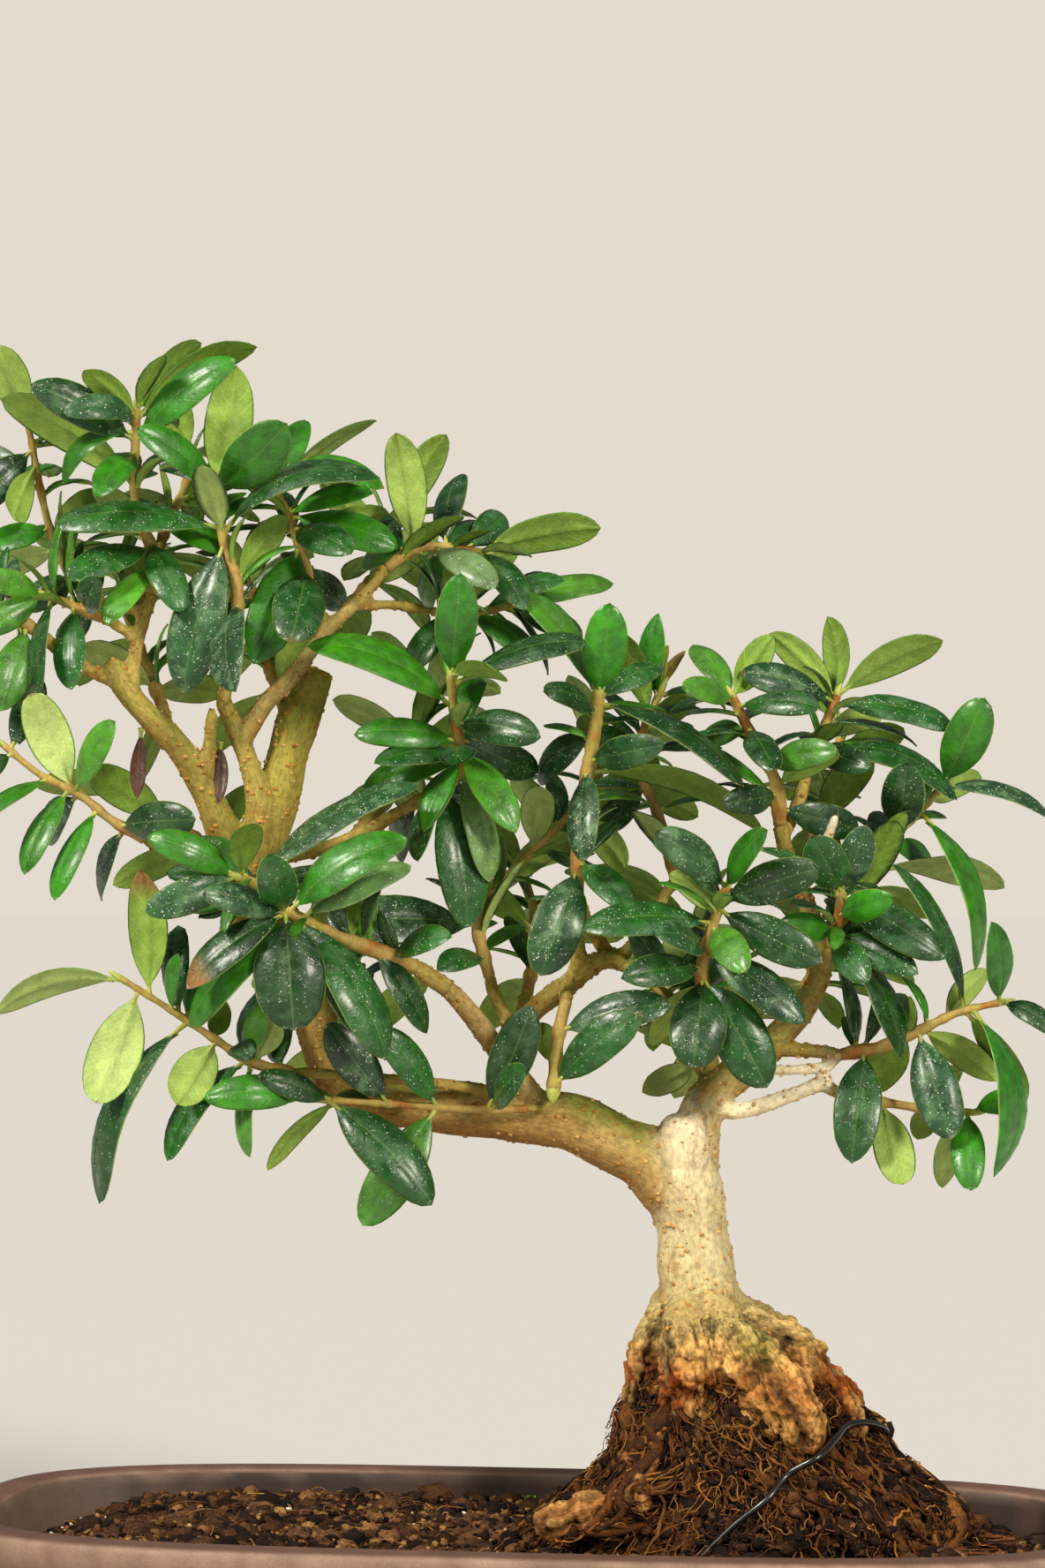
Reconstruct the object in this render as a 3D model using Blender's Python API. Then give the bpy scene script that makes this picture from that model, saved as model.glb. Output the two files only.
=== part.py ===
"""Olive bonsai in a long clay tray.

One object is made for each separate piece: the tray, its two drain screens, the soil, the
tree (roots, trunk and woody branches as one grown piece), the tie wire over the root mound,
and one leafy shoot for each twig that carries leaves.

The tree is laid out on a drawing sheet, as a viewer in front of it sees it. A place on the
sheet is x squares from the sheet's left edge, z squares above its foot line, and d squares
further away than the trunk; place() turns that into metres. A square is about 0.93 mm at the
trunk. Branches and shoots are routes of hand-chosen points (x, z, d), with their thickness in
squares, and a leaf is the place where its stalk leaves the shoot and the place of its tip.
Shoots that the front view hides carry opposite pairs of leaves, set by a rule.
"""

import math
import random

import bmesh
import bpy
import numpy as np
from mathutils import Matrix, Vector
from mathutils.bvhtree import BVHTree

MM = 0.001
GAP = 0.3 * MM

# The drawing sheet: a level eye in front of the tree, looking up by a degree
EYE_DISTANCE = 776 * MM
EYE_ABOVE_RIM = 138 * MM
EYE_TILT = math.radians(1.0)
EYE_TURN = math.radians(7.2)
SHEET_MIDDLE = (118.4, 150.4)
SHEET_FOCUS = 838.6
SQUARE = EYE_DISTANCE / SHEET_FOCUS

# The tray
TRAY_LENGTH = 242 * MM
TRAY_WIDTH = 108 * MM
TRAY_HEIGHT = 42 * MM
TRAY_RIM = 8.5 * MM
TRAY_FLOOR = 6 * MM
TRAY_TAPER = 7 * MM
TRAY_FOOT_STEP = 3 * MM
TRAY_FOOT_HEIGHT = 6 * MM
TRAY_FOOT_COVE = 1 * MM
TRAY_LIP = 7.5 * MM
TRAY_LIP_COVE = 1.5 * MM
TRAY_EDGE = 1.2 * MM
TRAY_ROUNDNESS = 3.5
TRAY_SIDES = 40
DRAIN_HOLE_RADIUS = 6 * MM
DRAIN_HOLE_AT = 58 * MM
SCREEN_SIDE = 18 * MM
SCREEN_THICKNESS = 0.9 * MM

# The soil
SOIL_LEVEL = 36.5 * MM
SOIL_HOLLOW = 6 * MM
SOIL_SIDE_HOLLOW = 2 * MM
SOIL_SWELL = 1.6 * MM
SOIL_CRUMB = 0.7 * MM
SOIL_WALL = 3 * MM
SOIL_INSET = 1.3 * GAP
SOIL_RINGS = (0.93, 0.78, 0.55, 0.28)

# The root mound: height above the soil level, middle on the sheet, half width and half depth
MOUND = (
    (-8, 166.5, 51, 38), (0, 166.5, 51, 38), (6, 169, 46, 36.5), (11, 171, 39.5, 34),
    (18, 169.8, 31, 30.5), (25.5, 167.2, 26.4, 27), (34, 166.4, 21.6, 22.4),
    (42, 162.4, 16.4, 16.4), (46, 160, 12.4, 12.4), (49, 158.6, 10, 10), (56, 158, 8.6, 8.6),
)
MOUND_SIDES = 26
MOUND_RIDGE = 0.045
MOUND_RIDGES_END = 46

# The tie wire: turns round the mound in degrees, and heights above the soil
WIRE_THICKNESS = 1.7 * MM
WIRE_PUSHES = 30
WIRE_ROUTE = (
    (-101, 1.5), (-99, 4.5), (-95, 9), (-87, 13.5), (-77, 18), (-64, 21.5), (-50, 24),
    (-36, 25.5), (-22, 25.5), (-8, 23), (6, 19.5), (20, 15.5), (32, 10), (40, 6), (44, 2.5),
)

# Woody branches of the tree: (x, z, d, thickness) in squares, from the inside out
WOOD = {
    "trunk": (12, [(158.6, 20, 0, 19), (158.3, 32, 0, 18.4), (158, 38, 0, 17.6),
                   (156.8, 50, 0, 16.6), (154.8, 60, 0, 17), (153.6, 66, 0, 16)]),
    "stump": (8, [(154.8, 58, -2, 13), (154.6, 68, -3, 12), (154.8, 75.4, -3.5, 8.5)]),
    "left limb": (10, [(156, 53, 0, 13), (150.5, 61, 0, 14.6), (147, 65.6, 0, 14.6),
                       (140, 68.6, 0, 13.4), (130, 73.6, 1, 12.8), (120, 75, 2, 12.4),
                       (108, 76.6, 3, 12), (96, 78, 4, 11.4), (84, 79.6, 4, 10.8),
                       (75.8, 85, 4, 9.8), (72.4, 93, 3, 9.2), (70, 103, 2, 9.6),
                       (65, 112, 1, 10.4), (59, 119, 0, 12), (56, 128, 0, 11.6),
                       (56.4, 138, 0, 11)]),
    "limb knee": (6, [(58, 121, 0, 11), (54, 117, -1, 9), (52.6, 113.4, -2, 6)]),
    "left fork": (8, [(55.5, 128, 0, 9), (50.4, 140, -2, 8.8), (46.4, 149, -3, 8),
                      (41, 158, -4, 7.2), (33.4, 166, -5, 6.6), (27.6, 173, -5, 6),
                      (25, 178.6, -5, 5.2)]),
    "middle fork": (6, [(57, 133, -1, 8), (58.8, 144, -2, 7), (56.8, 154, -3, 5.4),
                        (53.8, 161.6, -3, 4.8), (50.4, 169.6, -3.5, 4)]),
    "right fork": (8, [(57, 131, 1, 10), (62.6, 146, 2, 9.6), (65.4, 158, 3, 9.2),
                       (69, 168, 4, 8.6), (72, 176.4, 4, 7.4)]),
    "spur": (4, [(46.6, 150, -3, 4), (47.4, 158, -6, 3.2), (48.2, 167.5, -8, 2.6)]),
    "light branch": (6, [(55, 160, -3, 4), (60, 168.4, -3.5, 4), (66, 174.6, -4, 3.8),
                         (74, 185, -2, 3.6), (80, 190.6, 0, 3.2)]),
    "rear branch": (6, [(61, 134, 2, 5), (68, 135, 5, 4), (76, 136.6, 7, 3.6), (84, 140, 7, 3.2)]),
    "front branch": (6, [(121, 79, 0, 6), (113.5, 89, -5, 5), (107, 98, -9, 4.6),
                         (101.6, 104, -12, 4.2)]),
    "inner branch": (6, [(116, 79, 3, 6), (115, 90, 4, 5.4), (120, 98, 4, 5), (128, 104.4, 3, 4.8),
                         (136, 110.4, 1, 4.2), (140.6, 109.6, 0, 3.6)]),
    "right limb": (8, [(156.6, 58, 1, 12), (158.2, 70, 0, 10), (159.4, 78, 0, 8.6),
                        (165, 83.4, 1, 8), (171.4, 88.4, 2, 7.4), (177, 94, 3, 6.4),
                        (182, 100, 3, 5.8), (186, 108, 2, 5), (185, 117, 1, 4.4),
                        (181, 128, 0, 3.8), (178, 136, -1, 3.4)]),
    "pale stub": (6, [(161, 77, -1, 5.6), (168, 76.4, -3, 5), (180, 80.2, -6, 4.6),
                      (188.6, 83.6, -8, 4.2)]),
    "short stub": (4, [(170, 87, 0, 3), (176, 85.6, -5, 3), (184, 86, -6, 2.8),
                       (189.4, 86.8, -6.5, 2.4)]),
    "peg": (4, [(182, 131, -1, 2.6), (184.5, 132.5, -7, 2.6), (186.6, 136, -10, 2.4),
                (189.6, 143.5, -11, 2.2)]),
}

# How a leaf shows on the sheet: its upper face, or its underside
UPPER, UNDER = 1, -1

# Leafy shoots: stem inside the tree, twig of the shoot, thickness at both ends, and leaves as
# (stalk x, z, tip x, z, breadth as seen, face, how much further away the tip lies, bow)
SHOOTS = {
    "shoot_left_top": (
        [(30, 171, -5), (30.6, 180, -5), (33, 189, -4)],
        [(34.4, 195, -3), (34.6, 203, -3), (31, 212, -4), (30.6, 222, -5), (31, 236, -6)], 2.8, 1.5, [
            (30, 228, 7, 241, 9, UPPER, -8), (31, 234, 20, 243.6, 6, UNDER, -14),
            (31, 234, 12, 235, 6, UPPER, -6, 0.2), (31, 230, 14, 219, 4, UPPER, -4, 0.25),
            (30.6, 226, 22, 216, 7, UPPER, -18), (31, 233, 57.8, 250, 6, UNDER, 4, 0.14),
            (31, 235, 45, 250.4, 7, UNDER, 14), (31, 228, 53, 247, 8, UPPER, -8),
            (31, 218, -1, 235, 9, UNDER, 4),
            (34, 204, 15, 197, 7, UPPER, -16), (34, 205, 41, 190, 8, UPPER, -14),
            (34.5, 200, 24, 187, 6, UPPER, -14)]),
    "shoot_far_left": (
        [(33, 189, -4), (28, 190.4, 0)],
        [(24, 191, 3), (17, 196, 5), (12, 206, 6), (9, 218, 7), (6.4, 232, 6)], 2.4, 1.3, [
            (6.4, 232, -2, 250, 9, UNDER, -10), (8, 223, 3, 210, 7, UNDER, -16),
            (8, 226, -9, 212, 9, UPPER, -6), (9.4, 217, -6, 226, 8, UPPER, 8),
            (12, 208, -4, 204, 6, UPPER, -10), (12, 206, 22, 217, 7, UNDER, 12),
            (17, 197, 4.4, 190, 7, UPPER, -10, 0.22),
            (13, 203, -6, 196, 7, UNDER, 10), (22, 193, 13, 182, 6, UPPER, 8)]),
    "shoot_left_side": (
        [(31.5, 183, -5), (26, 186.6, -6)],
        [(22, 188.4, -7), (16, 191, -8), (10, 193.4, -8)], 2.2, 1.3, [
            (12, 192.6, 9, 169, 4, UPPER, -4), (17, 190.6, 16, 172, 7, UPPER, -10),
            (10, 193.4, -6, 185, 7, UPPER, -6), (10, 193.4, -5, 197, 6, UPPER, -12),
            (20, 189, 24, 203, 6, UPPER, -14)]),
    "shoot_left_end": (
        [(27.6, 173, -5), (20, 176.4, -6), (12.6, 181.4, -7)],
        [(8.6, 184.6, -8), (3, 188.4, -9), (-5, 190, -10)], 2.8, 1.8, [
            (6, 186, 0, 167, 9, UPPER, -8), (4, 187.4, 5, 160, 7, UPPER, -6),
            (-2, 189.4, -13, 176, 8, UPPER, -8), (-4, 190, -16, 196, 7, UNDER, -10),
            (-4, 190, -10, 202, 6, UPPER, 10)]),
    "shoot_left_low": (
        [(53.6, 131, -3), (44, 133.6, -9), (36, 136.2, -11)],
        [(31.6, 138.4, -12), (25, 142.4, -13), (18, 148, -14), (9, 152.6, -14),
         (1, 159, -14)], 2.2, 1.3, [
            (17, 149, 7, 171, 10, UNDER, -4), (17.6, 148.4, 25.6, 164.6, 6, UPPER, -14),
            (18, 148, 10, 138, 7, UPPER, 20), (27, 141.2, 44, 142.4, 9, UPPER, -14),
            (16, 149, 5.4, 130, 5.6, UPPER, -8), (22, 144.6, 12, 124.4, 5, UPPER, -10),
            (11, 151.6, -5, 142, 3.6, UPPER, -10), (28, 140.4, 22.4, 124, 4, UPPER, 12),
            (3, 157, -10, 149, 6, UPPER, -10), (1, 159, -13, 166, 7, UNDER, -8),
            (2, 158, 5, 173, 7, UPPER, 10)]),
    "shoot_mid_stem": (
        [(50.4, 168, -3.5), (51.4, 174, -6), (52.6, 182, -8)],
        [(53.8, 188, -9), (53.6, 196, -9), (50.6, 206, -9), (49.2, 218, -9)], 2.6, 1.6, [
            (49.2, 218, 53.4, 245, 11, UNDER, 8), (49.2, 217, 31, 231, 7, UPPER, -10),
            (49.2, 217, 65, 232, 12, UPPER, -12), (50.2, 208, 12.6, 209.6, 6.5, UPPER, -6),
            (50.8, 205, 41.6, 172, 12, UPPER, -8), (50.4, 207, 86, 220, 5.5, UPPER, -6, 0.2),
            (53.6, 196, 65, 211, 7, UNDER, 10), (53.7, 191.4, 52.4, 169, 8, UPPER, -22),
            (52, 201, 38, 212, 7, UPPER, 14), (53.6, 193, 43, 181, 7, UPPER, 12)]),
    "shoot_upper": (
        [(74, 185, -2), (71.6, 191, 0)],
        [(70, 196.4, 1), (68, 204, 2), (65.6, 211, 2), (62, 217.6, 2)], 2.4, 1.4, [
            (62, 217.6, 87, 217.6, 6, UPPER, -6, 0.24), (63, 216, 85, 233, 4, UNDER, 8),
            (65.4, 211.6, 78, 218, 5, UPPER, -18), (66, 211, 90, 204.4, 8, UPPER, -8),
            (67, 208, 84, 201, 8, UPPER, -16), (68, 204, 57.6, 178, 12, UPPER, -14),
            (69.6, 199, 65, 178, 12, UPPER, -17), (68, 204, 88, 212, 6, UNDER, 10),
            (64, 214, 50, 226, 7, UNDER, 14), (63, 216, 72, 234, 7, UPPER, 8),
            (69, 200, 80, 188, 7, UPPER, 12)]),
    "shoot_light_branch": (
        [(80, 190.6, 0), (85.4, 196.4, 2)],
        [(88.6, 200, 3), (94, 203.6, 4), (101, 204, 5), (109, 203, 6)], 2.4, 1.3, [
            (94, 203.6, 90, 230, 9, UNDER, -4), (92, 202.6, 81, 214, 8, UPPER, 14),
            (109, 203, 136, 208.6, 9, UNDER, 4), (108, 203, 119, 190, 7, UPPER, -14),
            (98, 204, 112.4, 195, 7, UPPER, -14), (94, 203.6, 80, 200, 6, UPPER, 16),
            (102, 204, 96, 190, 6, UPPER, 16),
            (101, 204, 104, 221, 7, UPPER, 16)]),
    "shoot_inner_top": (
        [(80, 190.6, 0), (88, 191, 5), (95, 190, 9)],
        [(99, 189.4, 11), (107, 189, 12), (116, 191, 12)], 2.2, 1.3, [
            (107, 189, 121, 179, 6, UPPER, -10), (109, 189, 127.6, 197, 4, UPPER, -8),
            (116, 191, 139, 196, 6, UPPER, 4), (116, 191, 132, 184, 6, UPPER, -8),
            (103, 189.2, 92, 176, 7, UPPER, -10), (104, 189, 118, 205, 6, UNDER, 14),
            (108, 189, 98, 172, 7, UNDER, 10)]),
    "shoot_rosette": (
        [(101.6, 104, -12), (97, 107, -14)],
        [(93, 109.4, -16), (86, 112.4, -20), (78, 115.2, -24), (70, 119, -28),
         (64.6, 121.6, -31)], 3.4, 2, [
            (65.6, 121.4, 92, 138.4, 9, UPPER, -4, 0.14), (64.6, 122, 61, 134, 9, UPPER, -18),
            (64.6, 121.6, 66.6, 94.6, 16, UPPER, -6), (67, 120.6, 82.4, 94, 9.5, UPPER, -2),
            (70, 119, 88, 88, 10, UPPER, -1), (64.6, 121.6, 50, 124.8, 7, UPPER, -18),
            (65, 121.4, 42, 104.4, 7.5, UPPER, -4), (67, 120.4, 42.4, 96, 8, UPPER, 5),
            (68, 120, 93, 132.4, 7, UPPER, 4), (85, 112.8, 97, 94, 6.6, UPPER, 4),
            (89, 111.4, 102, 116, 5.6, UPPER, -16), (80, 114.6, 75, 130, 7, UNDER, 12)]),
    "shoot_side_spray": (
        [(59, 122, -3), (59.6, 124.4, -12)],
        [(59.4, 126, -18), (58, 127.6, -24), (53.6, 129.4, -28)], 2.2, 1.6, [
            (53.6, 129.4, 33.6, 138.6, 7.4, UPPER, -6, 0.16),
            (53.6, 129.4, 33, 121.4, 8, UPPER, -6, 0.14),
            (57.6, 128, 94.4, 151.4, 6, UPPER, 6), (57, 128, 44, 139, 6, UPPER, 14),
            (54.6, 129, 57, 142, 7, UNDER, -16)]),
    "shoot_low_left": (
        [(115, 78.6, 0), (109, 81, -4), (96, 83, -7), (82, 84, -9), (70, 85, -11)],
        [(65, 85.6, -12), (57, 87.4, -13), (49, 92.4, -14), (40, 98.4, -16),
         (27, 106.6, -18)], 2.2, 1.2, [
            (28, 106, -1, 98.6, 6, UNDER, -4, 0.14), (33, 102.8, 32, 131, 9, UNDER, -2),
            (31, 104, 21.6, 78, 12, UNDER, -6, 0.14), (43, 96.4, 22, 54.6, 5.4, UPPER, -8, 0.16),
            (49, 92.4, 40, 77.6, 10, UNDER, -12), (56, 87.8, 38, 65.4, 6, UPPER, -8, 0.14),
            (57, 87.4, 56, 66, 4, UPPER, -8), (39, 99, 40.4, 112, 3, UPPER, -6),
            (55.6, 88, 60, 100.4, 5, UPPER, -10), (57.4, 87.4, 62.6, 97, 6.4, UNDER, -10),
            (48.6, 92.8, 51, 101, 5, UNDER, 10), (43, 96.4, 52, 106, 5.4, UPPER, 14)]),
    "shoot_low_front": (
        [(128, 78.6, -2), (122, 77.2, -6)],
        [(118, 76.8, -8), (109, 76.6, -9), (99, 77.2, -10), (88, 78, -11), (77, 78.6, -12),
         (69, 79.2, -13)], 2, 1.4, [
            (69, 79.2, 45.6, 79.4, 8, UPPER, -6, 0.2), (75, 78.8, 57, 85, 6, UPPER, -2),
            (76, 78.6, 60.6, 63, 4, UNDER, 6), (74.6, 78.8, 98, 55.4, 11.4, UPPER, -8),
            (99, 77.2, 82, 50.4, 11, UPPER, -3), (88, 78, 74, 96.2, 9.4, UPPER, -6),
            (98.6, 77.2, 86, 95, 7.6, UPPER, -8), (110.4, 76.6, 120.4, 100, 10, UPPER, -7),
            (112, 76.6, 119, 86, 6, UPPER, -18)]),
    "shoot_centre": (
        [(84, 140, 7), (88, 142.6, 6)],
        [(92, 145, 5), (100, 149.4, 2), (105, 154, -1), (104, 160, -4), (103, 166, -6),
         (102.2, 175, -9)], 2.8, 1.8, [
            (103, 167.4, 70, 182.4, 8.4, UPPER, -8, 0.12), (102.4, 174, 104.4, 198, 9.6, UPPER, -8),
            (102.2, 175, 114.6, 175, 4.4, UNDER, -20, 0.06), (102.4, 173, 132.6, 183, 4.8, UPPER, -8),
            (103, 164, 122.4, 161, 8, UPPER, -14), (104, 161, 122, 153, 8.4, UPPER, 12),
            (104.6, 158, 117, 139.6, 8, UPPER, -10), (104, 160, 80.4, 162, 7, UPPER, -6),
            (104.4, 157, 86.4, 155.4, 5.4, UPPER, -14), (105, 155, 82, 150, 6.4, UPPER, 6),
            (101, 150, 106, 118, 11.6, UPPER, -6), (99, 149, 94.6, 133, 5.4, UPPER, -14),
            (104, 153, 111.2, 128, 7.4, UPPER, 2), (95, 146.4, 88, 128, 6, UPPER, 12)]),
    "shoot_mid_twig": (
        [(130, 105.6, 2), (131, 113, 1)],
        [(130.6, 118, 0), (131, 128, -1), (130.8, 142, -3), (133.4, 155, -5), (135, 164, -6),
         (135.6, 171, -7)], 2.8, 2.4, [
            (135.4, 170, 117, 195.4, 6.6, UPPER, 2), (135.6, 170.6, 138, 190, 10, UPPER, -12),
            (135.2, 167, 123.4, 171.4, 5, UPPER, -18), (135.4, 168.6, 168.6, 150, 4, UPPER, -10, 0.12),
            (133.8, 156, 150.4, 159.4, 7.8, UPPER, -14), (133, 153, 173, 140.4, 5.6, UNDER, 6, 0.14),
            (133.2, 154, 132.2, 133, 7, UPPER, -12), (131, 131, 122.4, 107, 11.8, UPPER, -8),
            (131, 133, 143, 122, 7, UPPER, -16), (134.6, 162, 120, 150, 7, UPPER, 14),
            (135.6, 171, 126, 186, 5, UPPER, 14),
            (135.4, 169, 150, 178, 6, UPPER, 12)]),
    "shoot_inner_twig": (
        [(115.4, 95, 4), (112, 103, 6)],
        [(110.6, 108, 8), (108.4, 117, 9), (110, 123, 10), (115, 129.4, 12), (122, 136.4, 14),
         (129.6, 144, 15)], 2.8, 1.5, [
            (108.2, 118, 73.6, 118.6, 11.4, UPPER, -12), (114, 128, 129, 138.6, 6.6, UNDER, 14),
            (121, 135.4, 122.4, 150, 8, UNDER, -16), (129.6, 144, 142, 131, 7, UNDER, -12),
            (110, 111, 99.4, 108.6, 5.4, UPPER, -16),
            (126, 140.4, 116, 152, 6, UNDER, 10),
            (129, 143.4, 146, 152, 7, UNDER, 12)]),
    "shoot_hanging_twig": (
        [(128.6, 104.4, 1), (128.4, 102.4, -4)],
        [(128, 100, -7), (127, 96, -9), (126, 89, -10), (125.4, 81, -11)], 2.8, 2.8, [
            (126.6, 94, 152, 100.6, 8.4, UPPER, -6), (125.6, 82.4, 145.4, 98.6, 9.4, UPPER, -8),
            (126, 88, 118, 98, 6, UNDER, 16)]),
    "shoot_inner_end": (
        [(140.6, 109.6, 0), (143, 108.4, -1)],
        [(146, 106.4, -3), (150, 103.4, -4), (153.6, 101, -5)], 2.6, 1.6, [
            (148, 105, 141, 95, 7, UPPER, -18), (153.6, 101, 148, 90, 6, UNDER, 16),
            (150, 103.4, 143, 118, 7, UPPER, -14), (152, 102, 155, 118, 6, UNDER, 16)]),
    "shoot_right_front": (
        [(168, 86, 1), (165, 90, -6), (162, 97, -11)],
        [(160.4, 101, -13), (159, 108, -15), (161.4, 118, -17), (164.6, 127, -19)], 3, 1.6, [
            (161.6, 118.6, 132, 118, 8, UPPER, -6), (160, 112.4, 146.4, 117.6, 6, UPPER, -18),
            (159.2, 109, 141, 106.6, 7.4, UPPER, -14), (164.6, 127, 148.6, 139.4, 8.4, UPPER, -14),
            (164.4, 127, 173.6, 140, 5.6, UPPER, -16), (163.6, 124, 185.4, 131.4, 9.4, UPPER, -10),
            (163, 122, 186.4, 110, 9.4, UPPER, -6), (161.4, 118, 169, 108, 8, UPPER, -16),
            (160, 112, 182.4, 96.4, 8.6, UPPER, -8), (159, 107, 157, 86.2, 12.8, UPPER, -10),
            (159, 107, 173.8, 81.6, 12.6, UPPER, -6), (159.4, 105.4, 150, 94, 6, UNDER, 16),
            (163, 122, 152, 130, 6, UNDER, 14)]),
    "shoot_fork": (
        [(160.6, 81, 2), (158.8, 84, 5)],
        [(158, 86, 7), (156.4, 88.6, 8.6), (154.6, 91.4, 9)], 1.8, 1.2, [
            (157.6, 86.6, 145.6, 80.6, 6.4, UNDER, 12), (156, 89, 146.6, 95, 5, UNDER, -16),
            (154.6, 91.4, 160, 102, 6, UNDER, 14)]),
    "shoot_right_stem": (
        [(178, 136, -1), (177.2, 139, -1.4)],
        [(176.6, 142.4, -2), (176, 150, -3), (172.8, 157, -3), (169, 164, -4), (166, 170, -5)], 3, 1.6, [
            (166, 170, 155, 172.4, 5.6, UPPER, -16), (167, 168, 185.6, 168, 5.6, UPPER, -12),
            (170, 162, 158, 160, 6, UPPER, 16), (169.4, 163, 175.6, 153.4, 7, UPPER, -18),
            (174, 155, 189.6, 158, 7, UPPER, -14), (176, 150, 186, 156, 6, UNDER, -16),
            (176.2, 148.4, 164, 146, 7, UPPER, -14), (176.4, 145, 192, 141, 8, UPPER, 12),
            (166, 170, 175, 184, 7, UNDER, 10), (166, 170, 157, 182, 6, UPPER, 14)]),
    "shoot_right_crown": (
        [(177, 138, 0), (180, 144, 2), (182.4, 151, 4)],
        [(183.6, 155, 5), (186.4, 162, 6), (189.6, 170.4, 7)], 2.8, 1.6, [
            (189, 169, 168, 175.6, 7.4, UPPER, -10), (189, 169.6, 174.6, 184.6, 7, UNDER, 6),
            (189.6, 170.4, 213.6, 183, 7.4, UNDER, -6), (189, 168.4, 216, 163.4, 6, UPPER, -4),
            (185, 158.6, 197, 154, 7, UPPER, -16),
            (184.4, 157, 217, 147.4, 6, UPPER, -6, 0.18), (189.2, 169.4, 188, 188, 6.6, UNDER, 14),
            (186.4, 162, 200, 166, 6, UNDER, 14)]),
    "shoot_right_side": (
        [(186, 113, 1.6), (190, 118.4, 2)],
        [(193, 122, 3), (197.4, 129, 4), (201.4, 137, 5), (208, 144, 6), (213.6, 150, 6)], 2.8, 1.5, [
            (213.6, 150, 223, 169.6, 10.4, UPPER, -10), (213, 149.4, 238.6, 143, 4, UPPER, -4, 0.14),
            (203, 139.4, 205.4, 155, 10, UPPER, -14), (208, 144, 221.4, 108.4, 5.4, UPPER, -8, 0.16),
            (198, 131, 229, 126.8, 5.6, UNDER, 6), (196, 127, 212, 120.6, 6, UNDER, 12),
            (201, 136, 214, 131, 6, UPPER, 16),
            (210, 146.4, 222, 152, 6, UNDER, 14),
            (197, 128.6, 203, 112, 6, UPPER, 12)]),
    "shoot_right_middle": (
        [(186, 108, 1.6), (187.6, 112, -4)],
        [(188.6, 114.6, -8), (189.8, 119, -10), (190.6, 126, -12)], 2.4, 1.6, [
            (190.4, 124.6, 214.4, 111, 9.4, UPPER, -8), (190, 120.6, 202, 124.6, 7, UPPER, -16),
            (189, 116, 208, 107.6, 7.4, UPPER, -10), (188.8, 115.4, 194, 104, 7.4, UPPER, -16),
            (189.4, 117.4, 204, 89.4, 5.8, UPPER, -12), (190.6, 126, 184, 138.6, 9.6, UPPER, -12),
            (190.6, 126, 196, 140, 8, UPPER, -10), (189, 117, 178, 118, 7, UPPER, -14)]),
    "shoot_right_low": (
        [(174, 90.6, 1), (183, 90, -2), (188, 89.4, -4)],
        [(192, 89.4, -6), (200, 91, -8), (208, 94.4, -10), (217, 98.6, -12), (227, 101, -13)], 2.8, 1.3, [
            (226, 101, 225, 119, 6, UPPER, -12), (219, 99.2, 203, 133, 4, UPPER, 4),
            (227, 101, 240, 93.6, 5, UPPER, -8, 0.14), (220, 99.6, 226.4, 61.6, 6, UPPER, -4, 0.18),
            (208, 94.4, 215.6, 70, 10.6, UPPER, -10), (196, 90, 193, 64.6, 10.8, UPPER, -10),
            (209, 94.8, 226, 83.4, 7, UNDER, 6), (219, 99.4, 232, 77.6, 6.4, UNDER, 8),
            (206, 93.4, 196.4, 81, 9, UNDER, 10),
            (214, 97.2, 224, 108, 6, UNDER, 12)]),
    "shoot_right_under": (
        [(186, 82.4, -7), (190, 80.4, -7)],
        [(194, 79, -7.6), (202, 78, -8), (211, 76.6, -9), (220, 76, -10)], 2.4, 1.3, [
            (200, 78.2, 204.6, 59.6, 9, UNDER, -10), (219, 76, 220, 58.6, 7.8, UPPER, -12),
            (218, 76.2, 213.4, 59, 6, UNDER, 8), (210, 76.8, 208, 70.4, 6, UNDER, 14),
            (220, 76, 235, 80, 6, UPPER, 8),
            (208, 77.2, 218, 86, 6, UNDER, 12)]),
    "shoot_bud_stem": (
        [(140, 110.4, 2), (146, 117, 10), (151, 126, 15)],
        [(152.6, 130.4, 16), (150, 141, 16), (145.4, 153, 14), (145.6, 162, 12),
         (150, 172, 10)], 2.6, 1.4, [
            (147, 165.6, 139.4, 185.4, 7, UNDER, -10), (149, 169.4, 149, 187, 6, UPPER, -10),
            (150, 172, 151, 182, 2.6, UPPER, 2), (150, 172, 155.4, 181, 2.6, UPPER, 2),
            (145.4, 161, 158, 170, 6, UNDER, 12), (145.4, 160, 132, 160, 7, UPPER, 12),
            (146, 151, 158, 143, 7, UNDER, 10), (146.4, 150, 136, 140, 7, UPPER, 12),
            (151.4, 137, 163, 130, 7, UPPER, 12)]),
}

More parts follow.
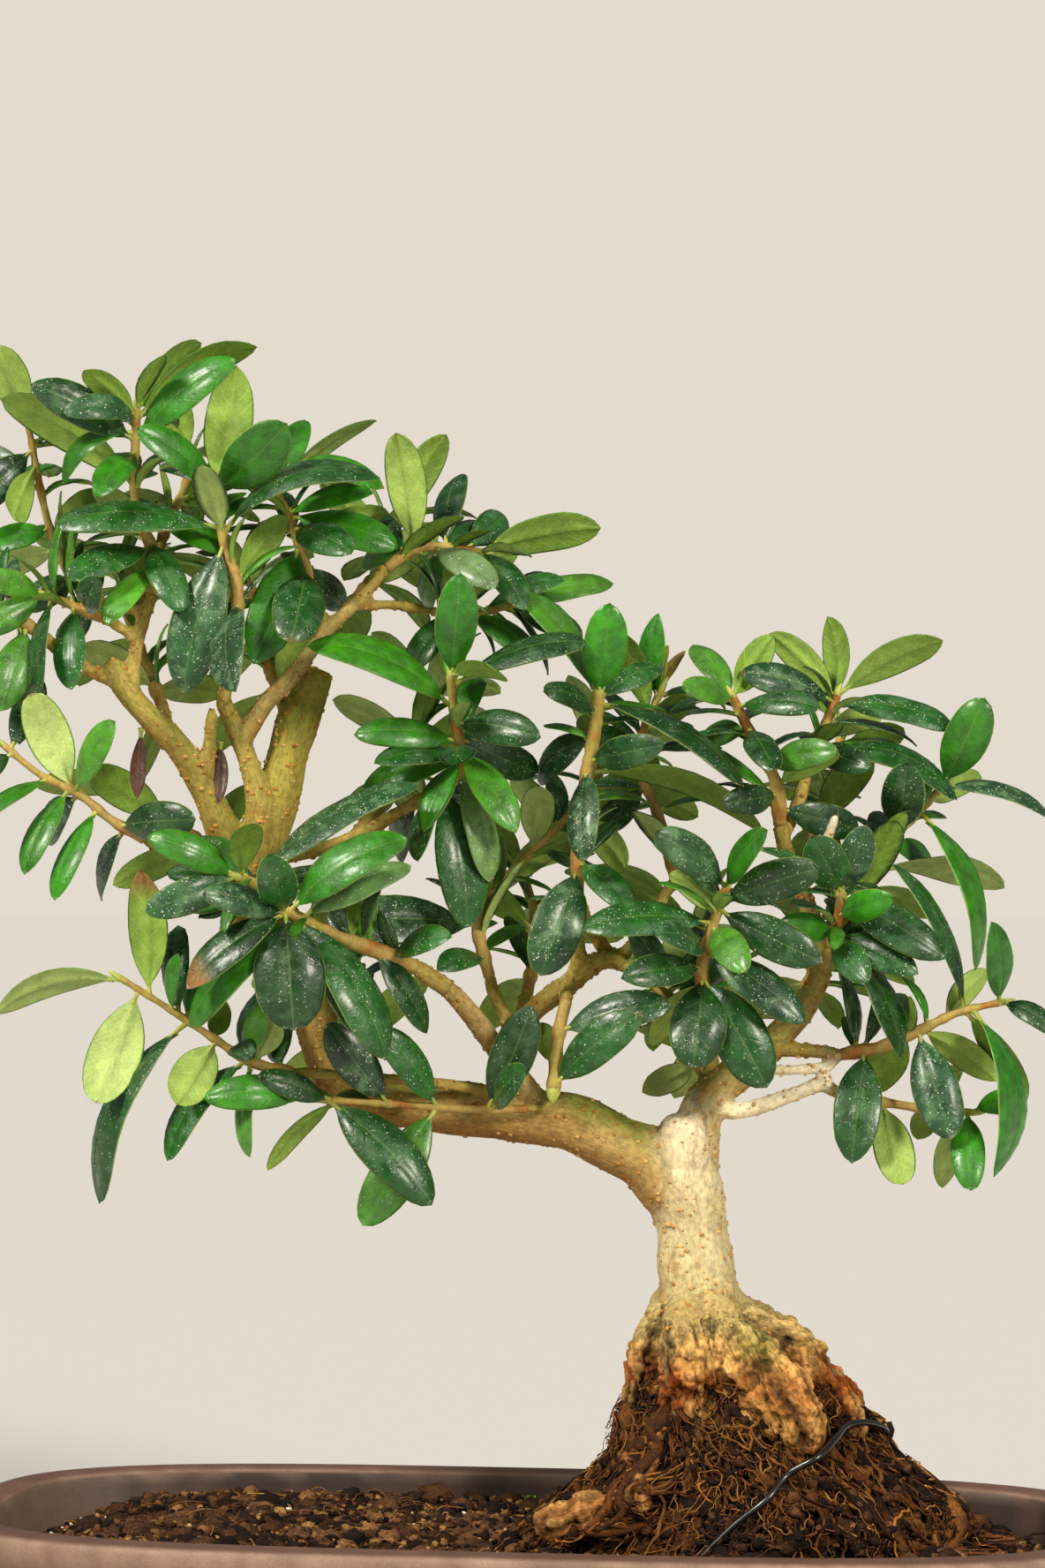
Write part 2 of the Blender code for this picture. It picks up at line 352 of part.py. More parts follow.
# Shoots at the back, which the front view hides: stem, twig, thickness at both ends, leaf pairs
REAR_SHOOTS = {
    "shoot_back_left": (
        [(38, 162, -4), (37, 166, 5)],
        [(36.4, 169, 10), (33, 178, 20), (29, 188, 29), (27, 197, 36)], 3, 1.5, 3),
    "shoot_back_top": (
        [(32, 187, -4.2), (33.4, 193, 2)],
        [(34.6, 200, 8), (38, 209, 17), (42, 218, 26), (43, 226, 33)], 2.6, 1.4, 3),
    "shoot_back_stem": (
        [(66, 160, 3), (65, 166, 12)],
        [(64, 169, 16), (61, 177, 26), (58, 187, 36), (57, 197, 43)], 3.2, 1.5, 3),
    "shoot_back_upper": (
        [(76, 187, -1), (79.6, 191, 9)],
        [(81, 193, 14), (85, 198, 24), (88, 204, 34), (89, 210, 42)], 2.6, 1.4, 3),
    "shoot_back_knee": (
        [(57, 126, 0), (51, 132, 12)],
        [(48.6, 134.4, 16), (42, 140, 26), (36, 144, 36), (31, 150, 43)], 3, 1.5, 3),
    "shoot_back_limb": (
        [(82, 80, 4), (82, 87, 13)],
        [(82, 90, 17), (80, 97, 28), (76, 103, 38), (73, 110, 46)], 3, 1.5, 3),
    "shoot_back_centre": (
        [(80, 138, 7), (86, 145, 14)],
        [(88.4, 148, 18), (92, 155, 28), (95, 163, 38), (96, 171, 46)], 2.8, 1.4, 3),
    "shoot_back_inner": (
        [(118, 95, 4), (119, 101, 13)],
        [(119.6, 104, 17), (121, 112, 28), (121, 121, 38), (119, 130, 46)], 3, 1.5, 3),
    "shoot_back_twig": (
        [(139, 110, 1), (133, 119, 14), (131.6, 124, 19)],
        [(131, 128, 22), (132, 138, 30), (135, 149, 37), (137, 158, 42)], 2.8, 1.5, 3),
    "shoot_back_right": (
        [(178, 95, 3), (181, 100, 12)],
        [(182.4, 103, 17), (185, 110, 27), (188, 118, 37), (189, 127, 45)], 3, 1.5, 3),
    "shoot_back_crown": (
        [(181, 128, 0), (183.4, 135, 11)],
        [(184, 138, 16), (187, 147, 26), (190, 156, 35), (190, 165, 42)], 2.8, 1.4, 3),
    "shoot_back_fork": (
        [(160, 79, 1), (161, 86, 13)],
        [(161.4, 89, 18), (161, 98, 28), (159, 106, 38), (157, 115, 46)], 3, 1.5, 3),
}

# A shoot's stem inside the tree: its straight end in squares, and its thickness where it starts
STEM_END = 2.5
STEM_SWELL = 1.25

# Leaves
SPAN_STEPS = 12
LEAF_RATIO = 0.36
LEAF_BOW = 0.09
LEAF_THICKNESS = 1.2 * MM
STALK_THICKNESS = 1.1 * MM
LEAF_STATIONS = ((0.3, 0.84), (0.63, 0.96), (0.88, 0.55))
FEW_STATIONS = ((0.36, 0.92), (0.74, 0.86))
SHORT_LEAF = 21
SLIM_LEAF = 7.2
LEAF_CLEARANCE = 0.35 * MM
FLAT_WOOD = math.radians(5)
FLAT_LEAF = math.radians(1)
REAR_LEAF_LENGTH = 25
REAR_LEAF_BREADTH = 9
REAR_FIRST_PAIR, REAR_LAST_PAIR = 0.12, 0.98
REAR_SPREAD, REAR_END_SPREAD = math.radians(66), math.radians(48)
REAR_DROOP = 0.12
REAR_TURN = 0.3
REAR_CHANGE = 0.15

# Turns in degrees that bend a leaf clear: away from the eye, and across the sheet
TURNS = [(0, 0), (7, 0), (-7, 0), (14, 0), (-14, 0), (0, 6), (0, -6), (21, 0), (-21, 0), (10, 8),
         (10, -8), (-10, 8), (-10, -8), (28, 0), (-28, 0), (0, 14), (0, -14), (20, 12), (20, -12),
         (-20, 12), (-20, -12), (35, 0), (-35, 0), (30, 20), (30, -20), (-30, 20), (-30, -20),
         (42, 0), (-42, 0), (0, 28), (0, -28), (50, 14), (50, -14), (-50, 14), (-50, -14)]

COLOURS = {
    "tray_clay": ((0.16, 0.10, 0.08), 0.75), "soil": ((0.05, 0.03, 0.02), 0.95),
    "bark": ((0.45, 0.34, 0.17), 0.8), "olive_leaf": ((0.02, 0.10, 0.03), 0.4),
    "wire": ((0.01, 0.01, 0.012), 0.3), "screen": ((0.02, 0.02, 0.02), 0.6),
}


def eye():
    """Where the viewer's eye is, and the sheet's right, up and forward directions."""
    level = Vector((-math.sin(EYE_TURN), math.cos(EYE_TURN), 0))
    right = Vector((math.cos(EYE_TURN), math.sin(EYE_TURN), 0))
    forward = level * math.cos(EYE_TILT) + Vector((0, 0, math.sin(EYE_TILT)))
    middle = -1.9 * MM * right
    at = middle - level * EYE_DISTANCE + Vector((0, 0, TRAY_HEIGHT + EYE_ABOVE_RIM))
    return at, right, right.cross(forward), forward, level


EYE, RIGHT, UP, FORWARD, LEVEL = eye()


def place(x, z, d):
    """The point d squares further away than the trunk, on the line of sight through (x, z)."""
    ray = FORWARD * SHEET_FOCUS + RIGHT * (x - SHEET_MIDDLE[0]) + UP * (z - SHEET_MIDDLE[1])
    return EYE + ray * ((EYE_DISTANCE + d * SQUARE) / ray.dot(LEVEL))


def finely(route):
    """Points along the straight spans of a route, close together."""
    p = np.array(route, float)
    whole = np.arange(len(p))
    steps = np.linspace(0, len(p) - 1, SPAN_STEPS * (len(p) - 1) + 1)
    return np.stack([np.interp(steps, whole, p[:, k]) for k in range(3)], axis=1)


def material(name):
    """The material of this name, made on first use."""
    made = bpy.data.materials.get(name)
    if made is None:
        colour, roughness = COLOURS[name]
        made = bpy.data.materials.new(name)
        made.use_nodes = True
        shader = made.node_tree.nodes["Principled BSDF"]
        shader.inputs["Base Color"].default_value = (*colour, 1)
        shader.inputs["Roughness"].default_value = roughness
    return made


def add_object(name, mesh, finish, collection):
    """A new object that holds the mesh, with its finish."""
    mesh.name = name
    mesh.materials.clear()
    mesh.materials.append(material(finish))
    made = bpy.data.objects.new(name, mesh)
    collection.objects.link(made)
    return made


def loft(rings, end=None):
    """A closed mesh of triangles through rings of equal count, capped flat or drawn to a point."""
    work = bmesh.new()
    rows = [[work.verts.new(p) for p in ring] for ring in rings]
    for low, high in zip(rows, rows[1:]):
        for i, start in enumerate(low):
            work.faces.new((low[i - 1], start, high[i], high[i - 1]))
    work.faces.new(rows[0])
    if end is None:
        work.faces.new(rows[-1])
    else:
        point = work.verts.new(end)
        for i, start in enumerate(rows[-1]):
            work.faces.new((rows[-1][i - 1], start, point))
    bmesh.ops.recalc_face_normals(work, faces=work.faces)
    mesh = bpy.data.meshes.new("loft")
    work.to_mesh(mesh)
    work.free()
    return mesh


def tube(points, thicknesses, sides):
    """The mesh of a curve along the points, as thick as given at each, with filled caps."""
    curve = bpy.data.curves.new("tube", "CURVE")
    curve.dimensions = "3D"
    curve.bevel_depth = 1.0
    curve.bevel_resolution = max(0, (sides - 4) // 2)
    curve.use_fill_caps = True
    line = curve.splines.new("POLY")
    line.points.add(len(points) - 1)
    for spot, point, thick in zip(line.points, points, thicknesses):
        spot.co = (*point, 1)
        spot.radius = thick / 2
    guide = bpy.data.objects.new("tube", curve)
    bpy.context.scene.collection.objects.link(guide)
    graph = bpy.context.evaluated_depsgraph_get()
    mesh = bpy.data.meshes.new_from_object(guide.evaluated_get(graph))
    bpy.data.objects.remove(guide)
    work = bmesh.new()
    work.from_mesh(mesh)
    bmesh.ops.remove_doubles(work, verts=work.verts, dist=1e-6)
    bmesh.ops.recalc_face_normals(work, faces=work.faces)
    work.to_mesh(mesh)
    work.free()
    return mesh


def union(body, helpers, bend):
    """Joins every object of the helpers collection to the body, and removes them."""
    join = body.modifiers.new("join", "BOOLEAN")
    join.operand_type = "COLLECTION"
    join.operation = "UNION"
    join.solver = "MANIFOLD"
    join.collection = helpers
    apply_modifiers(body)
    flatten(body.data, bend)
    for helper in list(helpers.objects):
        bpy.data.objects.remove(helper)


def cut(body, cutter):
    """Takes the cutter's shape out of the body, and removes the cutter."""
    take = body.modifiers.new("cut", "BOOLEAN")
    take.operation = "DIFFERENCE"
    take.solver = "EXACT"
    take.object = cutter
    apply_modifiers(body)
    bpy.data.objects.remove(cutter)


def apply_modifiers(body):
    """Puts the evaluated shape into the object's own mesh."""
    graph = bpy.context.evaluated_depsgraph_get()
    mesh = bpy.data.meshes.new_from_object(body.evaluated_get(graph))
    body.modifiers.clear()
    body.data = mesh


def flatten(mesh, bend):
    """Joins faces that bend by less than an angle, and splits the result in triangles."""
    work = bmesh.new()
    work.from_mesh(mesh)
    bmesh.ops.dissolve_limit(work, angle_limit=bend, verts=work.verts, edges=work.edges)
    bmesh.ops.triangulate(work, faces=work.faces)
    work.to_mesh(mesh)
    work.free()


def helper_collection(name):
    """A collection for cutters and pieces to be joined, left out of renders."""
    made = bpy.data.collections.new(name)
    bpy.context.scene.collection.children.link(made)
    made.hide_render = True
    return made


def tray_outline(inset, z):
    """The tray's plan at a height: a rounded rectangle, by the superellipse formula."""
    half_x, half_y = TRAY_LENGTH / 2 - inset, TRAY_WIDTH / 2 - inset
    ring = []
    for i in range(TRAY_SIDES):
        angle = 2 * math.pi * i / TRAY_SIDES
        c, s = math.cos(angle), math.sin(angle)
        power = 2 / TRAY_ROUNDNESS
        ring.append(Vector((math.copysign(abs(c) ** power, c) * half_x,
                            math.copysign(abs(s) ** power, s) * half_y, z)))
    return ring


def inner_inset(z):
    """How far the tray's inner wall lies inside the rim's outer edge at a height."""
    return TRAY_RIM + TRAY_TAPER * (TRAY_HEIGHT - z) / TRAY_HEIGHT


def make_tray(parts, helpers):
    """The clay tray: plinth, tapering wall, flat rim with eased edges, and two drain holes."""
    plinth = TRAY_TAPER + TRAY_FOOT_STEP
    shoulder = TRAY_HEIGHT - TRAY_EDGE
    rings = [
        tray_outline(plinth, 0),
        tray_outline(plinth - TRAY_FOOT_COVE / 2, TRAY_FOOT_HEIGHT),
        tray_outline(TRAY_TAPER - TRAY_FOOT_COVE, TRAY_FOOT_HEIGHT + TRAY_FOOT_COVE),
        tray_outline(TRAY_EDGE, TRAY_HEIGHT - TRAY_LIP - TRAY_LIP_COVE),
        tray_outline(0, TRAY_HEIGHT - TRAY_LIP),
        tray_outline(0, shoulder),
        tray_outline(TRAY_EDGE, TRAY_HEIGHT),
        tray_outline(TRAY_RIM - TRAY_EDGE, TRAY_HEIGHT),
        tray_outline(inner_inset(shoulder), shoulder),
        tray_outline(inner_inset(TRAY_FLOOR), TRAY_FLOOR),
    ]
    tray = add_object("tray", loft(rings), "tray_clay", parts)
    for side in (-1, 1):
        bpy.ops.mesh.primitive_cylinder_add(
            vertices=12, radius=DRAIN_HOLE_RADIUS, depth=4 * TRAY_FLOOR,
            location=(side * DRAIN_HOLE_AT, 0, TRAY_FLOOR / 2))
        cut(tray, bpy.context.object)
        screen = box((side * DRAIN_HOLE_AT, 0, TRAY_FLOOR + GAP + SCREEN_THICKNESS / 2),
                     (SCREEN_SIDE, SCREEN_SIDE, SCREEN_THICKNESS))
        name = "drain_screen_left" if side < 0 else "drain_screen_right"
        add_object(name, screen, "screen", parts)


def box(middle, size):
    """The mesh of a box."""
    work = bmesh.new()
    sized = Matrix.Translation(middle) @ Matrix.Diagonal((*size, 1))
    bmesh.ops.create_cube(work, size=1, matrix=sized)
    mesh = bpy.data.meshes.new("box")
    work.to_mesh(mesh)
    work.free()
    return mesh


def soil_height(x, y, draw):
    """The soil's surface: crumbs, a low swell left of the middle, and hollows at the ends."""
    along = x / (TRAY_LENGTH / 2)
    across = y / (TRAY_WIDTH / 2)
    swell = SOIL_SWELL * math.exp(-((along + 0.35) / 0.3) ** 2) * (1 - across**2)
    hollow = SOIL_HOLLOW * max(0, abs(along) - 0.72) / 0.2
    hollow += SOIL_SIDE_HOLLOW * max(0, abs(across) - 0.7) / 0.15
    crumbs = draw.uniform(-SOIL_CRUMB, SOIL_CRUMB)
    return SOIL_LEVEL + swell - min(hollow, SOIL_HOLLOW) + crumbs


def mound_ring(level, grow=0.0):
    """One ring of the root mound, with its ridges, at a row of MOUND, grown outwards."""
    height, middle, half_x, half_y = level
    at = place(middle, 0, 0)
    ring = []
    for i in range(MOUND_SIDES):
        angle = 2 * math.pi * i / MOUND_SIDES
        relief = mound_relief(angle, height)
        ring.append(Vector((at.x + (half_x * SQUARE * relief + grow) * math.cos(angle),
                            at.y + (half_y * SQUARE * relief + grow) * math.sin(angle),
                            SOIL_LEVEL + height * MM)))
    return ring


def mound_relief(angle, height):
    """Root ridges that run down the mound: waves round it that turn with the height."""
    if height > MOUND_RIDGES_END:
        return 1.0
    turn = 0.03 * max(height, 0)
    wave = math.cos(5 * angle + turn) + 0.4 * math.cos(13 * angle)
    wave += 0.7 * math.cos(9 * angle - 2 * turn + 1)
    return 1 + MOUND_RIDGE * wave


def mound_point(degrees, height, out=0.0):
    """A point on the mound's face at a turn round it and a height in millimetres, moved outwards."""
    heights, middles, half_widths, half_depths = zip(*MOUND)
    middle = float(np.interp(height, heights, middles))
    half_x = float(np.interp(height, heights, half_widths))
    half_y = float(np.interp(height, heights, half_depths))
    angle = math.radians(degrees)
    relief = mound_relief(angle, height)
    at = place(middle, 0, 0)
    return Vector((at.x + (half_x * SQUARE * relief + out) * math.cos(angle),
                   at.y + (half_y * SQUARE * relief + out) * math.sin(angle),
                   SOIL_LEVEL + height * MM))


# Woody roots over the mound: turn in degrees, height and thickness in mm, from the top down
WOODY_ROOTS = {
    "front root": [(-66, 47, 8), (-62, 39, 11), (-57, 31, 9.5), (-54, 22, 8.5), (-56, 13, 6)],
    "front lobe": [(-112, 47, 8), (-110, 38, 11.5), (-108, 30, 9)],
    "left lobe": [(-158, 47, 6), (-155, 38, 8), (-150, 28, 8), (-156, 17, 6)],
    "left root": [(-126, 33, 6), (-136, 22, 7), (-140, 12, 8), (-146, 4, 8)],
    "right lobe": [(-28, 46, 8), (-22, 38, 11), (-18, 28, 8.5), (-22, 17, 6)],
    "back root": [(50, 46, 8), (58, 37, 11), (68, 26, 8.5), (76, 14, 6)],
    "back lobe": [(112, 46, 8), (116, 37, 10.5), (110, 26, 8), (106, 14, 6)],
    "side root": [(10, 42, 5), (11, 31, 5.6), (4, 19, 4.4)],
}
FINE_ROOTS = 5
FINE_ROOT_THICKNESS = (2, 3)
FINE_ROOT_TOP = (20, 34)
FINE_ROOT_FOOT = (2.5, 5)
# How far a root's middle line stands out of the mound's face, as a share of its thickness
ROOT_RISE = 0.12
ROOT_END_SINK = -0.35
# The root that lies along the soil at the left: points on the sheet, thickness in squares
LYING_ROOT = [(154, -3, -19, 6), (146, -8.6, -27, 7.4), (140, -11.6, -29, 8), (131, -15, -31, 7.4),
              (123, -18.6, -32, 5)]


def make_tree(parts, helpers):
    """Roots, trunk and woody branches, joined in one solid."""
    rings = [mound_ring(row) for row in MOUND]
    tree = add_object("tree", loft(rings), "bark", parts)
    pieces = []
    for sides, route in WOOD.values():
        points = [place(*p[:3]) for p in route]
        pieces.append(tube(points, [p[3] * SQUARE for p in route], sides))
    for route in WOODY_ROOTS.values():
        sunk = [ROOT_END_SINK] + [ROOT_RISE] * (len(route) - 2) + [ROOT_END_SINK]
        points = [mound_point(a, h, part * t * MM) for (a, h, t), part in zip(route, sunk)]
        pieces.append(tube(points, [t * MM for _, _, t in route], 6))
    draw = random.Random(11)
    for i in range(FINE_ROOTS):
        turn = 360 * i / FINE_ROOTS + draw.uniform(-6, 6)
        thick = draw.uniform(*FINE_ROOT_THICKNESS) * MM
        top, foot = draw.uniform(*FINE_ROOT_TOP), draw.uniform(*FINE_ROOT_FOOT)
        drift = draw.uniform(-24, 24)
        steps = [(turn + drift * s + draw.uniform(-5, 5), top + (foot - top) * s)
                 for s in np.linspace(0, 1, 5)]
        points = [mound_point(a, h, 0.1 * thick) for a, h in steps]
        pieces.append(tube(points, [thick] * 5, 4))
    pieces.append(lying_root(0))
    for stem, twig, thick, _, _ in {**SHOOTS, **REAR_SHOOTS}.values():
        pieces.append(stem_tube(stem, twig, thick))
    for mesh in pieces:
        add_object("piece", mesh, "bark", helpers)
    union(tree, helpers, FLAT_WOOD)
    return tree


def lying_root(grow):
    """The mesh of the root that lies along the soil, grown by a width all round."""
    points = [place(*p[:3]) for p in LYING_ROOT]
    return tube(points, [p[3] * SQUARE + 2 * grow for p in LYING_ROOT], 6)


def stem_tube(stem, twig, thick):
    """The tree's own part of a shoot's twig, which ends a gap before the shoot starts."""
    start, after = place(*twig[0]), place(*twig[1])
    along = (after - start).normalized()
    points = [place(*p) for p in stem]
    points += [start - along * STEM_END * SQUARE, start - along * GAP]
    widths = thick * SQUARE * np.linspace(STEM_SWELL, 1, len(points))
    return tube(points, widths, 4)


def make_soil(parts, helpers):
    """The soil bed, with its crumbly face and the plain hole that the root mound stands in."""
    draw = random.Random(5)
    bottom = TRAY_FLOOR + GAP
    edge_height = SOIL_LEVEL - SOIL_WALL
    rings = [tray_outline(inner_inset(z) + SOIL_INSET, z) for z in (bottom, edge_height)]
    for scale in SOIL_RINGS:
        ring = []
        for point in tray_outline(inner_inset(SOIL_LEVEL), 0):
            x, y = point.x * scale, point.y * scale
            ring.append(Vector((x, y, soil_height(x, y, draw))))
        rings.append(ring)
    soil = add_object("soil", loft(rings, end=(0, 0, soil_height(0, 0, draw))), "soil", parts)
    clear = 2 * GAP
    hole = [mound_ring((h, x, a, b), clear) for h, x, a, b in MOUND[:6]]
    hole[0] = [p - Vector((0, 0, clear)) for p in hole[0]]
    cut(soil, add_object("cutter", loft(hole), "soil", helpers))
    cut(soil, add_object("cutter", lying_root(clear), "soil", helpers))
    for side in (-1, 1):
        room = SCREEN_SIDE + 2 * GAP
        pocket = box((side * DRAIN_HOLE_AT, 0, TRAY_FLOOR + GAP + SCREEN_THICKNESS / 2),
                     (room, room, SCREEN_THICKNESS + 3 * GAP))
        cut(soil, add_object("cutter", pocket, "soil", helpers))


def make_wire(parts, tree):
    """The tie wire, pushed out along its route until it lies on the outermost roots."""
    bark = tree_of(tree.data)
    middle = place(MOUND[3][1], 0, 0)
    reach = WIRE_THICKNESS / 2 + GAP
    points = [mound_point(degrees, height, reach) for degrees, height in WIRE_ROUTE]
    for _ in range(WIRE_PUSHES):
        for i in range(len(points) - 1):
            for part in (0.0, 0.25, 0.5, 0.75, 1.0):
                spot = points[i].lerp(points[i + 1], part)
                near, normal, _, _ = bark.find_nearest(spot / MM)
                away = spot - near * MM
                short = reach - math.copysign(away.length, normal.dot(away))
                if short > 0:
                    out = Vector((spot.x - middle.x, spot.y - middle.y, 0)).normalized()
                    points[i] += out * short * (1 - part)
                    points[i + 1] += out * short * part
    add_object("tie_wire", tube(points, [WIRE_THICKNESS] * len(points), 6), "wire", parts)


def tree_of(mesh):
    """A search tree of a mesh's faces, in millimetres: its tests fail on faces under 0.01 units."""
    points = [v.co / MM for v in mesh.vertices]
    return BVHTree.FromPolygons(points, [p.vertices[:] for p in mesh.polygons])


def leaf_turns(base, tip, normal):
    """Each place of the tip and of the upper side that the list of turns gives, in order."""
    along = tip - base
    sight = (base - EYE).normalized()
    across = along.cross(sight).normalized()
    for away, swing in TURNS:
        turn = Matrix.Rotation(math.radians(swing), 3, sight)
        turn = turn @ Matrix.Rotation(math.radians(away), 3, across)
        yield base + turn @ along, turn @ normal


def leaf_normal(base, tip, breadth, face):
    """The leaf's upper side, tipped up until the leaf shows as broad as given, and its breadth."""
    along = (tip - base).normalized()
    sight = (EYE - base).normalized()
    toward = (sight - along * sight.dot(along)).normalized()
    upward = along.cross(toward)
    if upward.z < 0:
        upward = -upward
    full = max(breadth * SQUARE, LEAF_RATIO * (tip - base).length)
    cosine = min(1, breadth * SQUARE / full)
    return toward * cosine * face + upward * math.sqrt(1 - cosine**2), full


def leaf_mesh(leaf, grow=0.0, begin=0):
    """One leaf: a blade with a rib below that narrows to the stalk, which starts inside the twig.

    Grown, it is a sleeve that the leaf stands clear in on every side, from its first ring on.
    """
    base, tip, normal, breadth, bow, stations = leaf
    along = tip - base
    side = along.cross(normal).normalized()
    up = side.cross(along).normalized()
    rings = []
    for s, wide in ((0.0, STALK_THICKNESS / breadth), *stations)[begin:]:
        middle = base + along * s + up * bow * along.length * 4 * s * (1 - s)
        half, lift = side * (wide * breadth / 2 + grow), up * grow
        ring = [middle + lift + half, middle + lift - half, middle - lift - up * LEAF_THICKNESS]
        if grow:
            ring[2:] = [middle - lift - half, ring[2], middle - lift + half]
        rings.append(ring)
    return loft(rings, end=tip + along.normalized() * grow)


class Crown:
    """The leafy shoots, made one after another, each leaf clear of all that stands already."""

    def __init__(self, parts, helpers, tree):
        self.parts = parts
        self.helpers = helpers
        self.fixed = [(None, tree_of(tree.data))]
        self.twigs = {}

    def add_twig(self, name, twig, thick, thin):
        """Makes a shoot's twig, which the leaves of every shoot keep clear of."""
        points = [place(*p) for p in twig]
        mesh = tube(points, np.linspace(thick, thin, len(twig)) * SQUARE, 4)
        self.twigs[name] = (finely(twig), mesh)
        self.fixed.append((name, tree_of(mesh)))

    def clear(self, name, leaf):
        """Whether a leaf overlaps nothing, apart from its own shoot near the leaf's stalk."""
        whole = tree_of(leaf_mesh(leaf, LEAF_CLEARANCE))
        blade = tree_of(leaf_mesh(leaf, LEAF_CLEARANCE / 2, 1))
        return not any((blade if owner == name else whole).overlap(other)
                       for owner, other in self.fixed)

    def settle(self, name, base, tip, normal, breadth, bow, stations):
        """The leaf at the first of its turns where it is clear, or nothing."""
        for moved, upper in leaf_turns(base, tip, normal):
            leaf = (base, moved, upper, breadth, bow, stations)
            if self.clear(name, leaf):
                mesh = leaf_mesh(leaf)
                self.fixed.append((name, tree_of(mesh)))
                return mesh
        return None

    def drawn_leaves(self, name, leaves):
        """The meshes of the leaves that the sheet shows on one shoot."""
        fine, _ = self.twigs[name]
        for x, z, tip_x, tip_z, breadth, face, away, *bow in leaves:
            spot = fine[np.argmin((fine[:, 0] - x) ** 2 + (fine[:, 1] - z) ** 2)]
            base = place(*spot)
            tip = place(tip_x, tip_z, spot[2] + away)
            normal, full = leaf_normal(base, tip, breadth, face)
            bend = bow[0] if bow else LEAF_BOW
            slim = breadth < SLIM_LEAF or (tip - base).length < SHORT_LEAF * SQUARE
            stations = FEW_STATIONS if slim else LEAF_STATIONS
            yield self.settle(name, base, tip, normal, full, bend, stations)

    def paired_leaves(self, name, pairs, draw):
        """Opposite pairs along a hidden shoot, each pair a quarter turn from the last."""
        fine, _ = self.twigs[name]
        last = len(fine) - 1
        breadth = REAR_LEAF_BREADTH * SQUARE
        for i, share in enumerate(np.linspace(REAR_FIRST_PAIR, REAR_LAST_PAIR, pairs)):
            at = int(share * last)
            base = place(*fine[at])
            along = (place(*fine[min(at + 1, last)]) - place(*fine[at - 1])).normalized()
            spread = REAR_SPREAD if i < pairs - 1 else REAR_END_SPREAD
            for half in (0, 1):
                quarters = math.pi * half + math.pi / 2 * i
                angle = quarters + draw.uniform(-REAR_TURN, REAR_TURN)
                out = Matrix.Rotation(angle, 3, along) @ along.orthogonal().normalized()
                reach = REAR_LEAF_LENGTH * SQUARE
                reach *= draw.uniform(1 - REAR_CHANGE, 1 + REAR_CHANGE)
                tip = base + (along * math.cos(spread) + out * math.sin(spread)) * reach
                tip.z -= REAR_DROOP * reach
                line = (tip - base).normalized()
                normal = (along - line * along.dot(line)).normalized()
                yield self.settle(name, base, tip, normal, breadth, LEAF_BOW, FEW_STATIONS)

    def finish(self, name, leaves):
        """Joins a shoot's leaves to its twig in one solid."""
        shoot = add_object(name, self.twigs[name][1], "olive_leaf", self.parts)
        for mesh in leaves:
            if mesh is not None:
                add_object("leaf", mesh, "olive_leaf", self.helpers)
        union(shoot, self.helpers, FLAT_LEAF)


def make_crown(parts, helpers, tree):
    """Every leafy shoot: first all twigs, then the leaves, front shoots before hidden ones."""
    crown = Crown(parts, helpers, tree)
    for name, (_, twig, thick, thin, _) in {**SHOOTS, **REAR_SHOOTS}.items():
        crown.add_twig(name, twig, thick, thin)
    leaves = {name: list(crown.drawn_leaves(name, row[4])) for name, row in SHOOTS.items()}
    draw = random.Random(7)
    for name, row in REAR_SHOOTS.items():
        leaves[name] = list(crown.paired_leaves(name, row[4], draw))
    for name, meshes in leaves.items():
        crown.finish(name, meshes)


def main():
    """Clears the scene and makes every piece."""
    for old in list(bpy.data.objects):
        bpy.data.objects.remove(old)
    parts = bpy.data.collections.new("olive_bonsai")
    bpy.context.scene.collection.children.link(parts)
    helpers = helper_collection("helpers")
    make_tray(parts, helpers)
    tree = make_tree(parts, helpers)
    make_soil(parts, helpers)
    make_wire(parts, tree)
    make_crown(parts, helpers, tree)
    bpy.data.collections.remove(helpers)


main()
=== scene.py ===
"""The look of an olive bonsai in a long clay tray.

Each sub-assembly is a class: the tray, its drain screens, the soil bed, the wood, the roots
under it, the tie wire and the leafy shoots. Surfaces are worked out as whole numpy arrays, as
a function of two parameters or as a section carried along a path, and put into meshes.

The tree is laid out on a drawing sheet, as a viewer in front of it sees it. A place on the
sheet is x squares from its left edge, z squares above its foot line, and d squares further away
than the trunk; place() turns it into metres. A square is about 0.93 mm at the trunk.
"""

import sys

import logging
import math
import random
from dataclasses import dataclass, field
from enum import Enum, IntEnum

import bmesh
import bpy
import numpy as np
from mathutils import Matrix, Vector
from mathutils.bvhtree import BVHTree

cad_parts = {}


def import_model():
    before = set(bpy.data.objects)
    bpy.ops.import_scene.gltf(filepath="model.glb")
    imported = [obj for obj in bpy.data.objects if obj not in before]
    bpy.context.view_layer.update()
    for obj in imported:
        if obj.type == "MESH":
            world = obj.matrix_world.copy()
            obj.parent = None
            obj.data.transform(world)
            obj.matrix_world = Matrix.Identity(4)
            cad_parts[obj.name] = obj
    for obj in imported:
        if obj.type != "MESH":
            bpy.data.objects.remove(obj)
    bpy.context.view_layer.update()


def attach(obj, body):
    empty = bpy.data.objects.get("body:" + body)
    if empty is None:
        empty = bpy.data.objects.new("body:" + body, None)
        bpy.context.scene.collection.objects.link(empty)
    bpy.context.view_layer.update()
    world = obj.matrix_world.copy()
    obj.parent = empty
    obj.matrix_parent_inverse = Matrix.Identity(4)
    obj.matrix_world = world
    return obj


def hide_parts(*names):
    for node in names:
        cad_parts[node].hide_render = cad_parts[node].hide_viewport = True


LOG = logging.getLogger("olive_bonsai")
MM = 0.001
GAP = 0.3 * MM


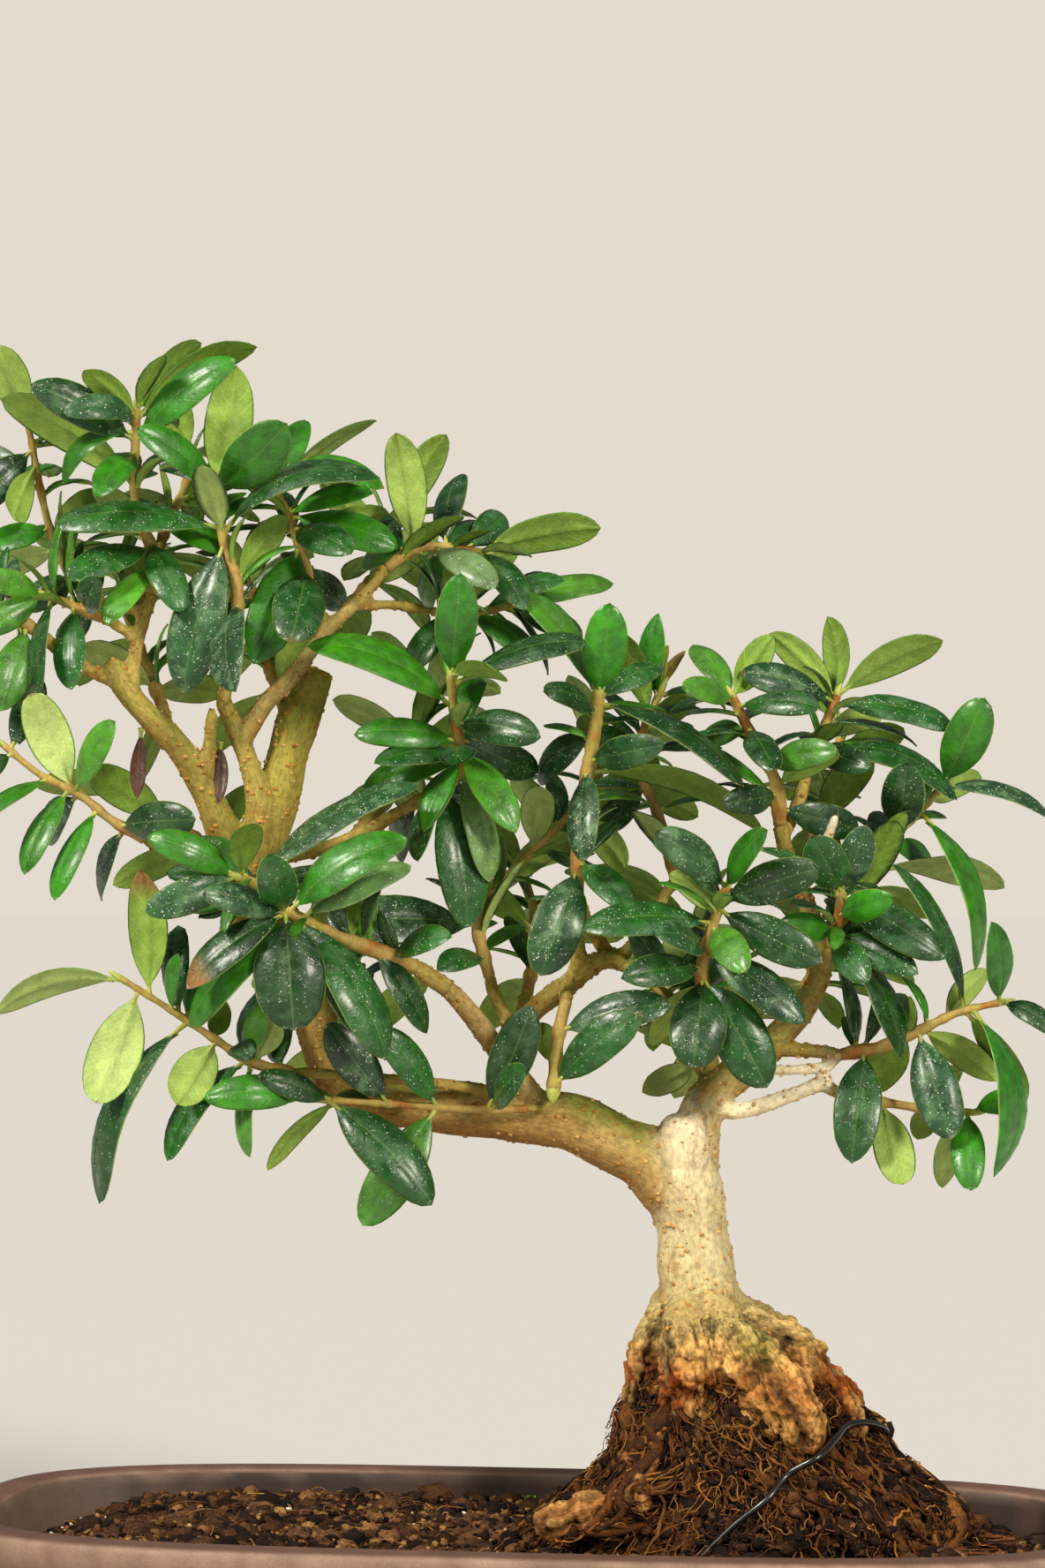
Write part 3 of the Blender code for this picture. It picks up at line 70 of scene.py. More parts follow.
class Seed(IntEnum):
    """Where each set of random numbers starts."""

    CLAY = 3
    SWELLING = 4
    BARK = 5
    FOLDS = 6
    REAR_LEAVES = 7
    KNOBS = 8
    BARK_TINTS = 9
    LENTICELS = 12
    CORE = 15
    WIRE = 17
    LEAF_TONES = 19
    SOIL_FACE = 21
    TWIGS = 23
    WRINKLES = 27
    LOOSE_SOIL = 31
    STOUT_ROOTS = 40
    COARSE_ROOTS = 41
    FINE_ROOTS = 42
    HAIR_ROOTS = 43
    CLINGING_SOIL = 44
    FILLERS = 77
    SHOOTS = 100


# The drawing sheet: a level eye in front of the tree, looking up by a degree
EYE_DISTANCE = 776 * MM
EYE_ABOVE_RIM = 138 * MM
EYE_TILT = math.radians(1.0)
EYE_TURN = math.radians(7.2)
EYE_SIDE = -1.9 * MM
SHEET_MIDDLE = (118.4, 150.4)
SHEET_FOCUS = 838.6
SQUARE = EYE_DISTANCE / SHEET_FOCUS
LENS = 85.0
FILM = 36.0

# The tray
TRAY_LENGTH = 242 * MM
TRAY_WIDTH = 108 * MM
TRAY_HEIGHT = 42 * MM
TRAY_RIM = 8.5 * MM
TRAY_FLOOR = 6 * MM
TRAY_TAPER = 7 * MM
TRAY_FOOT_STEP = 3 * MM
TRAY_FOOT_HEIGHT = 6 * MM
TRAY_LIP = 7.5 * MM
TRAY_ROUNDNESS = 3.5
DRAIN_HOLE_RADIUS = 6 * MM
DRAIN_HOLE_AT = 58 * MM
SCREEN_SIDE = 18 * MM
SCREEN_THICKNESS = 0.9 * MM

# The soil
SOIL_LEVEL = 36.5 * MM
SOIL_HOLLOW = 6 * MM
SOIL_SIDE_HOLLOW = 2 * MM
SOIL_SWELL = 1.6 * MM
LOOSE_LIMITS = (TRAY_LENGTH / 2 - 13 * MM, TRAY_WIDTH / 2 - 13 * MM)

# The root mound: height above the soil level, middle on the sheet, half width and half depth
MOUND = (
    (-8, 166.5, 51, 38), (0, 166.5, 51, 38), (6, 169, 46, 36.5), (11, 171, 39.5, 34),
    (18, 169.8, 31, 30.5), (25.5, 167.2, 26.4, 27), (34, 166.4, 21.6, 22.4),
    (42, 162.4, 16.4, 16.4), (46, 160, 12.4, 12.4), (49, 158.6, 10, 10), (56, 158, 8.6, 8.6),
)
MOUND_RIDGE = 0.045
MOUND_RIDGES_END = 46

# The tie wire: turns round the mound in degrees, and heights above the soil
WIRE_THICKNESS = 1.7 * MM
WIRE_PUSHES = 30
WIRE_ROUTE = (
    (-101, 1.5), (-99, 4.5), (-95, 9), (-87, 13.5), (-77, 18), (-64, 21.5), (-50, 24),
    (-36, 25.5), (-22, 25.5), (-8, 23), (6, 19.5), (20, 15.5), (32, 10), (40, 6), (44, 2.5),
)

# Woody branches of the tree: (x, z, d, thickness) in squares, from the inside out
WOOD = {
    "trunk": [(158.6, 20, 0, 19), (158.3, 32, 0, 18.4), (158, 38, 0, 17.6), (156.8, 50, 0, 16.6),
        (154.8, 60, 0, 17), (153.6, 66, 0, 16)],
    "stump": [(154.8, 58, -2, 13), (154.6, 68, -3, 12), (154.8, 75.4, -3.5, 8.5)],
    "left limb": [(156, 53, 0, 13), (150.5, 61, 0, 14.6), (147, 65.6, 0, 14.6), (140, 68.6, 0, 13.4),
        (130, 73.6, 1, 12.8), (120, 75, 2, 12.4), (108, 76.6, 3, 12), (96, 78, 4, 11.4),
        (84, 79.6, 4, 10.8), (75.8, 85, 4, 9.8), (72.4, 93, 3, 9.2), (70, 103, 2, 9.6), (65, 112, 1, 10.4),
        (59, 119, 0, 12), (56, 128, 0, 11.6), (56.4, 138, 0, 11)],
    "limb knee": [(58, 121, 0, 11), (54, 117, -1, 9), (52.6, 113.4, -2, 6)],
    "left fork": [(55.5, 128, 0, 9), (50.4, 140, -2, 8.8), (46.4, 149, -3, 8), (41, 158, -4, 7.2),
        (33.4, 166, -5, 6.6), (27.6, 173, -5, 6), (25, 178.6, -5, 5.2)],
    "middle fork": [(57, 133, -1, 8), (58.8, 144, -2, 7), (56.8, 154, -3, 5.4), (53.8, 161.6, -3, 4.8),
        (50.4, 169.6, -3.5, 4)],
    "right fork": [(57, 131, 1, 10), (62.6, 146, 2, 9.6), (65.4, 158, 3, 9.2), (69, 168, 4, 8.6),
        (72, 176.4, 4, 7.4)],
    "spur": [(46.6, 150, -3, 4), (47.4, 158, -6, 3.2), (48.2, 167.5, -8, 2.6)],
    "light branch": [(55, 160, -3, 4), (60, 168.4, -3.5, 4), (66, 174.6, -4, 3.8), (74, 185, -2, 3.6),
        (80, 190.6, 0, 3.2)],
    "rear branch": [(61, 134, 2, 5), (68, 135, 5, 4), (76, 136.6, 7, 3.6), (84, 140, 7, 3.2)],
    "front branch": [(121, 79, 0, 6), (113.5, 89, -5, 5), (107, 98, -9, 4.6), (101.6, 104, -12, 4.2)],
    "inner branch": [(116, 79, 3, 6), (115, 90, 4, 5.4), (120, 98, 4, 5), (128, 104.4, 3, 4.8),
        (136, 110.4, 1, 4.2), (140.6, 109.6, 0, 3.6)],
    "right limb": [(156.6, 58, 1, 12), (158.2, 70, 0, 10), (159.4, 78, 0, 8.6), (165, 83.4, 1, 8),
        (171.4, 88.4, 2, 7.4), (177, 94, 3, 6.4), (182, 100, 3, 5.8), (186, 108, 2, 5), (185, 117, 1, 4.4),
        (181, 128, 0, 3.8), (178, 136, -1, 3.4)],
    "pale stub": [(161, 77, -1, 5.6), (168, 76.4, -3, 5), (180, 80.2, -6, 4.6), (188.6, 83.6, -8, 4.2)],
    "short stub": [(170, 87, 0, 3), (176, 85.6, -5, 3), (184, 86, -6, 2.8), (189.4, 86.8, -6.5, 2.4)],
    "peg": [(182, 131, -1, 2.6), (184.5, 132.5, -7, 2.6), (186.6, 136, -10, 2.4), (189.6, 143.5, -11, 2.2)],
    "thin stub": [(187.4, 87.4, -4.4, 1.6), (190.4, 89.4, -5.2, 1.3), (193, 91.8, -5.6, 1.0)],
}

# How a leaf shows on the sheet: its upper face, or its underside
UPPER, UNDER = 1, -1

# Leafy shoots: stem inside the tree, twig of the shoot, thickness at both ends, and leaves as
# (stalk x, z, tip x, z, breadth as seen, face, how much further away the tip lies, bow)
SHOOTS = {
    "shoot_left_top": (
        [(30, 171, -5), (30.6, 180, -5), (33, 189, -4)],
        [(34.4, 195, -3), (34.6, 203, -3), (31, 212, -4), (30.6, 222, -5), (31, 236, -6)], 2.8, 1.5, [
        (30, 228, 7, 241, 9, UPPER, -8), (31, 234, 20, 243.6, 6, UNDER, -14),
        (31, 234, 12, 235, 6, UPPER, -6, 0.2), (31, 230, 14, 219, 4, UPPER, -4, 0.25),
        (30.6, 226, 22, 216, 7, UPPER, -18), (31, 233, 57.8, 250, 6, UNDER, 4, 0.14),
        (31, 235, 45, 250.4, 7, UNDER, 14), (31, 228, 53, 247, 8, UPPER, -8),
        (31, 218, -1, 235, 9, UNDER, 4), (34, 204, 15, 197, 7, UPPER, -16),
        (34, 205, 41, 190, 8, UPPER, -14), (34.5, 200, 24, 187, 6, UPPER, -14)]),
    "shoot_far_left": (
        [(33, 189, -4), (28, 190.4, 0)],
        [(24, 191, 3), (17, 196, 5), (12, 206, 6), (9, 218, 7), (6.4, 232, 6)], 2.4, 1.3, [
        (6.4, 232, -2, 250, 9, UNDER, -10), (8, 223, 3, 210, 7, UNDER, -16),
        (8, 226, -9, 212, 9, UPPER, -6), (9.4, 217, -6, 226, 8, UPPER, 8),
        (12, 208, -4, 204, 6, UPPER, -10), (12, 206, 22, 217, 7, UNDER, 12),
        (17, 197, 4.4, 190, 7, UPPER, -10, 0.22), (13, 203, -6, 196, 7, UNDER, 10),
        (22, 193, 13, 182, 6, UPPER, 8)]),
    "shoot_left_side": (
        [(31.5, 183, -5), (26, 186.6, -6)],
        [(22, 188.4, -7), (16, 191, -8), (10, 193.4, -8)], 2.2, 1.3, [
        (12, 192.6, 9, 169, 4, UPPER, -4), (17, 190.6, 16, 172, 7, UPPER, -10),
        (10, 193.4, -6, 185, 7, UPPER, -6), (10, 193.4, -5, 197, 6, UPPER, -12),
        (20, 189, 24, 203, 6, UPPER, -14)]),
    "shoot_left_end": (
        [(27.6, 173, -5), (20, 176.4, -6), (12.6, 181.4, -7)],
        [(8.6, 184.6, -8), (3, 188.4, -9), (-5, 190, -10)], 2.8, 1.8, [
        (6, 186, 0, 167, 9, UPPER, -8), (4, 187.4, 5, 160, 7, UPPER, -6),
        (-2, 189.4, -13, 176, 8, UPPER, -8), (-4, 190, -16, 196, 7, UNDER, -10),
        (-4, 190, -10, 202, 6, UPPER, 10)]),
    "shoot_left_low": (
        [(53.6, 131, -3), (44, 133.6, -9), (36, 136.2, -11)],
        [(31.6, 138.4, -12), (25, 142.4, -13), (18, 148, -14), (9, 152.6, -14), (1, 159, -14)], 2.2, 1.3, [
        (17, 149, 7, 171, 10, UNDER, -4), (17.6, 148.4, 25.6, 164.6, 6, UPPER, -14),
        (18, 148, 10, 138, 7, UPPER, 20), (27, 141.2, 44, 142.4, 9, UPPER, -14),
        (16, 149, 5.4, 130, 5.6, UPPER, -8), (22, 144.6, 12, 124.4, 5, UPPER, -10),
        (11, 151.6, -5, 142, 3.6, UPPER, -10), (28, 140.4, 22.4, 124, 4, UPPER, 12),
        (3, 157, -10, 149, 6, UPPER, -10), (1, 159, -13, 166, 7, UNDER, -8),
        (2, 158, 5, 173, 7, UPPER, 10)]),
    "shoot_mid_stem": (
        [(50.4, 168, -3.5), (51.4, 174, -6), (52.6, 182, -8)],
        [(53.8, 188, -9), (53.6, 196, -9), (50.6, 206, -9), (49.2, 218, -9)], 2.6, 1.6, [
        (49.2, 218, 53.4, 245, 11, UNDER, 8), (49.2, 217, 31, 231, 7, UPPER, -10),
        (49.2, 217, 65, 232, 12, UPPER, -12), (50.2, 208, 12.6, 209.6, 6.5, UPPER, -6),
        (50.8, 205, 41.6, 172, 12, UPPER, -8), (50.4, 207, 86, 220, 5.5, UPPER, -6, 0.2),
        (53.6, 196, 65, 211, 7, UNDER, 10), (53.7, 191.4, 52.4, 169, 8, UPPER, -22),
        (52, 201, 38, 212, 7, UPPER, 14), (53.6, 193, 43, 181, 7, UPPER, 12)]),
    "shoot_upper": (
        [(74, 185, -2), (71.6, 191, 0)],
        [(70, 196.4, 1), (68, 204, 2), (65.6, 211, 2), (62, 217.6, 2)], 2.4, 1.4, [
        (62, 217.6, 87, 217.6, 6, UPPER, -6, 0.24), (63, 216, 85, 233, 4, UNDER, 8),
        (65.4, 211.6, 78, 218, 5, UPPER, -18), (66, 211, 90, 204.4, 8, UPPER, -8),
        (67, 208, 84, 201, 8, UPPER, -16), (68, 204, 57.6, 178, 12, UPPER, -14),
        (69.6, 199, 65, 178, 12, UPPER, -17), (68, 204, 88, 212, 6, UNDER, 10),
        (64, 214, 50, 226, 7, UNDER, 14), (63, 216, 72, 234, 7, UPPER, 8),
        (69, 200, 80, 188, 7, UPPER, 12)]),
    "shoot_light_branch": (
        [(80, 190.6, 0), (85.4, 196.4, 2)],
        [(88.6, 200, 3), (94, 203.6, 4), (101, 204, 5), (109, 203, 6)], 2.4, 1.3, [
        (94, 203.6, 90, 230, 9, UNDER, -4), (92, 202.6, 81, 214, 8, UPPER, 14),
        (109, 203, 136, 208.6, 9, UNDER, 4), (108, 203, 119, 190, 7, UPPER, -14),
        (98, 204, 112.4, 195, 7, UPPER, -14), (94, 203.6, 80, 200, 6, UPPER, 16),
        (102, 204, 96, 190, 6, UPPER, 16), (101, 204, 104, 221, 7, UPPER, 16)]),
    "shoot_inner_top": (
        [(80, 190.6, 0), (88, 191, 5), (95, 190, 9)],
        [(99, 189.4, 11), (107, 189, 12), (116, 191, 12)], 2.2, 1.3, [
        (107, 189, 121, 179, 6, UPPER, -10), (109, 189, 127.6, 197, 4, UPPER, -8),
        (116, 191, 139, 196, 6, UPPER, 4), (116, 191, 132, 184, 6, UPPER, -8),
        (103, 189.2, 92, 176, 7, UPPER, -10), (104, 189, 118, 205, 6, UNDER, 14),
        (108, 189, 98, 172, 7, UNDER, 10)]),
    "shoot_rosette": (
        [(101.6, 104, -12), (97, 107, -14)],
        [(93, 109.4, -16), (86, 112.4, -20), (78, 115.2, -24), (70, 119, -28),
         (64.6, 121.6, -31)], 3.4, 2, [
        (65.6, 121.4, 92, 138.4, 9, UPPER, -4, 0.14), (64.6, 122, 61, 134, 9, UPPER, -18),
        (64.6, 121.6, 66.6, 94.6, 16, UPPER, -6), (67, 120.6, 82.4, 94, 9.5, UPPER, -2),
        (70, 119, 88, 88, 10, UPPER, -1), (64.6, 121.6, 50, 124.8, 7, UPPER, -18),
        (65, 121.4, 42, 104.4, 7.5, UPPER, -4), (67, 120.4, 42.4, 96, 8, UPPER, 5),
        (68, 120, 93, 132.4, 7, UPPER, 4), (85, 112.8, 97, 94, 6.6, UPPER, 4),
        (89, 111.4, 102, 116, 5.6, UPPER, -16), (80, 114.6, 75, 130, 7, UNDER, 12)]),
    "shoot_side_spray": (
        [(59, 122, -3), (59.6, 124.4, -12)],
        [(59.4, 126, -18), (58, 127.6, -24), (53.6, 129.4, -28)], 2.2, 1.6, [
        (53.6, 129.4, 33.6, 138.6, 7.4, UPPER, -6, 0.16), (53.6, 129.4, 33, 121.4, 8, UPPER, -6, 0.14),
        (57.6, 128, 94.4, 151.4, 6, UPPER, 6), (57, 128, 44, 139, 6, UPPER, 14),
        (54.6, 129, 57, 142, 7, UNDER, -16)]),
    "shoot_low_left": (
        [(115, 78.6, 0), (109, 81, -4), (96, 83, -7), (82, 84, -9), (70, 85, -11)],
        [(65, 85.6, -12), (57, 87.4, -13), (49, 92.4, -14), (40, 98.4, -16), (27, 106.6, -18)], 2.2, 1.2, [
        (28, 106, -1, 98.6, 6, UNDER, -4, 0.14), (33, 102.8, 32, 131, 9, UNDER, -2),
        (31, 104, 21.6, 78, 12, UNDER, -6, 0.14), (43, 96.4, 22, 54.6, 5.4, UPPER, -8, 0.16),
        (49, 92.4, 40, 77.6, 10, UNDER, -12), (56, 87.8, 38, 65.4, 6, UPPER, -8, 0.14),
        (57, 87.4, 56, 66, 4, UPPER, -8), (39, 99, 40.4, 112, 3, UPPER, -6),
        (55.6, 88, 60, 100.4, 5, UPPER, -10), (57.4, 87.4, 62.6, 97, 6.4, UNDER, -10),
        (48.6, 92.8, 51, 101, 5, UNDER, 10), (43, 96.4, 52, 106, 5.4, UPPER, 14)]),
    "shoot_low_front": (
        [(128, 78.6, -2), (122, 77.2, -6)],
        [(118, 76.8, -8), (109, 76.6, -9), (99, 77.2, -10), (88, 78, -11), (77, 78.6, -12),
         (69, 79.2, -13)], 2, 1.4, [
        (69, 79.2, 45.6, 79.4, 8, UPPER, -6, 0.2), (75, 78.8, 57, 85, 6, UPPER, -2),
        (76, 78.6, 60.6, 63, 4, UNDER, 6), (74.6, 78.8, 98, 55.4, 11.4, UPPER, -8),
        (99, 77.2, 82, 50.4, 11, UPPER, -3), (88, 78, 74, 96.2, 9.4, UPPER, -6),
        (98.6, 77.2, 86, 95, 7.6, UPPER, -8), (110.4, 76.6, 120.4, 100, 10, UPPER, -7),
        (112, 76.6, 119, 86, 6, UPPER, -18)]),
    "shoot_centre": (
        [(84, 140, 7), (88, 142.6, 6)],
        [(92, 145, 5), (100, 149.4, 2), (105, 154, -1), (104, 160, -4), (103, 166, -6),
         (102.2, 175, -9)], 2.8, 1.8, [
        (103, 167.4, 70, 182.4, 8.4, UPPER, -8, 0.12), (102.4, 174, 104.4, 198, 9.6, UPPER, -8),
        (102.2, 175, 114.6, 175, 4.4, UNDER, -20, 0.06), (102.4, 173, 132.6, 183, 4.8, UPPER, -8),
        (103, 164, 122.4, 161, 8, UPPER, -14), (104, 161, 122, 153, 8.4, UPPER, 12),
        (104.6, 158, 117, 139.6, 8, UPPER, -10), (104, 160, 80.4, 162, 7, UPPER, -6),
        (104.4, 157, 86.4, 155.4, 5.4, UPPER, -14), (105, 155, 82, 150, 6.4, UPPER, 6),
        (101, 150, 106, 118, 11.6, UPPER, -6), (99, 149, 94.6, 133, 5.4, UPPER, -14),
        (104, 153, 111.2, 128, 7.4, UPPER, 2), (95, 146.4, 88, 128, 6, UPPER, 12)]),
    "shoot_mid_twig": (
        [(130, 105.6, 2), (131, 113, 1)],
        [(130.6, 118, 0), (131, 128, -1), (130.8, 142, -3), (133.4, 155, -5), (135, 164, -6),
         (135.6, 171, -7)], 2.8, 2.4, [
        (135.4, 170, 117, 195.4, 6.6, UPPER, 2), (135.6, 170.6, 138, 190, 10, UPPER, -12),
        (135.2, 167, 123.4, 171.4, 5, UPPER, -18), (135.4, 168.6, 168.6, 150, 4, UPPER, -10, 0.12),
        (133.8, 156, 150.4, 159.4, 7.8, UPPER, -14), (133, 153, 173, 140.4, 5.6, UNDER, 6, 0.14),
        (133.2, 154, 132.2, 133, 7, UPPER, -12), (131, 131, 122.4, 107, 11.8, UPPER, -8),
        (131, 133, 143, 122, 7, UPPER, -16), (134.6, 162, 120, 150, 7, UPPER, 14),
        (135.6, 171, 126, 186, 5, UPPER, 14), (135.4, 169, 150, 178, 6, UPPER, 12)]),
    "shoot_inner_twig": (
        [(115.4, 95, 4), (112, 103, 6)],
        [(110.6, 108, 8), (108.4, 117, 9), (110, 123, 10), (115, 129.4, 12), (122, 136.4, 14),
         (129.6, 144, 15)], 2.8, 1.5, [
        (108.2, 118, 73.6, 118.6, 11.4, UPPER, -12), (114, 128, 129, 138.6, 6.6, UNDER, 14),
        (121, 135.4, 122.4, 150, 8, UNDER, -16), (129.6, 144, 142, 131, 7, UNDER, -12),
        (110, 111, 99.4, 108.6, 5.4, UPPER, -16), (126, 140.4, 116, 152, 6, UNDER, 10),
        (129, 143.4, 146, 152, 7, UNDER, 12)]),
    "shoot_hanging_twig": (
        [(128.6, 104.4, 1), (128.4, 102.4, -4)],
        [(128, 100, -7), (127, 96, -9), (126, 89, -10), (125.4, 81, -11)], 2.8, 2.8, [
        (126.6, 94, 152, 100.6, 8.4, UPPER, -6), (125.6, 82.4, 145.4, 98.6, 9.4, UPPER, -8),
        (126, 88, 118, 98, 6, UNDER, 16)]),
    "shoot_inner_end": (
        [(140.6, 109.6, 0), (143, 108.4, -1)],
        [(146, 106.4, -3), (150, 103.4, -4), (153.6, 101, -5)], 2.6, 1.6, [
        (148, 105, 141, 95, 7, UPPER, -18), (153.6, 101, 148, 90, 6, UNDER, 16),
        (150, 103.4, 143, 118, 7, UPPER, -14), (152, 102, 155, 118, 6, UNDER, 16)]),
    "shoot_right_front": (
        [(168, 86, 1), (165, 90, -6), (162, 97, -11)],
        [(160.4, 101, -13), (159, 108, -15), (161.4, 118, -17), (164.6, 127, -19)], 3, 1.6, [
        (161.6, 118.6, 132, 118, 8, UPPER, -6), (160, 112.4, 146.4, 117.6, 6, UPPER, -18),
        (159.2, 109, 141, 106.6, 7.4, UPPER, -14), (164.6, 127, 148.6, 139.4, 8.4, UPPER, -14),
        (164.4, 127, 173.6, 140, 5.6, UPPER, -16), (163.6, 124, 185.4, 131.4, 9.4, UPPER, -10),
        (163, 122, 186.4, 110, 9.4, UPPER, -6), (161.4, 118, 169, 108, 8, UPPER, -16),
        (160, 112, 182.4, 96.4, 8.6, UPPER, -8), (159, 107, 157, 86.2, 12.8, UPPER, -10),
        (159, 107, 173.8, 81.6, 12.6, UPPER, -6), (159.4, 105.4, 150, 94, 6, UNDER, 16),
        (163, 122, 152, 130, 6, UNDER, 14)]),
    "shoot_fork": (
        [(160.6, 81, 2), (158.8, 84, 5)],
        [(158, 86, 7), (156.4, 88.6, 8.6), (154.6, 91.4, 9)], 1.8, 1.2, [
        (157.6, 86.6, 145.6, 80.6, 6.4, UNDER, 12), (156, 89, 146.6, 95, 5, UNDER, -16),
        (154.6, 91.4, 160, 102, 6, UNDER, 14)]),
    "shoot_right_stem": (
        [(178, 136, -1), (177.2, 139, -1.4)],
        [(176.6, 142.4, -2), (176, 150, -3), (172.8, 157, -3), (169, 164, -4), (166, 170, -5)], 3, 1.6, [
        (166, 170, 155, 172.4, 5.6, UPPER, -16), (167, 168, 185.6, 168, 5.6, UPPER, -12),
        (170, 162, 158, 160, 6, UPPER, 16), (169.4, 163, 175.6, 153.4, 7, UPPER, -18),
        (174, 155, 189.6, 158, 7, UPPER, -14), (176, 150, 186, 156, 6, UNDER, -16),
        (176.2, 148.4, 164, 146, 7, UPPER, -14), (176.4, 145, 192, 141, 8, UPPER, 12),
        (166, 170, 175, 184, 7, UNDER, 10), (166, 170, 157, 182, 6, UPPER, 14)]),
    "shoot_right_crown": (
        [(177, 138, 0), (180, 144, 2), (182.4, 151, 4)],
        [(183.6, 155, 5), (186.4, 162, 6), (189.6, 170.4, 7)], 2.8, 1.6, [
        (189, 169, 168, 175.6, 7.4, UPPER, -10), (189, 169.6, 174.6, 184.6, 7, UNDER, 6),
        (189.6, 170.4, 213.6, 183, 7.4, UNDER, -6), (189, 168.4, 216, 163.4, 6, UPPER, -4),
        (185, 158.6, 197, 154, 7, UPPER, -16), (184.4, 157, 217, 147.4, 6, UPPER, -6, 0.18),
        (189.2, 169.4, 188, 188, 6.6, UNDER, 14), (186.4, 162, 200, 166, 6, UNDER, 14)]),
    "shoot_right_side": (
        [(186, 113, 1.6), (190, 118.4, 2)],
        [(193, 122, 3), (197.4, 129, 4), (201.4, 137, 5), (208, 144, 6), (213.6, 150, 6)], 2.8, 1.5, [
        (213.6, 150, 223, 169.6, 10.4, UPPER, -10), (213, 149.4, 238.6, 143, 4, UPPER, -4, 0.14),
        (203, 139.4, 205.4, 155, 10, UPPER, -14), (208, 144, 221.4, 108.4, 5.4, UPPER, -8, 0.16),
        (198, 131, 229, 126.8, 5.6, UNDER, 6), (196, 127, 212, 120.6, 6, UNDER, 12),
        (201, 136, 214, 131, 6, UPPER, 16), (210, 146.4, 222, 152, 6, UNDER, 14),
        (197, 128.6, 203, 112, 6, UPPER, 12)]),
    "shoot_right_middle": (
        [(186, 108, 1.6), (187.6, 112, -4)],
        [(188.6, 114.6, -8), (189.8, 119, -10), (190.6, 126, -12)], 2.4, 1.6, [
        (190.4, 124.6, 214.4, 111, 9.4, UPPER, -8), (190, 120.6, 202, 124.6, 7, UPPER, -16),
        (189, 116, 208, 107.6, 7.4, UPPER, -10), (188.8, 115.4, 194, 104, 7.4, UPPER, -16),
        (189.4, 117.4, 204, 89.4, 5.8, UPPER, -12), (190.6, 126, 184, 138.6, 9.6, UPPER, -12),
        (190.6, 126, 196, 140, 8, UPPER, -10), (189, 117, 178, 118, 7, UPPER, -14)]),
    "shoot_right_low": (
        [(174, 90.6, 1), (183, 90, -2), (188, 89.4, -4)],
        [(192, 89.4, -6), (200, 91, -8), (208, 94.4, -10), (217, 98.6, -12), (227, 101, -13)], 2.8, 1.3, [
        (226, 101, 225, 119, 6, UPPER, -12), (219, 99.2, 203, 133, 4, UPPER, 4),
        (227, 101, 240, 93.6, 5, UPPER, -8, 0.14), (220, 99.6, 226.4, 61.6, 6, UPPER, -4, 0.18),
        (208, 94.4, 215.6, 70, 10.6, UPPER, -10), (196, 90, 193, 64.6, 10.8, UPPER, -10),
        (209, 94.8, 226, 83.4, 7, UNDER, 6), (219, 99.4, 232, 77.6, 6.4, UNDER, 8),
        (206, 93.4, 196.4, 81, 9, UNDER, 10), (214, 97.2, 224, 108, 6, UNDER, 12)]),
    "shoot_right_under": (
        [(186, 82.4, -7), (190, 80.4, -7)],
        [(194, 79, -7.6), (202, 78, -8), (211, 76.6, -9), (220, 76, -10)], 2.4, 1.3, [
        (200, 78.2, 204.6, 59.6, 9, UNDER, -10), (219, 76, 220, 58.6, 7.8, UPPER, -12),
        (218, 76.2, 213.4, 59, 6, UNDER, 8), (210, 76.8, 208, 70.4, 6, UNDER, 14),
        (220, 76, 235, 80, 6, UPPER, 8), (208, 77.2, 218, 86, 6, UNDER, 12)]),
    "shoot_bud_stem": (
        [(140, 110.4, 2), (146, 117, 10), (151, 126, 15)],
        [(152.6, 130.4, 16), (150, 141, 16), (145.4, 153, 14), (145.6, 162, 12),
         (150, 172, 10)], 2.6, 1.4, [
        (147, 165.6, 139.4, 185.4, 7, UNDER, -10), (149, 169.4, 149, 187, 6, UPPER, -10),
        (150, 172, 151, 182, 2.6, UPPER, 2), (150, 172, 155.4, 181, 2.6, UPPER, 2),
        (145.4, 161, 158, 170, 6, UNDER, 12), (145.4, 160, 132, 160, 7, UPPER, 12),
        (146, 151, 158, 143, 7, UNDER, 10), (146.4, 150, 136, 140, 7, UPPER, 12),
        (151.4, 137, 163, 130, 7, UPPER, 12)]),
}

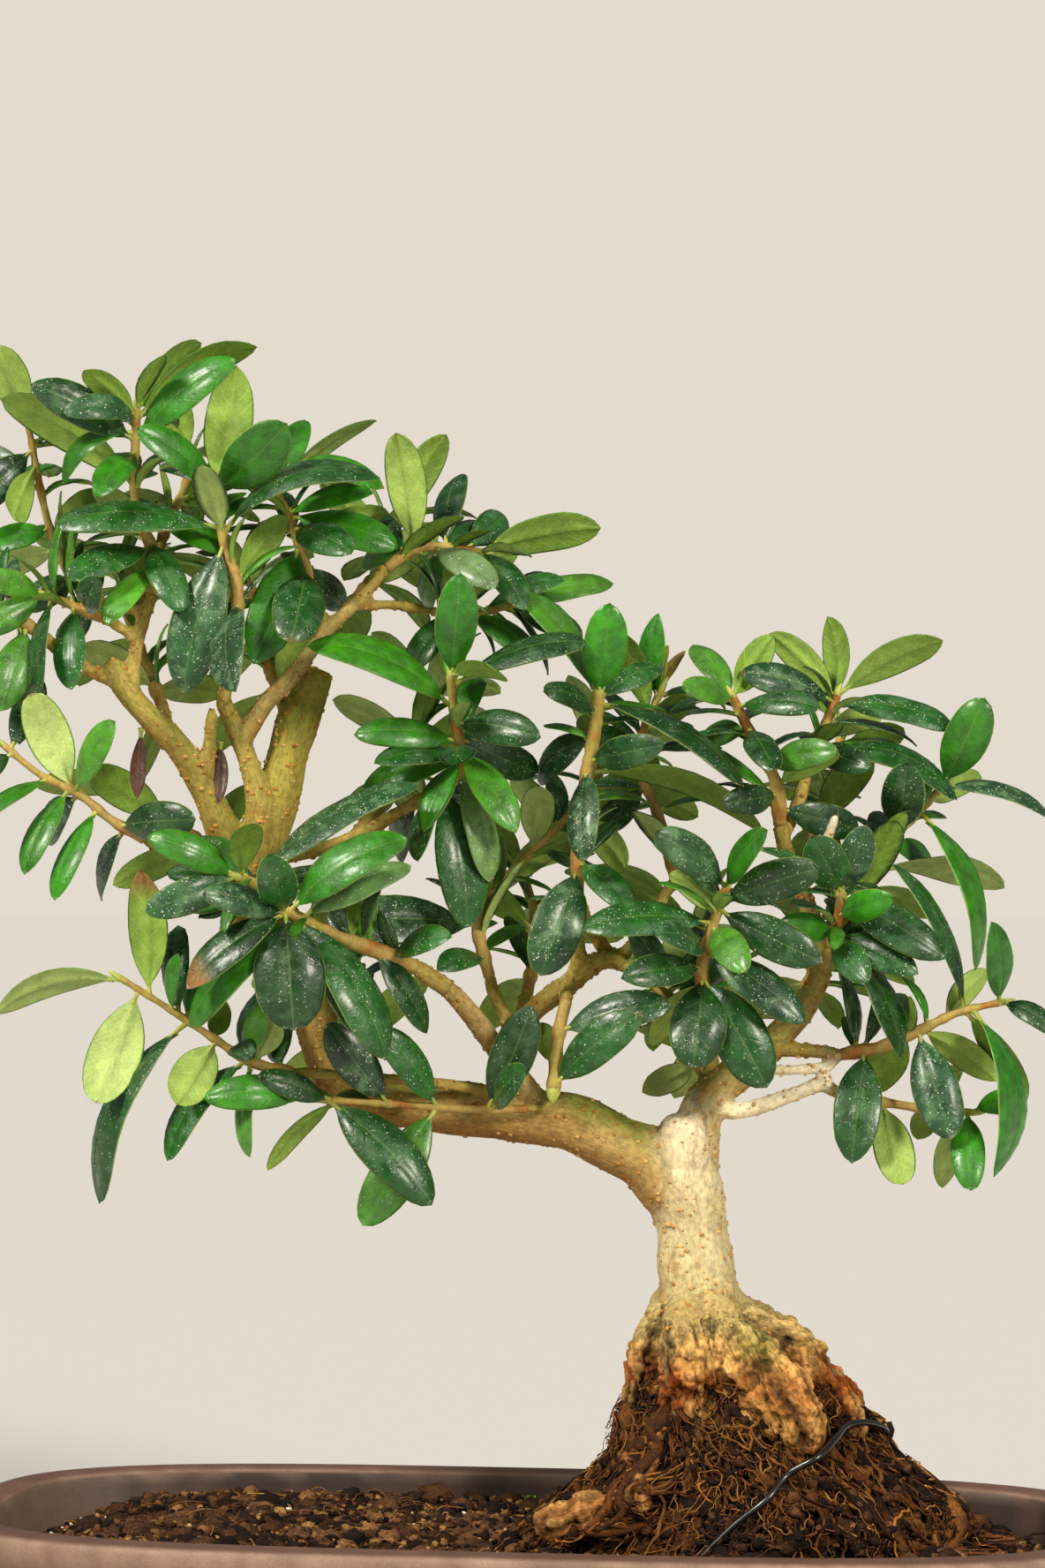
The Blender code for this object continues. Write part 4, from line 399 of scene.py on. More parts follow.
# Shoots at the back, which the front view hides: stem, twig, thickness at both ends, leaf pairs
REAR_SHOOTS = {
    "shoot_back_left": ([(38, 162, -4), (37, 166, 5)],
        [(36.4, 169, 10), (33, 178, 20), (29, 188, 29), (27, 197, 36)], 3, 1.5, 3),
    "shoot_back_top": ([(32, 187, -4.2), (33.4, 193, 2)],
        [(34.6, 200, 8), (38, 209, 17), (42, 218, 26), (43, 226, 33)], 2.6, 1.4, 3),
    "shoot_back_stem": ([(66, 160, 3), (65, 166, 12)],
        [(64, 169, 16), (61, 177, 26), (58, 187, 36), (57, 197, 43)], 3.2, 1.5, 3),
    "shoot_back_upper": ([(76, 187, -1), (79.6, 191, 9)],
        [(81, 193, 14), (85, 198, 24), (88, 204, 34), (89, 210, 42)], 2.6, 1.4, 3),
    "shoot_back_knee": ([(57, 126, 0), (51, 132, 12)],
        [(48.6, 134.4, 16), (42, 140, 26), (36, 144, 36), (31, 150, 43)], 3, 1.5, 3),
    "shoot_back_limb": ([(82, 80, 4), (82, 87, 13)],
        [(82, 90, 17), (80, 97, 28), (76, 103, 38), (73, 110, 46)], 3, 1.5, 3),
    "shoot_back_centre": ([(80, 138, 7), (86, 145, 14)],
        [(88.4, 148, 18), (92, 155, 28), (95, 163, 38), (96, 171, 46)], 2.8, 1.4, 3),
    "shoot_back_inner": ([(118, 95, 4), (119, 101, 13)],
        [(119.6, 104, 17), (121, 112, 28), (121, 121, 38), (119, 130, 46)], 3, 1.5, 3),
    "shoot_back_twig": ([(139, 110, 1), (133, 119, 14), (131.6, 124, 19)],
        [(131, 128, 22), (132, 138, 30), (135, 149, 37), (137, 158, 42)], 2.8, 1.5, 3),
    "shoot_back_right": ([(178, 95, 3), (181, 100, 12)],
        [(182.4, 103, 17), (185, 110, 27), (188, 118, 37), (189, 127, 45)], 3, 1.5, 3),
    "shoot_back_crown": ([(181, 128, 0), (183.4, 135, 11)],
        [(184, 138, 16), (187, 147, 26), (190, 156, 35), (190, 165, 42)], 2.8, 1.4, 3),
    "shoot_back_fork": ([(160, 79, 1), (161, 86, 13)],
        [(161.4, 89, 18), (161, 98, 28), (159, 106, 38), (157, 115, 46)], 3, 1.5, 3),
}

# Turns in degrees that bend a leaf clear: away from the eye, and across the sheet
TURNS = [(0, 0), (7, 0), (-7, 0), (14, 0), (-14, 0), (0, 6), (0, -6), (21, 0), (-21, 0), (10, 8),
         (10, -8), (-10, 8), (-10, -8), (28, 0), (-28, 0), (0, 14), (0, -14), (20, 12), (20, -12),
         (-20, 12), (-20, -12), (35, 0), (-35, 0), (30, 20), (30, -20), (-30, 20), (-30, -20),
         (42, 0), (-42, 0), (0, 28), (0, -28), (50, 14), (50, -14), (-50, 14), (-50, -14)]

# The root that lies along the soil at the left: points on the sheet, thickness in squares
LYING_ROOT = [(154, -3, -19, 6), (146, -8.6, -27, 7.4), (140, -11.6, -29, 8), (131, -15, -31, 7.4),
              (123, -18.6, -32, 5)]

# Twigs and leaves: lengths in squares and turns in radians
STEM_END = 2.5
STEM_SWELL = 1.25
SPAN_STEPS = 12
TWIG_SPACING = 0.8 * MM
LEAF_RATIO = 0.36
LEAF_BOW = 0.09
REAR_LEAF_LENGTH = 25
REAR_LEAF_BREADTH = 9
REAR_FIRST_PAIR, REAR_LAST_PAIR = 0.12, 0.98
REAR_SPREAD, REAR_END_SPREAD = math.radians(66), math.radians(48)
REAR_DROOP = 0.12
REAR_TURN = 0.3
REAR_CHANGE = 0.15


def unit(vectors: np.ndarray) -> np.ndarray:
    """Vectors along the last axis, each divided by its length."""
    return vectors / np.maximum(np.linalg.norm(vectors, axis=-1, keepdims=True), 1e-12)


def sheet_axes() -> tuple[np.ndarray, np.ndarray, np.ndarray, np.ndarray, np.ndarray]:
    """Where the eye is, and the sheet's right, up, forward and level forward directions.

    Returns:
        The eye's place in metres, then the four unit directions.
    """
    level = np.array((-math.sin(EYE_TURN), math.cos(EYE_TURN), 0.0))
    right = np.array((math.cos(EYE_TURN), math.sin(EYE_TURN), 0.0))
    forward = level * math.cos(EYE_TILT) + np.array((0.0, 0.0, math.sin(EYE_TILT)))
    lift = np.array((0.0, 0.0, TRAY_HEIGHT + EYE_ABOVE_RIM))
    eye = EYE_SIDE * right - level * EYE_DISTANCE + lift
    return eye, right, np.cross(right, forward), forward, level


EYE, RIGHT, UP, FORWARD, LEVEL = sheet_axes()


def place(spots: np.ndarray) -> np.ndarray:
    """Places on the sheet as points in metres: each on its line of sight, d squares past the trunk.

    Args:
        spots: Rows of (x, z, d) in squares, along the last axis.

    Returns:
        The points.
    """
    spots = np.asarray(spots, float)
    ray = (FORWARD * SHEET_FOCUS + (spots[..., :1] - SHEET_MIDDLE[0]) * RIGHT
           + (spots[..., 1:2] - SHEET_MIDDLE[1]) * UP)
    reach = (EYE_DISTANCE + spots[..., 2] * SQUARE) / (ray @ LEVEL)
    return EYE + ray * reach[..., None]


LYING_MIDDLE = place(np.array(LYING_ROOT, float)[1:, :3]).mean(0)


def curve_through(rows: np.ndarray, spacing: float) -> np.ndarray:
    """A Catmull-Rom curve through the rows, with points an even distance apart.

    Each span blends its two ends and their neighbours by cubic weights. Columns past the third,
    such as a thickness, are carried along.

    Args:
        rows: (n, k) rows whose first three columns are a place in metres.
        spacing: Distance between points in metres.

    Returns:
        Rows like the given ones, evenly spaced.
    """
    p = np.vstack([2 * rows[0] - rows[1], rows, 2 * rows[-1] - rows[-2]])
    t = (np.arange(16) / 16)[None, :, None]
    a, b, c, d = (p[i:len(p) - 3 + i, None] for i in range(4))
    fine = 0.5 * (2 * b + (c - a) * t + (2 * a - 5 * b + 4 * c - d) * t**2
                  + (3 * b - a - 3 * c + d) * t**3)
    fine = np.vstack([fine.reshape(-1, rows.shape[1]), rows[-1]])
    run = np.concatenate([[0], np.cumsum(np.linalg.norm(np.diff(fine[:, :3], axis=0), axis=1))])
    even = np.linspace(0, run[-1], max(3, int(run[-1] / spacing) + 1))
    return np.stack([np.interp(even, run, column) for column in fine.T], axis=1)


class Relief:
    """Smooth random heights in space: values on a cubic lattice, blended by a smooth step."""

    SIDE = 32

    def __init__(self, seed: int) -> None:
        """Draws the lattice's values, from -1 to 1.

        Args:
            seed: For the random numbers.
        """
        draw = np.random.default_rng(seed)
        self.table = draw.uniform(-1, 1, (self.SIDE,) * 3)
        self.shift = draw.uniform(0, self.SIDE, 3)

    def at(self, points: np.ndarray, size: float) -> np.ndarray:
        """One layer of relief.

        Args:
            points: Places in metres.
            size: How wide its lumps are, in metres.

        Returns:
            Heights from -1 to 1.
        """
        p = points / size + self.shift
        low = np.floor(p).astype(int)
        f = p - low
        f = f * f * (3 - 2 * f)
        total = np.zeros(points.shape[:-1])
        for corner in np.ndindex(2, 2, 2):
            i = (low + corner) % self.SIDE
            share = np.where(corner, f, 1 - f).prod(axis=-1)
            total += self.table[i[..., 0], i[..., 1], i[..., 2]] * share
        return total

    def layers(self, points: np.ndarray, size: float, count: int, gain: float = 0.5) -> np.ndarray:
        """Layers of relief added up, each half the size of the last and gain times as high."""
        return sum(self.at(points + k, size / 2**k) * gain**k for k in range(count))

    def cracks(self, points: np.ndarray, size: float) -> np.ndarray:
        """1 along sharp winding lines, where the relief crosses zero, and 0 away from them."""
        return np.clip(1 - 5 * np.abs(self.layers(points, size, 2)), 0, 1)


# Attribute types and their keys, for a number, a vector and a colour at each point
ATTRIBUTES = {1: ("FLOAT", "value"), 2: ("FLOAT_VECTOR", "vector"), 3: ("FLOAT_COLOR", "color")}


@dataclass
class Surface:
    """Points, faces by corner count, and values at the points, on their way to a mesh."""

    points: np.ndarray
    faces: list[np.ndarray]
    finish: list[int] = field(default_factory=list)
    values: dict[str, np.ndarray] = field(default_factory=dict)

    def __post_init__(self) -> None:
        """Gives every array of faces the first finish, if none is named."""
        self.points = self.points.reshape(-1, 3)
        if not self.finish:
            self.finish = [0] * len(self.faces)

    def with_values(self, **values: np.ndarray) -> "Surface":
        """Adds values, each spread over all points if it is one value.

        Args:
            values: Values by their attribute's name.

        Returns:
            The same surface.
        """
        for name, value in values.items():
            value = np.asarray(value, float)
            width = value.shape[-1:] if name in ("uv", "tint", "grain") else ()
            self.values[name] = np.broadcast_to(value, (len(self.points), *width)).copy()
        return self

    @staticmethod
    def joined(parts: list["Surface"]) -> "Surface":
        """All parts in one surface, with a value that one part lacks set to 0 there.

        Args:
            parts: The surfaces.

        Returns:
            The new surface.
        """
        starts = np.cumsum([0] + [len(part.points) for part in parts])
        faces = [f + start for part, start in zip(parts, starts) for f in part.faces]
        finish = [index for part in parts for index in part.finish]
        made = Surface(np.vstack([part.points for part in parts]), faces, finish)
        for name in sorted({name for part in parts for name in part.values}):
            shape = next(p.values[name].shape[1:] for p in parts if name in p.values)
            made.values[name] = np.concatenate([
                part.values.get(name, np.zeros((len(part.points), *shape))) for part in parts])
        return made

    def mesh(self, name: str) -> bpy.types.Mesh:
        """Puts the arrays into a new mesh, smooth, with its values as attributes.

        Args:
            name: The mesh's name.

        Returns:
            The mesh.
        """
        mesh = bpy.data.meshes.new(name)
        corners = np.concatenate([f.ravel() for f in self.faces]).astype(np.int32)
        counts = np.concatenate([np.full(len(f), f.shape[1]) for f in self.faces])
        mesh.vertices.add(len(self.points))
        mesh.vertices.foreach_set("co", self.points.astype(np.float32).ravel())
        mesh.loops.add(len(corners))
        mesh.loops.foreach_set("vertex_index", corners)
        mesh.polygons.add(len(counts))
        starts = np.concatenate([[0], np.cumsum(counts)[:-1]]).astype(np.int32)
        mesh.polygons.foreach_set("loop_start", starts)
        finish = np.concatenate([np.full(len(f), k) for f, k in zip(self.faces, self.finish)])
        mesh.polygons.foreach_set("material_index", finish.astype(np.int32))
        mesh.polygons.foreach_set("use_smooth", np.ones(len(counts), bool))
        mesh.update(calc_edges=True)
        for label, value in self.values.items():
            value = value.astype(np.float32)
            if label == "uv":
                mesh.uv_layers.new(name="uv").data.foreach_set("uv", value[corners].ravel())
                continue
            if label == "tint":
                value = np.hstack([value, np.ones((len(value), 1), np.float32)])
            kind, key = ATTRIBUTES[value.ndim + ("tint" == label)]
            mesh.attributes.new(label, kind, "POINT").data.foreach_set(key, value.ravel())
        return mesh

    def piece(self, name: str, finishes: list[bpy.types.Material], slot: str,
              stands_for: tuple[str, ...] = ()) -> None:
        """Makes a shown piece of the object, which rides on the frame.

        Args:
            name: The piece's name.
            finishes: Materials, in the order of the faces' finish numbers.
            slot: Not used.
            stands_for: The frame's nodes that the piece replaces.
        """
        made = shown(name, self.mesh(name))
        for finish in finishes:
            made.data.materials.append(finish)
        ridden(made, stands_for)


def shown(name: str, data: bpy.types.ID) -> bpy.types.Object:
    """A new object in the scene, at the origin.

    Args:
        name: Its name.
        data: Its mesh, light or camera.

    Returns:
        The object.
    """
    made = bpy.data.objects.new(name, data)
    bpy.context.scene.collection.objects.link(made)
    return made


def ridden(made: bpy.types.Object, stands_for: tuple[str, ...]) -> None:
    """Lets a piece ride on the frame and stand for nodes, and reports it.

    Args:
        made: The piece.
        stands_for: The frame's nodes that it replaces.
    """
    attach(made, "root")
    if stands_for:
        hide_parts(*stands_for)
    LOG.info("%s: %d faces", made.name, len(made.data.polygons))


def grid_faces(rows: int, columns: int, closed: bool, start: int = 0) -> np.ndarray:
    """Quads between neighbouring rows of a grid of points, which may close round on itself.

    Each quad joins (row, column), (row + 1, column), (row + 1, column + 1), (row, column + 1).

    Args:
        rows: Count of rows.
        columns: Count of points in a row.
        closed: Whether the last column joins the first.
        start: The first point's number.

    Returns:
        (n, 4) corners.
    """
    i, j = np.meshgrid(np.arange(rows - 1), np.arange(columns - (not closed)), indexing="ij")
    a = start + i * columns + j
    b = start + i * columns + (j + 1) % columns
    return np.stack([a, a + columns, b + columns, b], axis=-1).reshape(-1, 4)


def sweep(paths: np.ndarray, radii: np.ndarray, sides: int) -> Surface:
    """A round section carried along each of many paths, with closed ends.

    A point is the path's point plus the radius times (cos turn * side + sin turn * lift), where
    side and lift stand square to the path and to each other.

    Args:
        paths: (n, m, 3) points of n paths in metres, or (m, 3) for one.
        radii: (n, m) radii in metres, or (m,).
        sides: Points round the section.

    Returns:
        The tubes, with each point's share of its path as the value along.
    """
    paths = paths.reshape(-1, *paths.shape[-2:])
    radii = np.broadcast_to(radii.reshape(-1, radii.shape[-1]), paths.shape[:2])
    n, m = paths.shape[:2]
    tangent = unit(np.gradient(paths, axis=1))
    lean = np.abs(tangent).max(axis=1)
    reference = np.eye(3)[lean.argmin(axis=1)][:, None, :]
    side = unit(np.cross(tangent, reference))
    lift = np.cross(side, tangent)
    turn = 2 * np.pi * np.arange(sides) / sides
    ring = (np.cos(turn)[:, None] * side[:, :, None, :] + np.sin(turn)[:, None] * lift[:, :, None, :])
    points = paths[:, :, None, :] + radii[:, :, None, None] * ring
    quads = grid_faces(m, sides, True)
    first = (np.arange(n) * m * sides)[:, None]
    walls = (quads[None] + first[:, :, None]).reshape(-1, 4)
    start = first + np.arange(sides)
    end = first + (m - 1) * sides + np.arange(sides)[::-1]
    made = Surface(points, [walls, np.vstack([start, end])])
    along = np.linspace(0, 1, m)
    made.values["along"] = np.broadcast_to(along[None, :, None], (n, m, sides)).ravel().copy()
    return made


def srgb(code: str) -> np.ndarray:
    """A hex colour as it shows on a screen, turned to linear light.

    Args:
        code: The colour, such as #A0B0C0.

    Returns:
        Its red, green and blue.
    """
    parts = np.array([int(code[i:i + 2], 16) / 255 for i in (1, 3, 5)])
    return np.where(parts <= 0.04045, parts / 12.92, ((parts + 0.055) / 1.055) ** 2.4)


def mixed(first: np.ndarray | str, second: np.ndarray | str, share: np.ndarray) -> np.ndarray:
    """Colours between two others.

    Args:
        first: Linear colours, or one hex colour.
        second: The same.
        share: How much of the second, from 0 to 1, at each point.

    Returns:
        The linear colours.
    """
    first, second = (srgb(c) if isinstance(c, str) else c for c in (first, second))
    share = np.clip(share, 0, 1)[..., None]
    return first * (1 - share) + second * share


def evaluated(mesh: bpy.types.Mesh, kind: str, **settings: object) -> bpy.types.Mesh:
    """The mesh that one modifier makes of another.

    Args:
        mesh: The mesh to start from.
        kind: The modifier's type.
        settings: The modifier's own settings.

    Returns:
        The new mesh.
    """
    holder = shown("holder", mesh)
    modifier = holder.modifiers.new(kind, kind)
    for label, value in settings.items():
        setattr(modifier, label, value)
    graph = bpy.context.evaluated_depsgraph_get()
    made = bpy.data.meshes.new_from_object(holder.evaluated_get(graph))
    bpy.data.objects.remove(holder)
    return made


def arrays_of(mesh: bpy.types.Mesh) -> tuple[np.ndarray, np.ndarray, np.ndarray]:
    """A quad mesh as arrays.

    Args:
        mesh: The mesh.

    Returns:
        (n, 3) points, (f, 4) corners, (e, 2) edge ends.
    """
    points = np.empty(len(mesh.vertices) * 3, np.float32)
    mesh.vertices.foreach_get("co", points)
    corners = np.empty(len(mesh.loops), np.int32)
    mesh.loops.foreach_get("vertex_index", corners)
    edges = np.empty(len(mesh.edges) * 2, np.int32)
    mesh.edges.foreach_get("vertices", edges)
    return points.reshape(-1, 3).astype(float), corners.reshape(-1, 4), edges.reshape(-1, 2)


def spread(values: np.ndarray, edges: np.ndarray, share: float, rounds: int) -> np.ndarray:
    """Values moved towards the mean of their neighbours along the edges.

    Args:
        values: A row for each point.
        edges: Pairs of point numbers.
        share: How far they move at each round.
        rounds: How many times.

    Returns:
        The new values.
    """
    count = np.bincount(edges.ravel(), minlength=len(values))
    flat = values.reshape(len(values), -1)
    for _ in range(rounds):
        total = np.stack([
            np.bincount(edges[:, 0], column[edges[:, 1]], len(flat))
            + np.bincount(edges[:, 1], column[edges[:, 0]], len(flat)) for column in flat.T], axis=1)
        flat = flat + share * (total / np.maximum(count, 1)[:, None] - flat)
    return flat.reshape(values.shape)


def normals_of(points: np.ndarray, quads: np.ndarray) -> np.ndarray:
    """The outward direction at each point: the sum over its faces of the cross of their diagonals.

    Args:
        points: The points.
        quads: Their faces.

    Returns:
        Unit directions.
    """
    a, b, c, d = (points[quads[:, k]] for k in range(4))
    face = np.cross(c - a, d - b)
    total = np.stack([
        sum(np.bincount(quads[:, k], face[:, axis], len(points)) for k in range(4))
        for axis in range(3)], axis=1)
    return unit(total)


def add(tree: bpy.types.NodeTree, kind: str, inputs: dict | tuple = (), out: int | str = 0,
        **settings: object) -> bpy.types.NodeSocket:
    """One shader node, with its settings, and its inputs set or linked.

    Args:
        tree: The material's node tree.
        kind: The node's type, without its ShaderNode prefix.
        inputs: A value or another node's output for each input, in order, or by name or number.
        out: The output that is wanted.
        settings: The node's own settings.

    Returns:
        That output.
    """
    made = tree.nodes.new("ShaderNode" + kind)
    for label, value in settings.items():
        setattr(made, label, value)
    for label, value in dict(inputs if isinstance(inputs, dict) else enumerate(inputs)).items():
        if isinstance(value, bpy.types.NodeSocket):
            tree.links.new(value, made.inputs[label])
        else:
            made.inputs[label].default_value = value
    return made.outputs[out]


# How a node spreads a value smoothly between its limits
SMOOTH = {"interpolation_type": "SMOOTHSTEP"}


@dataclass(frozen=True)
class Finish:
    """What every finish has: a name, a roughness and how strongly it mirrors at a glance."""

    name: str
    roughness: float
    specular: float = 0.5
    coat: float = 0.0
    coat_roughness: float = 0.2

    def blank(self) -> tuple[bpy.types.Material, bpy.types.NodeTree, bpy.types.Node]:
        """A new material with only its shader and output.

        Returns:
            The material, its node tree and its shader.
        """
        made = bpy.data.materials.new(self.name)
        made.use_nodes = True
        tree = made.node_tree
        tree.nodes.clear()
        surface = add(tree, "BsdfPrincipled", {
            "Roughness": self.roughness, "Specular IOR Level": self.specular,
            "Coat Weight": self.coat, "Coat Roughness": self.coat_roughness})
        tree.links.new(surface, tree.nodes.new("ShaderNodeOutputMaterial").inputs["Surface"])
        return made, tree, surface.node

    def link(self, tree: bpy.types.NodeTree, shader: bpy.types.Node, tone: bpy.types.NodeSocket,
             bump: tuple[float, float, bpy.types.NodeSocket], rough: bpy.types.NodeSocket | None) -> None:
        """Joins a finish's colour, relief and roughness to its shader.

        Args:
            tree: The material's node tree.
            shader: The shader.
            tone: The colour.
            bump: The relief's strength, its depth in metres and its height.
            rough: The roughness, where it isn't the same all over.
        """
        strength, depth, height = bump
        raised = add(tree, "Bump", {"Strength": strength, "Distance": depth, "Height": height})
        for key, value in (("Base Color", tone), ("Normal", raised), ("Roughness", rough)):
            if value:
                tree.links.new(value, shader.inputs[key])


def colour(code: str) -> tuple[float, float, float, float]:
    """A hex colour as a node's colour value."""
    return (*srgb(code), 1.0)


@dataclass(frozen=True)
class LeafFinish(Finish):
    """Olive leaf: a waxy skin over green tissue, with a midrib, faint side veins and water marks.

    The wax gives a broad soft highlight above; the felt of tiny hairs below has almost none.
    """

    upper: bool = True
    midrib: str = "#6F9440"
    margin_and_rim_light: str = "#B2CE66"
    bloom: str = "#6E9468"
    drop: str = "#D5E2D2"
    vein: str = "#D3E6A0"
    vein_count: float = 15.0
    drop_spacing: float = 1.25 * MM
    dust_spacing: float = 0.5 * MM

    def dots(self, tree: bpy.types.NodeTree, where: bpy.types.NodeSocket, spacing: float, share: float,
             size: float) -> bpy.types.NodeSocket:
        """1 in round marks of uneven size, one in each of this share of the cells, else 0.

        Args:
            tree: The material's node tree.
            where: The coordinates.
            spacing: The cells' width in metres.
            share: How many of the cells have a mark.
            size: The largest mark's radius, as a share of the cell.

        Returns:
            The marks.
        """
        cells = add(tree, "TexVoronoi", {"Vector": where, "Scale": 1 / spacing}).node.outputs
        chance = add(tree, "SeparateColor", (cells["Color"],)).node.outputs
        chosen = add(tree, "MapRange", (chance[0], share, share + 0.02, 1.0, 0.0), **SMOOTH)
        reach = add(tree, "Math", (chance[1], size, 0.3 * size), operation="MULTIPLY_ADD")
        near = add(tree, "Math", (reach, cells["Distance"]), operation="SUBTRACT")
        dot = add(tree, "MapRange", (near, 0.0, 0.5 * size), **SMOOTH)
        return add(tree, "Math", (chosen, dot), operation="MULTIPLY")

    def marks(self, tree: bpy.types.NodeTree, where: bpy.types.NodeSocket) -> bpy.types.NodeSocket:
        """Dried drops all over, and specks of dust in patches.

        Args:
            tree: The material's node tree.
            where: The coordinates.

        Returns:
            1 in the marks, else 0.
        """
        drops = self.dots(tree, where, self.drop_spacing, share=0.3, size=0.15)
        dust = self.dots(tree, where, self.dust_spacing, share=0.6, size=0.34)
        patches = add(tree, "TexNoise", {"Vector": where, "Scale": 1 / (3.6 * MM), "Detail": 4,
                                         "Roughness": 0.55})
        patches = add(tree, "MapRange", (patches, 0.44, 0.58), **SMOOTH)
        dust = add(tree, "Math", (dust, patches), operation="MULTIPLY")
        return add(tree, "Math", (drops, dust), operation="MAXIMUM")

    def build(self) -> bpy.types.Material:
        """The material, over the leaf's own tint, its uv (along, across) and its bloom.

        Returns:
            The material.
        """
        made, tree, shader = self.blank()
        where = add(tree, "TexCoord", out="Object")
        tint = add(tree, "Attribute", out="Color", attribute_name="tint")
        bloom = add(tree, "Attribute", out="Fac", attribute_name="bloom")
        uv = add(tree, "SeparateXYZ", (add(tree, "UVMap", uv_map="uv"),)).node.outputs
        centred = add(tree, "Math", (uv[1], 2.0, -1.0), operation="MULTIPLY_ADD")
        across = add(tree, "Math", (centred,), operation="ABSOLUTE")
        slant = add(tree, "Math", (across, -3.2), operation="MULTIPLY")
        steps = add(tree, "Math", (uv[0], self.vein_count, slant), operation="MULTIPLY_ADD")
        wave = add(tree, "Math", (steps, 1.0), operation="PINGPONG")
        vein = add(tree, "MapRange", (wave, 0.0, 0.22, 1.0, 0.0), **SMOOTH)
        low, high = (0.66, 1.25) if self.upper else (0.84, 1.12)
        # Lumps for the green, the shine, and the finer and broader relief
        mottle, rough, fine, broad = (
            add(tree, "TexNoise", {"Vector": where, "Scale": 1 / size, "Detail": detail, "Roughness": 0.55})
            for size, detail in ((3.5 * MM, 3), (2.4 * MM, 3), (0.55 * MM, 3), (2.6 * MM, 2)))
        mottle = add(tree, "MapRange", (mottle, 0.3, 0.7, low, high), **SMOOTH)
        tone = add(tree, "VectorMath", {0: tint, "Scale": mottle}, operation="SCALE")
        spots = self.marks(tree, where)
        if self.upper:
            film = add(tree, "TexNoise", {"Vector": where, "Scale": 1 / (4 * MM), "Detail": 6,
                                          "Roughness": 0.65})
            film = add(tree, "MapRange", (film, 0.47, 0.66, 0.0, 0.6), **SMOOTH)
            film = add(tree, "Math", (film, bloom), operation="MULTIPLY")
            rib = add(tree, "MapRange", (across, 0.015, 0.06, 0.28, 0.0), **SMOOTH)
            # A pale line along the margin: the leaf's own paler edge, and a painted rim light
            edge = add(tree, "MapRange", (across, 0.94, 0.985, 0.0, 0.6), **SMOOTH)
            seen = add(tree, "Math", (spots, bloom), operation="MULTIPLY")
            seen = add(tree, "MapRange", (seen, 0.02, 0.45, 0.0, 0.75), **SMOOTH)
            layers = ((film, self.bloom), (rib, self.midrib), (edge, self.margin_and_rim_light), (seen, self.drop))
        else:
            net = add(tree, "TexVoronoi", {"Vector": where, "Scale": 1 / (0.9 * MM)},
                      feature="DISTANCE_TO_EDGE")
            net = add(tree, "MapRange", (net, 0.0, 0.14, 0.86, 1.0), **SMOOTH)
            tone = add(tree, "VectorMath", {0: tone, "Scale": net}, operation="SCALE")
            layers = ((add(tree, "Math", (vein, 0.16), operation="MULTIPLY"), self.vein),)
        for share, code in layers:
            tone = add(tree, "Mix", {0: share, 6: tone, 7: colour(code)}, 2, data_type="RGBA")
        rough = add(tree, "MapRange", (rough, 0.35, 0.65, self.roughness - 0.14, self.roughness + 0.16),
                    **SMOOTH)
        fine = add(tree, "Math", (broad, 3.2, fine), operation="MULTIPLY_ADD")
        height = add(tree, "Math", (vein, -0.3, fine), operation="MULTIPLY_ADD")
        height = add(tree, "Math", (spots, 0.9, height), operation="MULTIPLY_ADD")
        self.link(tree, shader, tone, (0.6, 0.14 * MM, height), rough)
        return made


@dataclass(frozen=True)
class BarkFinish(Finish):
    """Living bark or root skin: corky, matt, drawn out along the branch, painted darker in its cracks and
    lighter on its raised cork, as painted shade and light.
    """

    dark: float = 0.7
    light: float = 1.2
    relief: float = 0.22 * MM
    fibre: float = 0.5 * MM
    flake: float = 1.3 * MM
    stretch: float = 0.25

    def build(self) -> bpy.types.Material:
        """The material, over the wood's own tint and its grain space, whose third axis runs along.

        Returns:
            The material.
        """
        made, tree, shader = self.blank()
        where = add(tree, "TexCoord", out="Object")
        tint = add(tree, "Attribute", out="Color", attribute_name="tint")
        own = add(tree, "Attribute", out="Vector", attribute_name="grain")
        drawn = add(tree, "VectorMath", (own, (1.0, 1.0, self.stretch)), operation="MULTIPLY")
        fibre, flake = (
            add(tree, "TexNoise", {"Vector": space, "Scale": 1 / size, "Detail": 4, "Roughness": 0.6})
            for space, size in ((drawn, self.fibre), (where, self.flake)))
        both = add(tree, "Math", (fibre, flake), operation="ADD")
        # The colour follows the relief: darker where it is low, as painted shade, and lighter where it is
        # high
        shade = add(tree, "MapRange", (both, 0.72, 1.28, self.dark, self.light), **SMOOTH)
        tone = add(tree, "VectorMath", {0: tint, "Scale": shade}, operation="SCALE")
        self.link(tree, shader, tone, (0.8, self.relief, both), None)
        return made


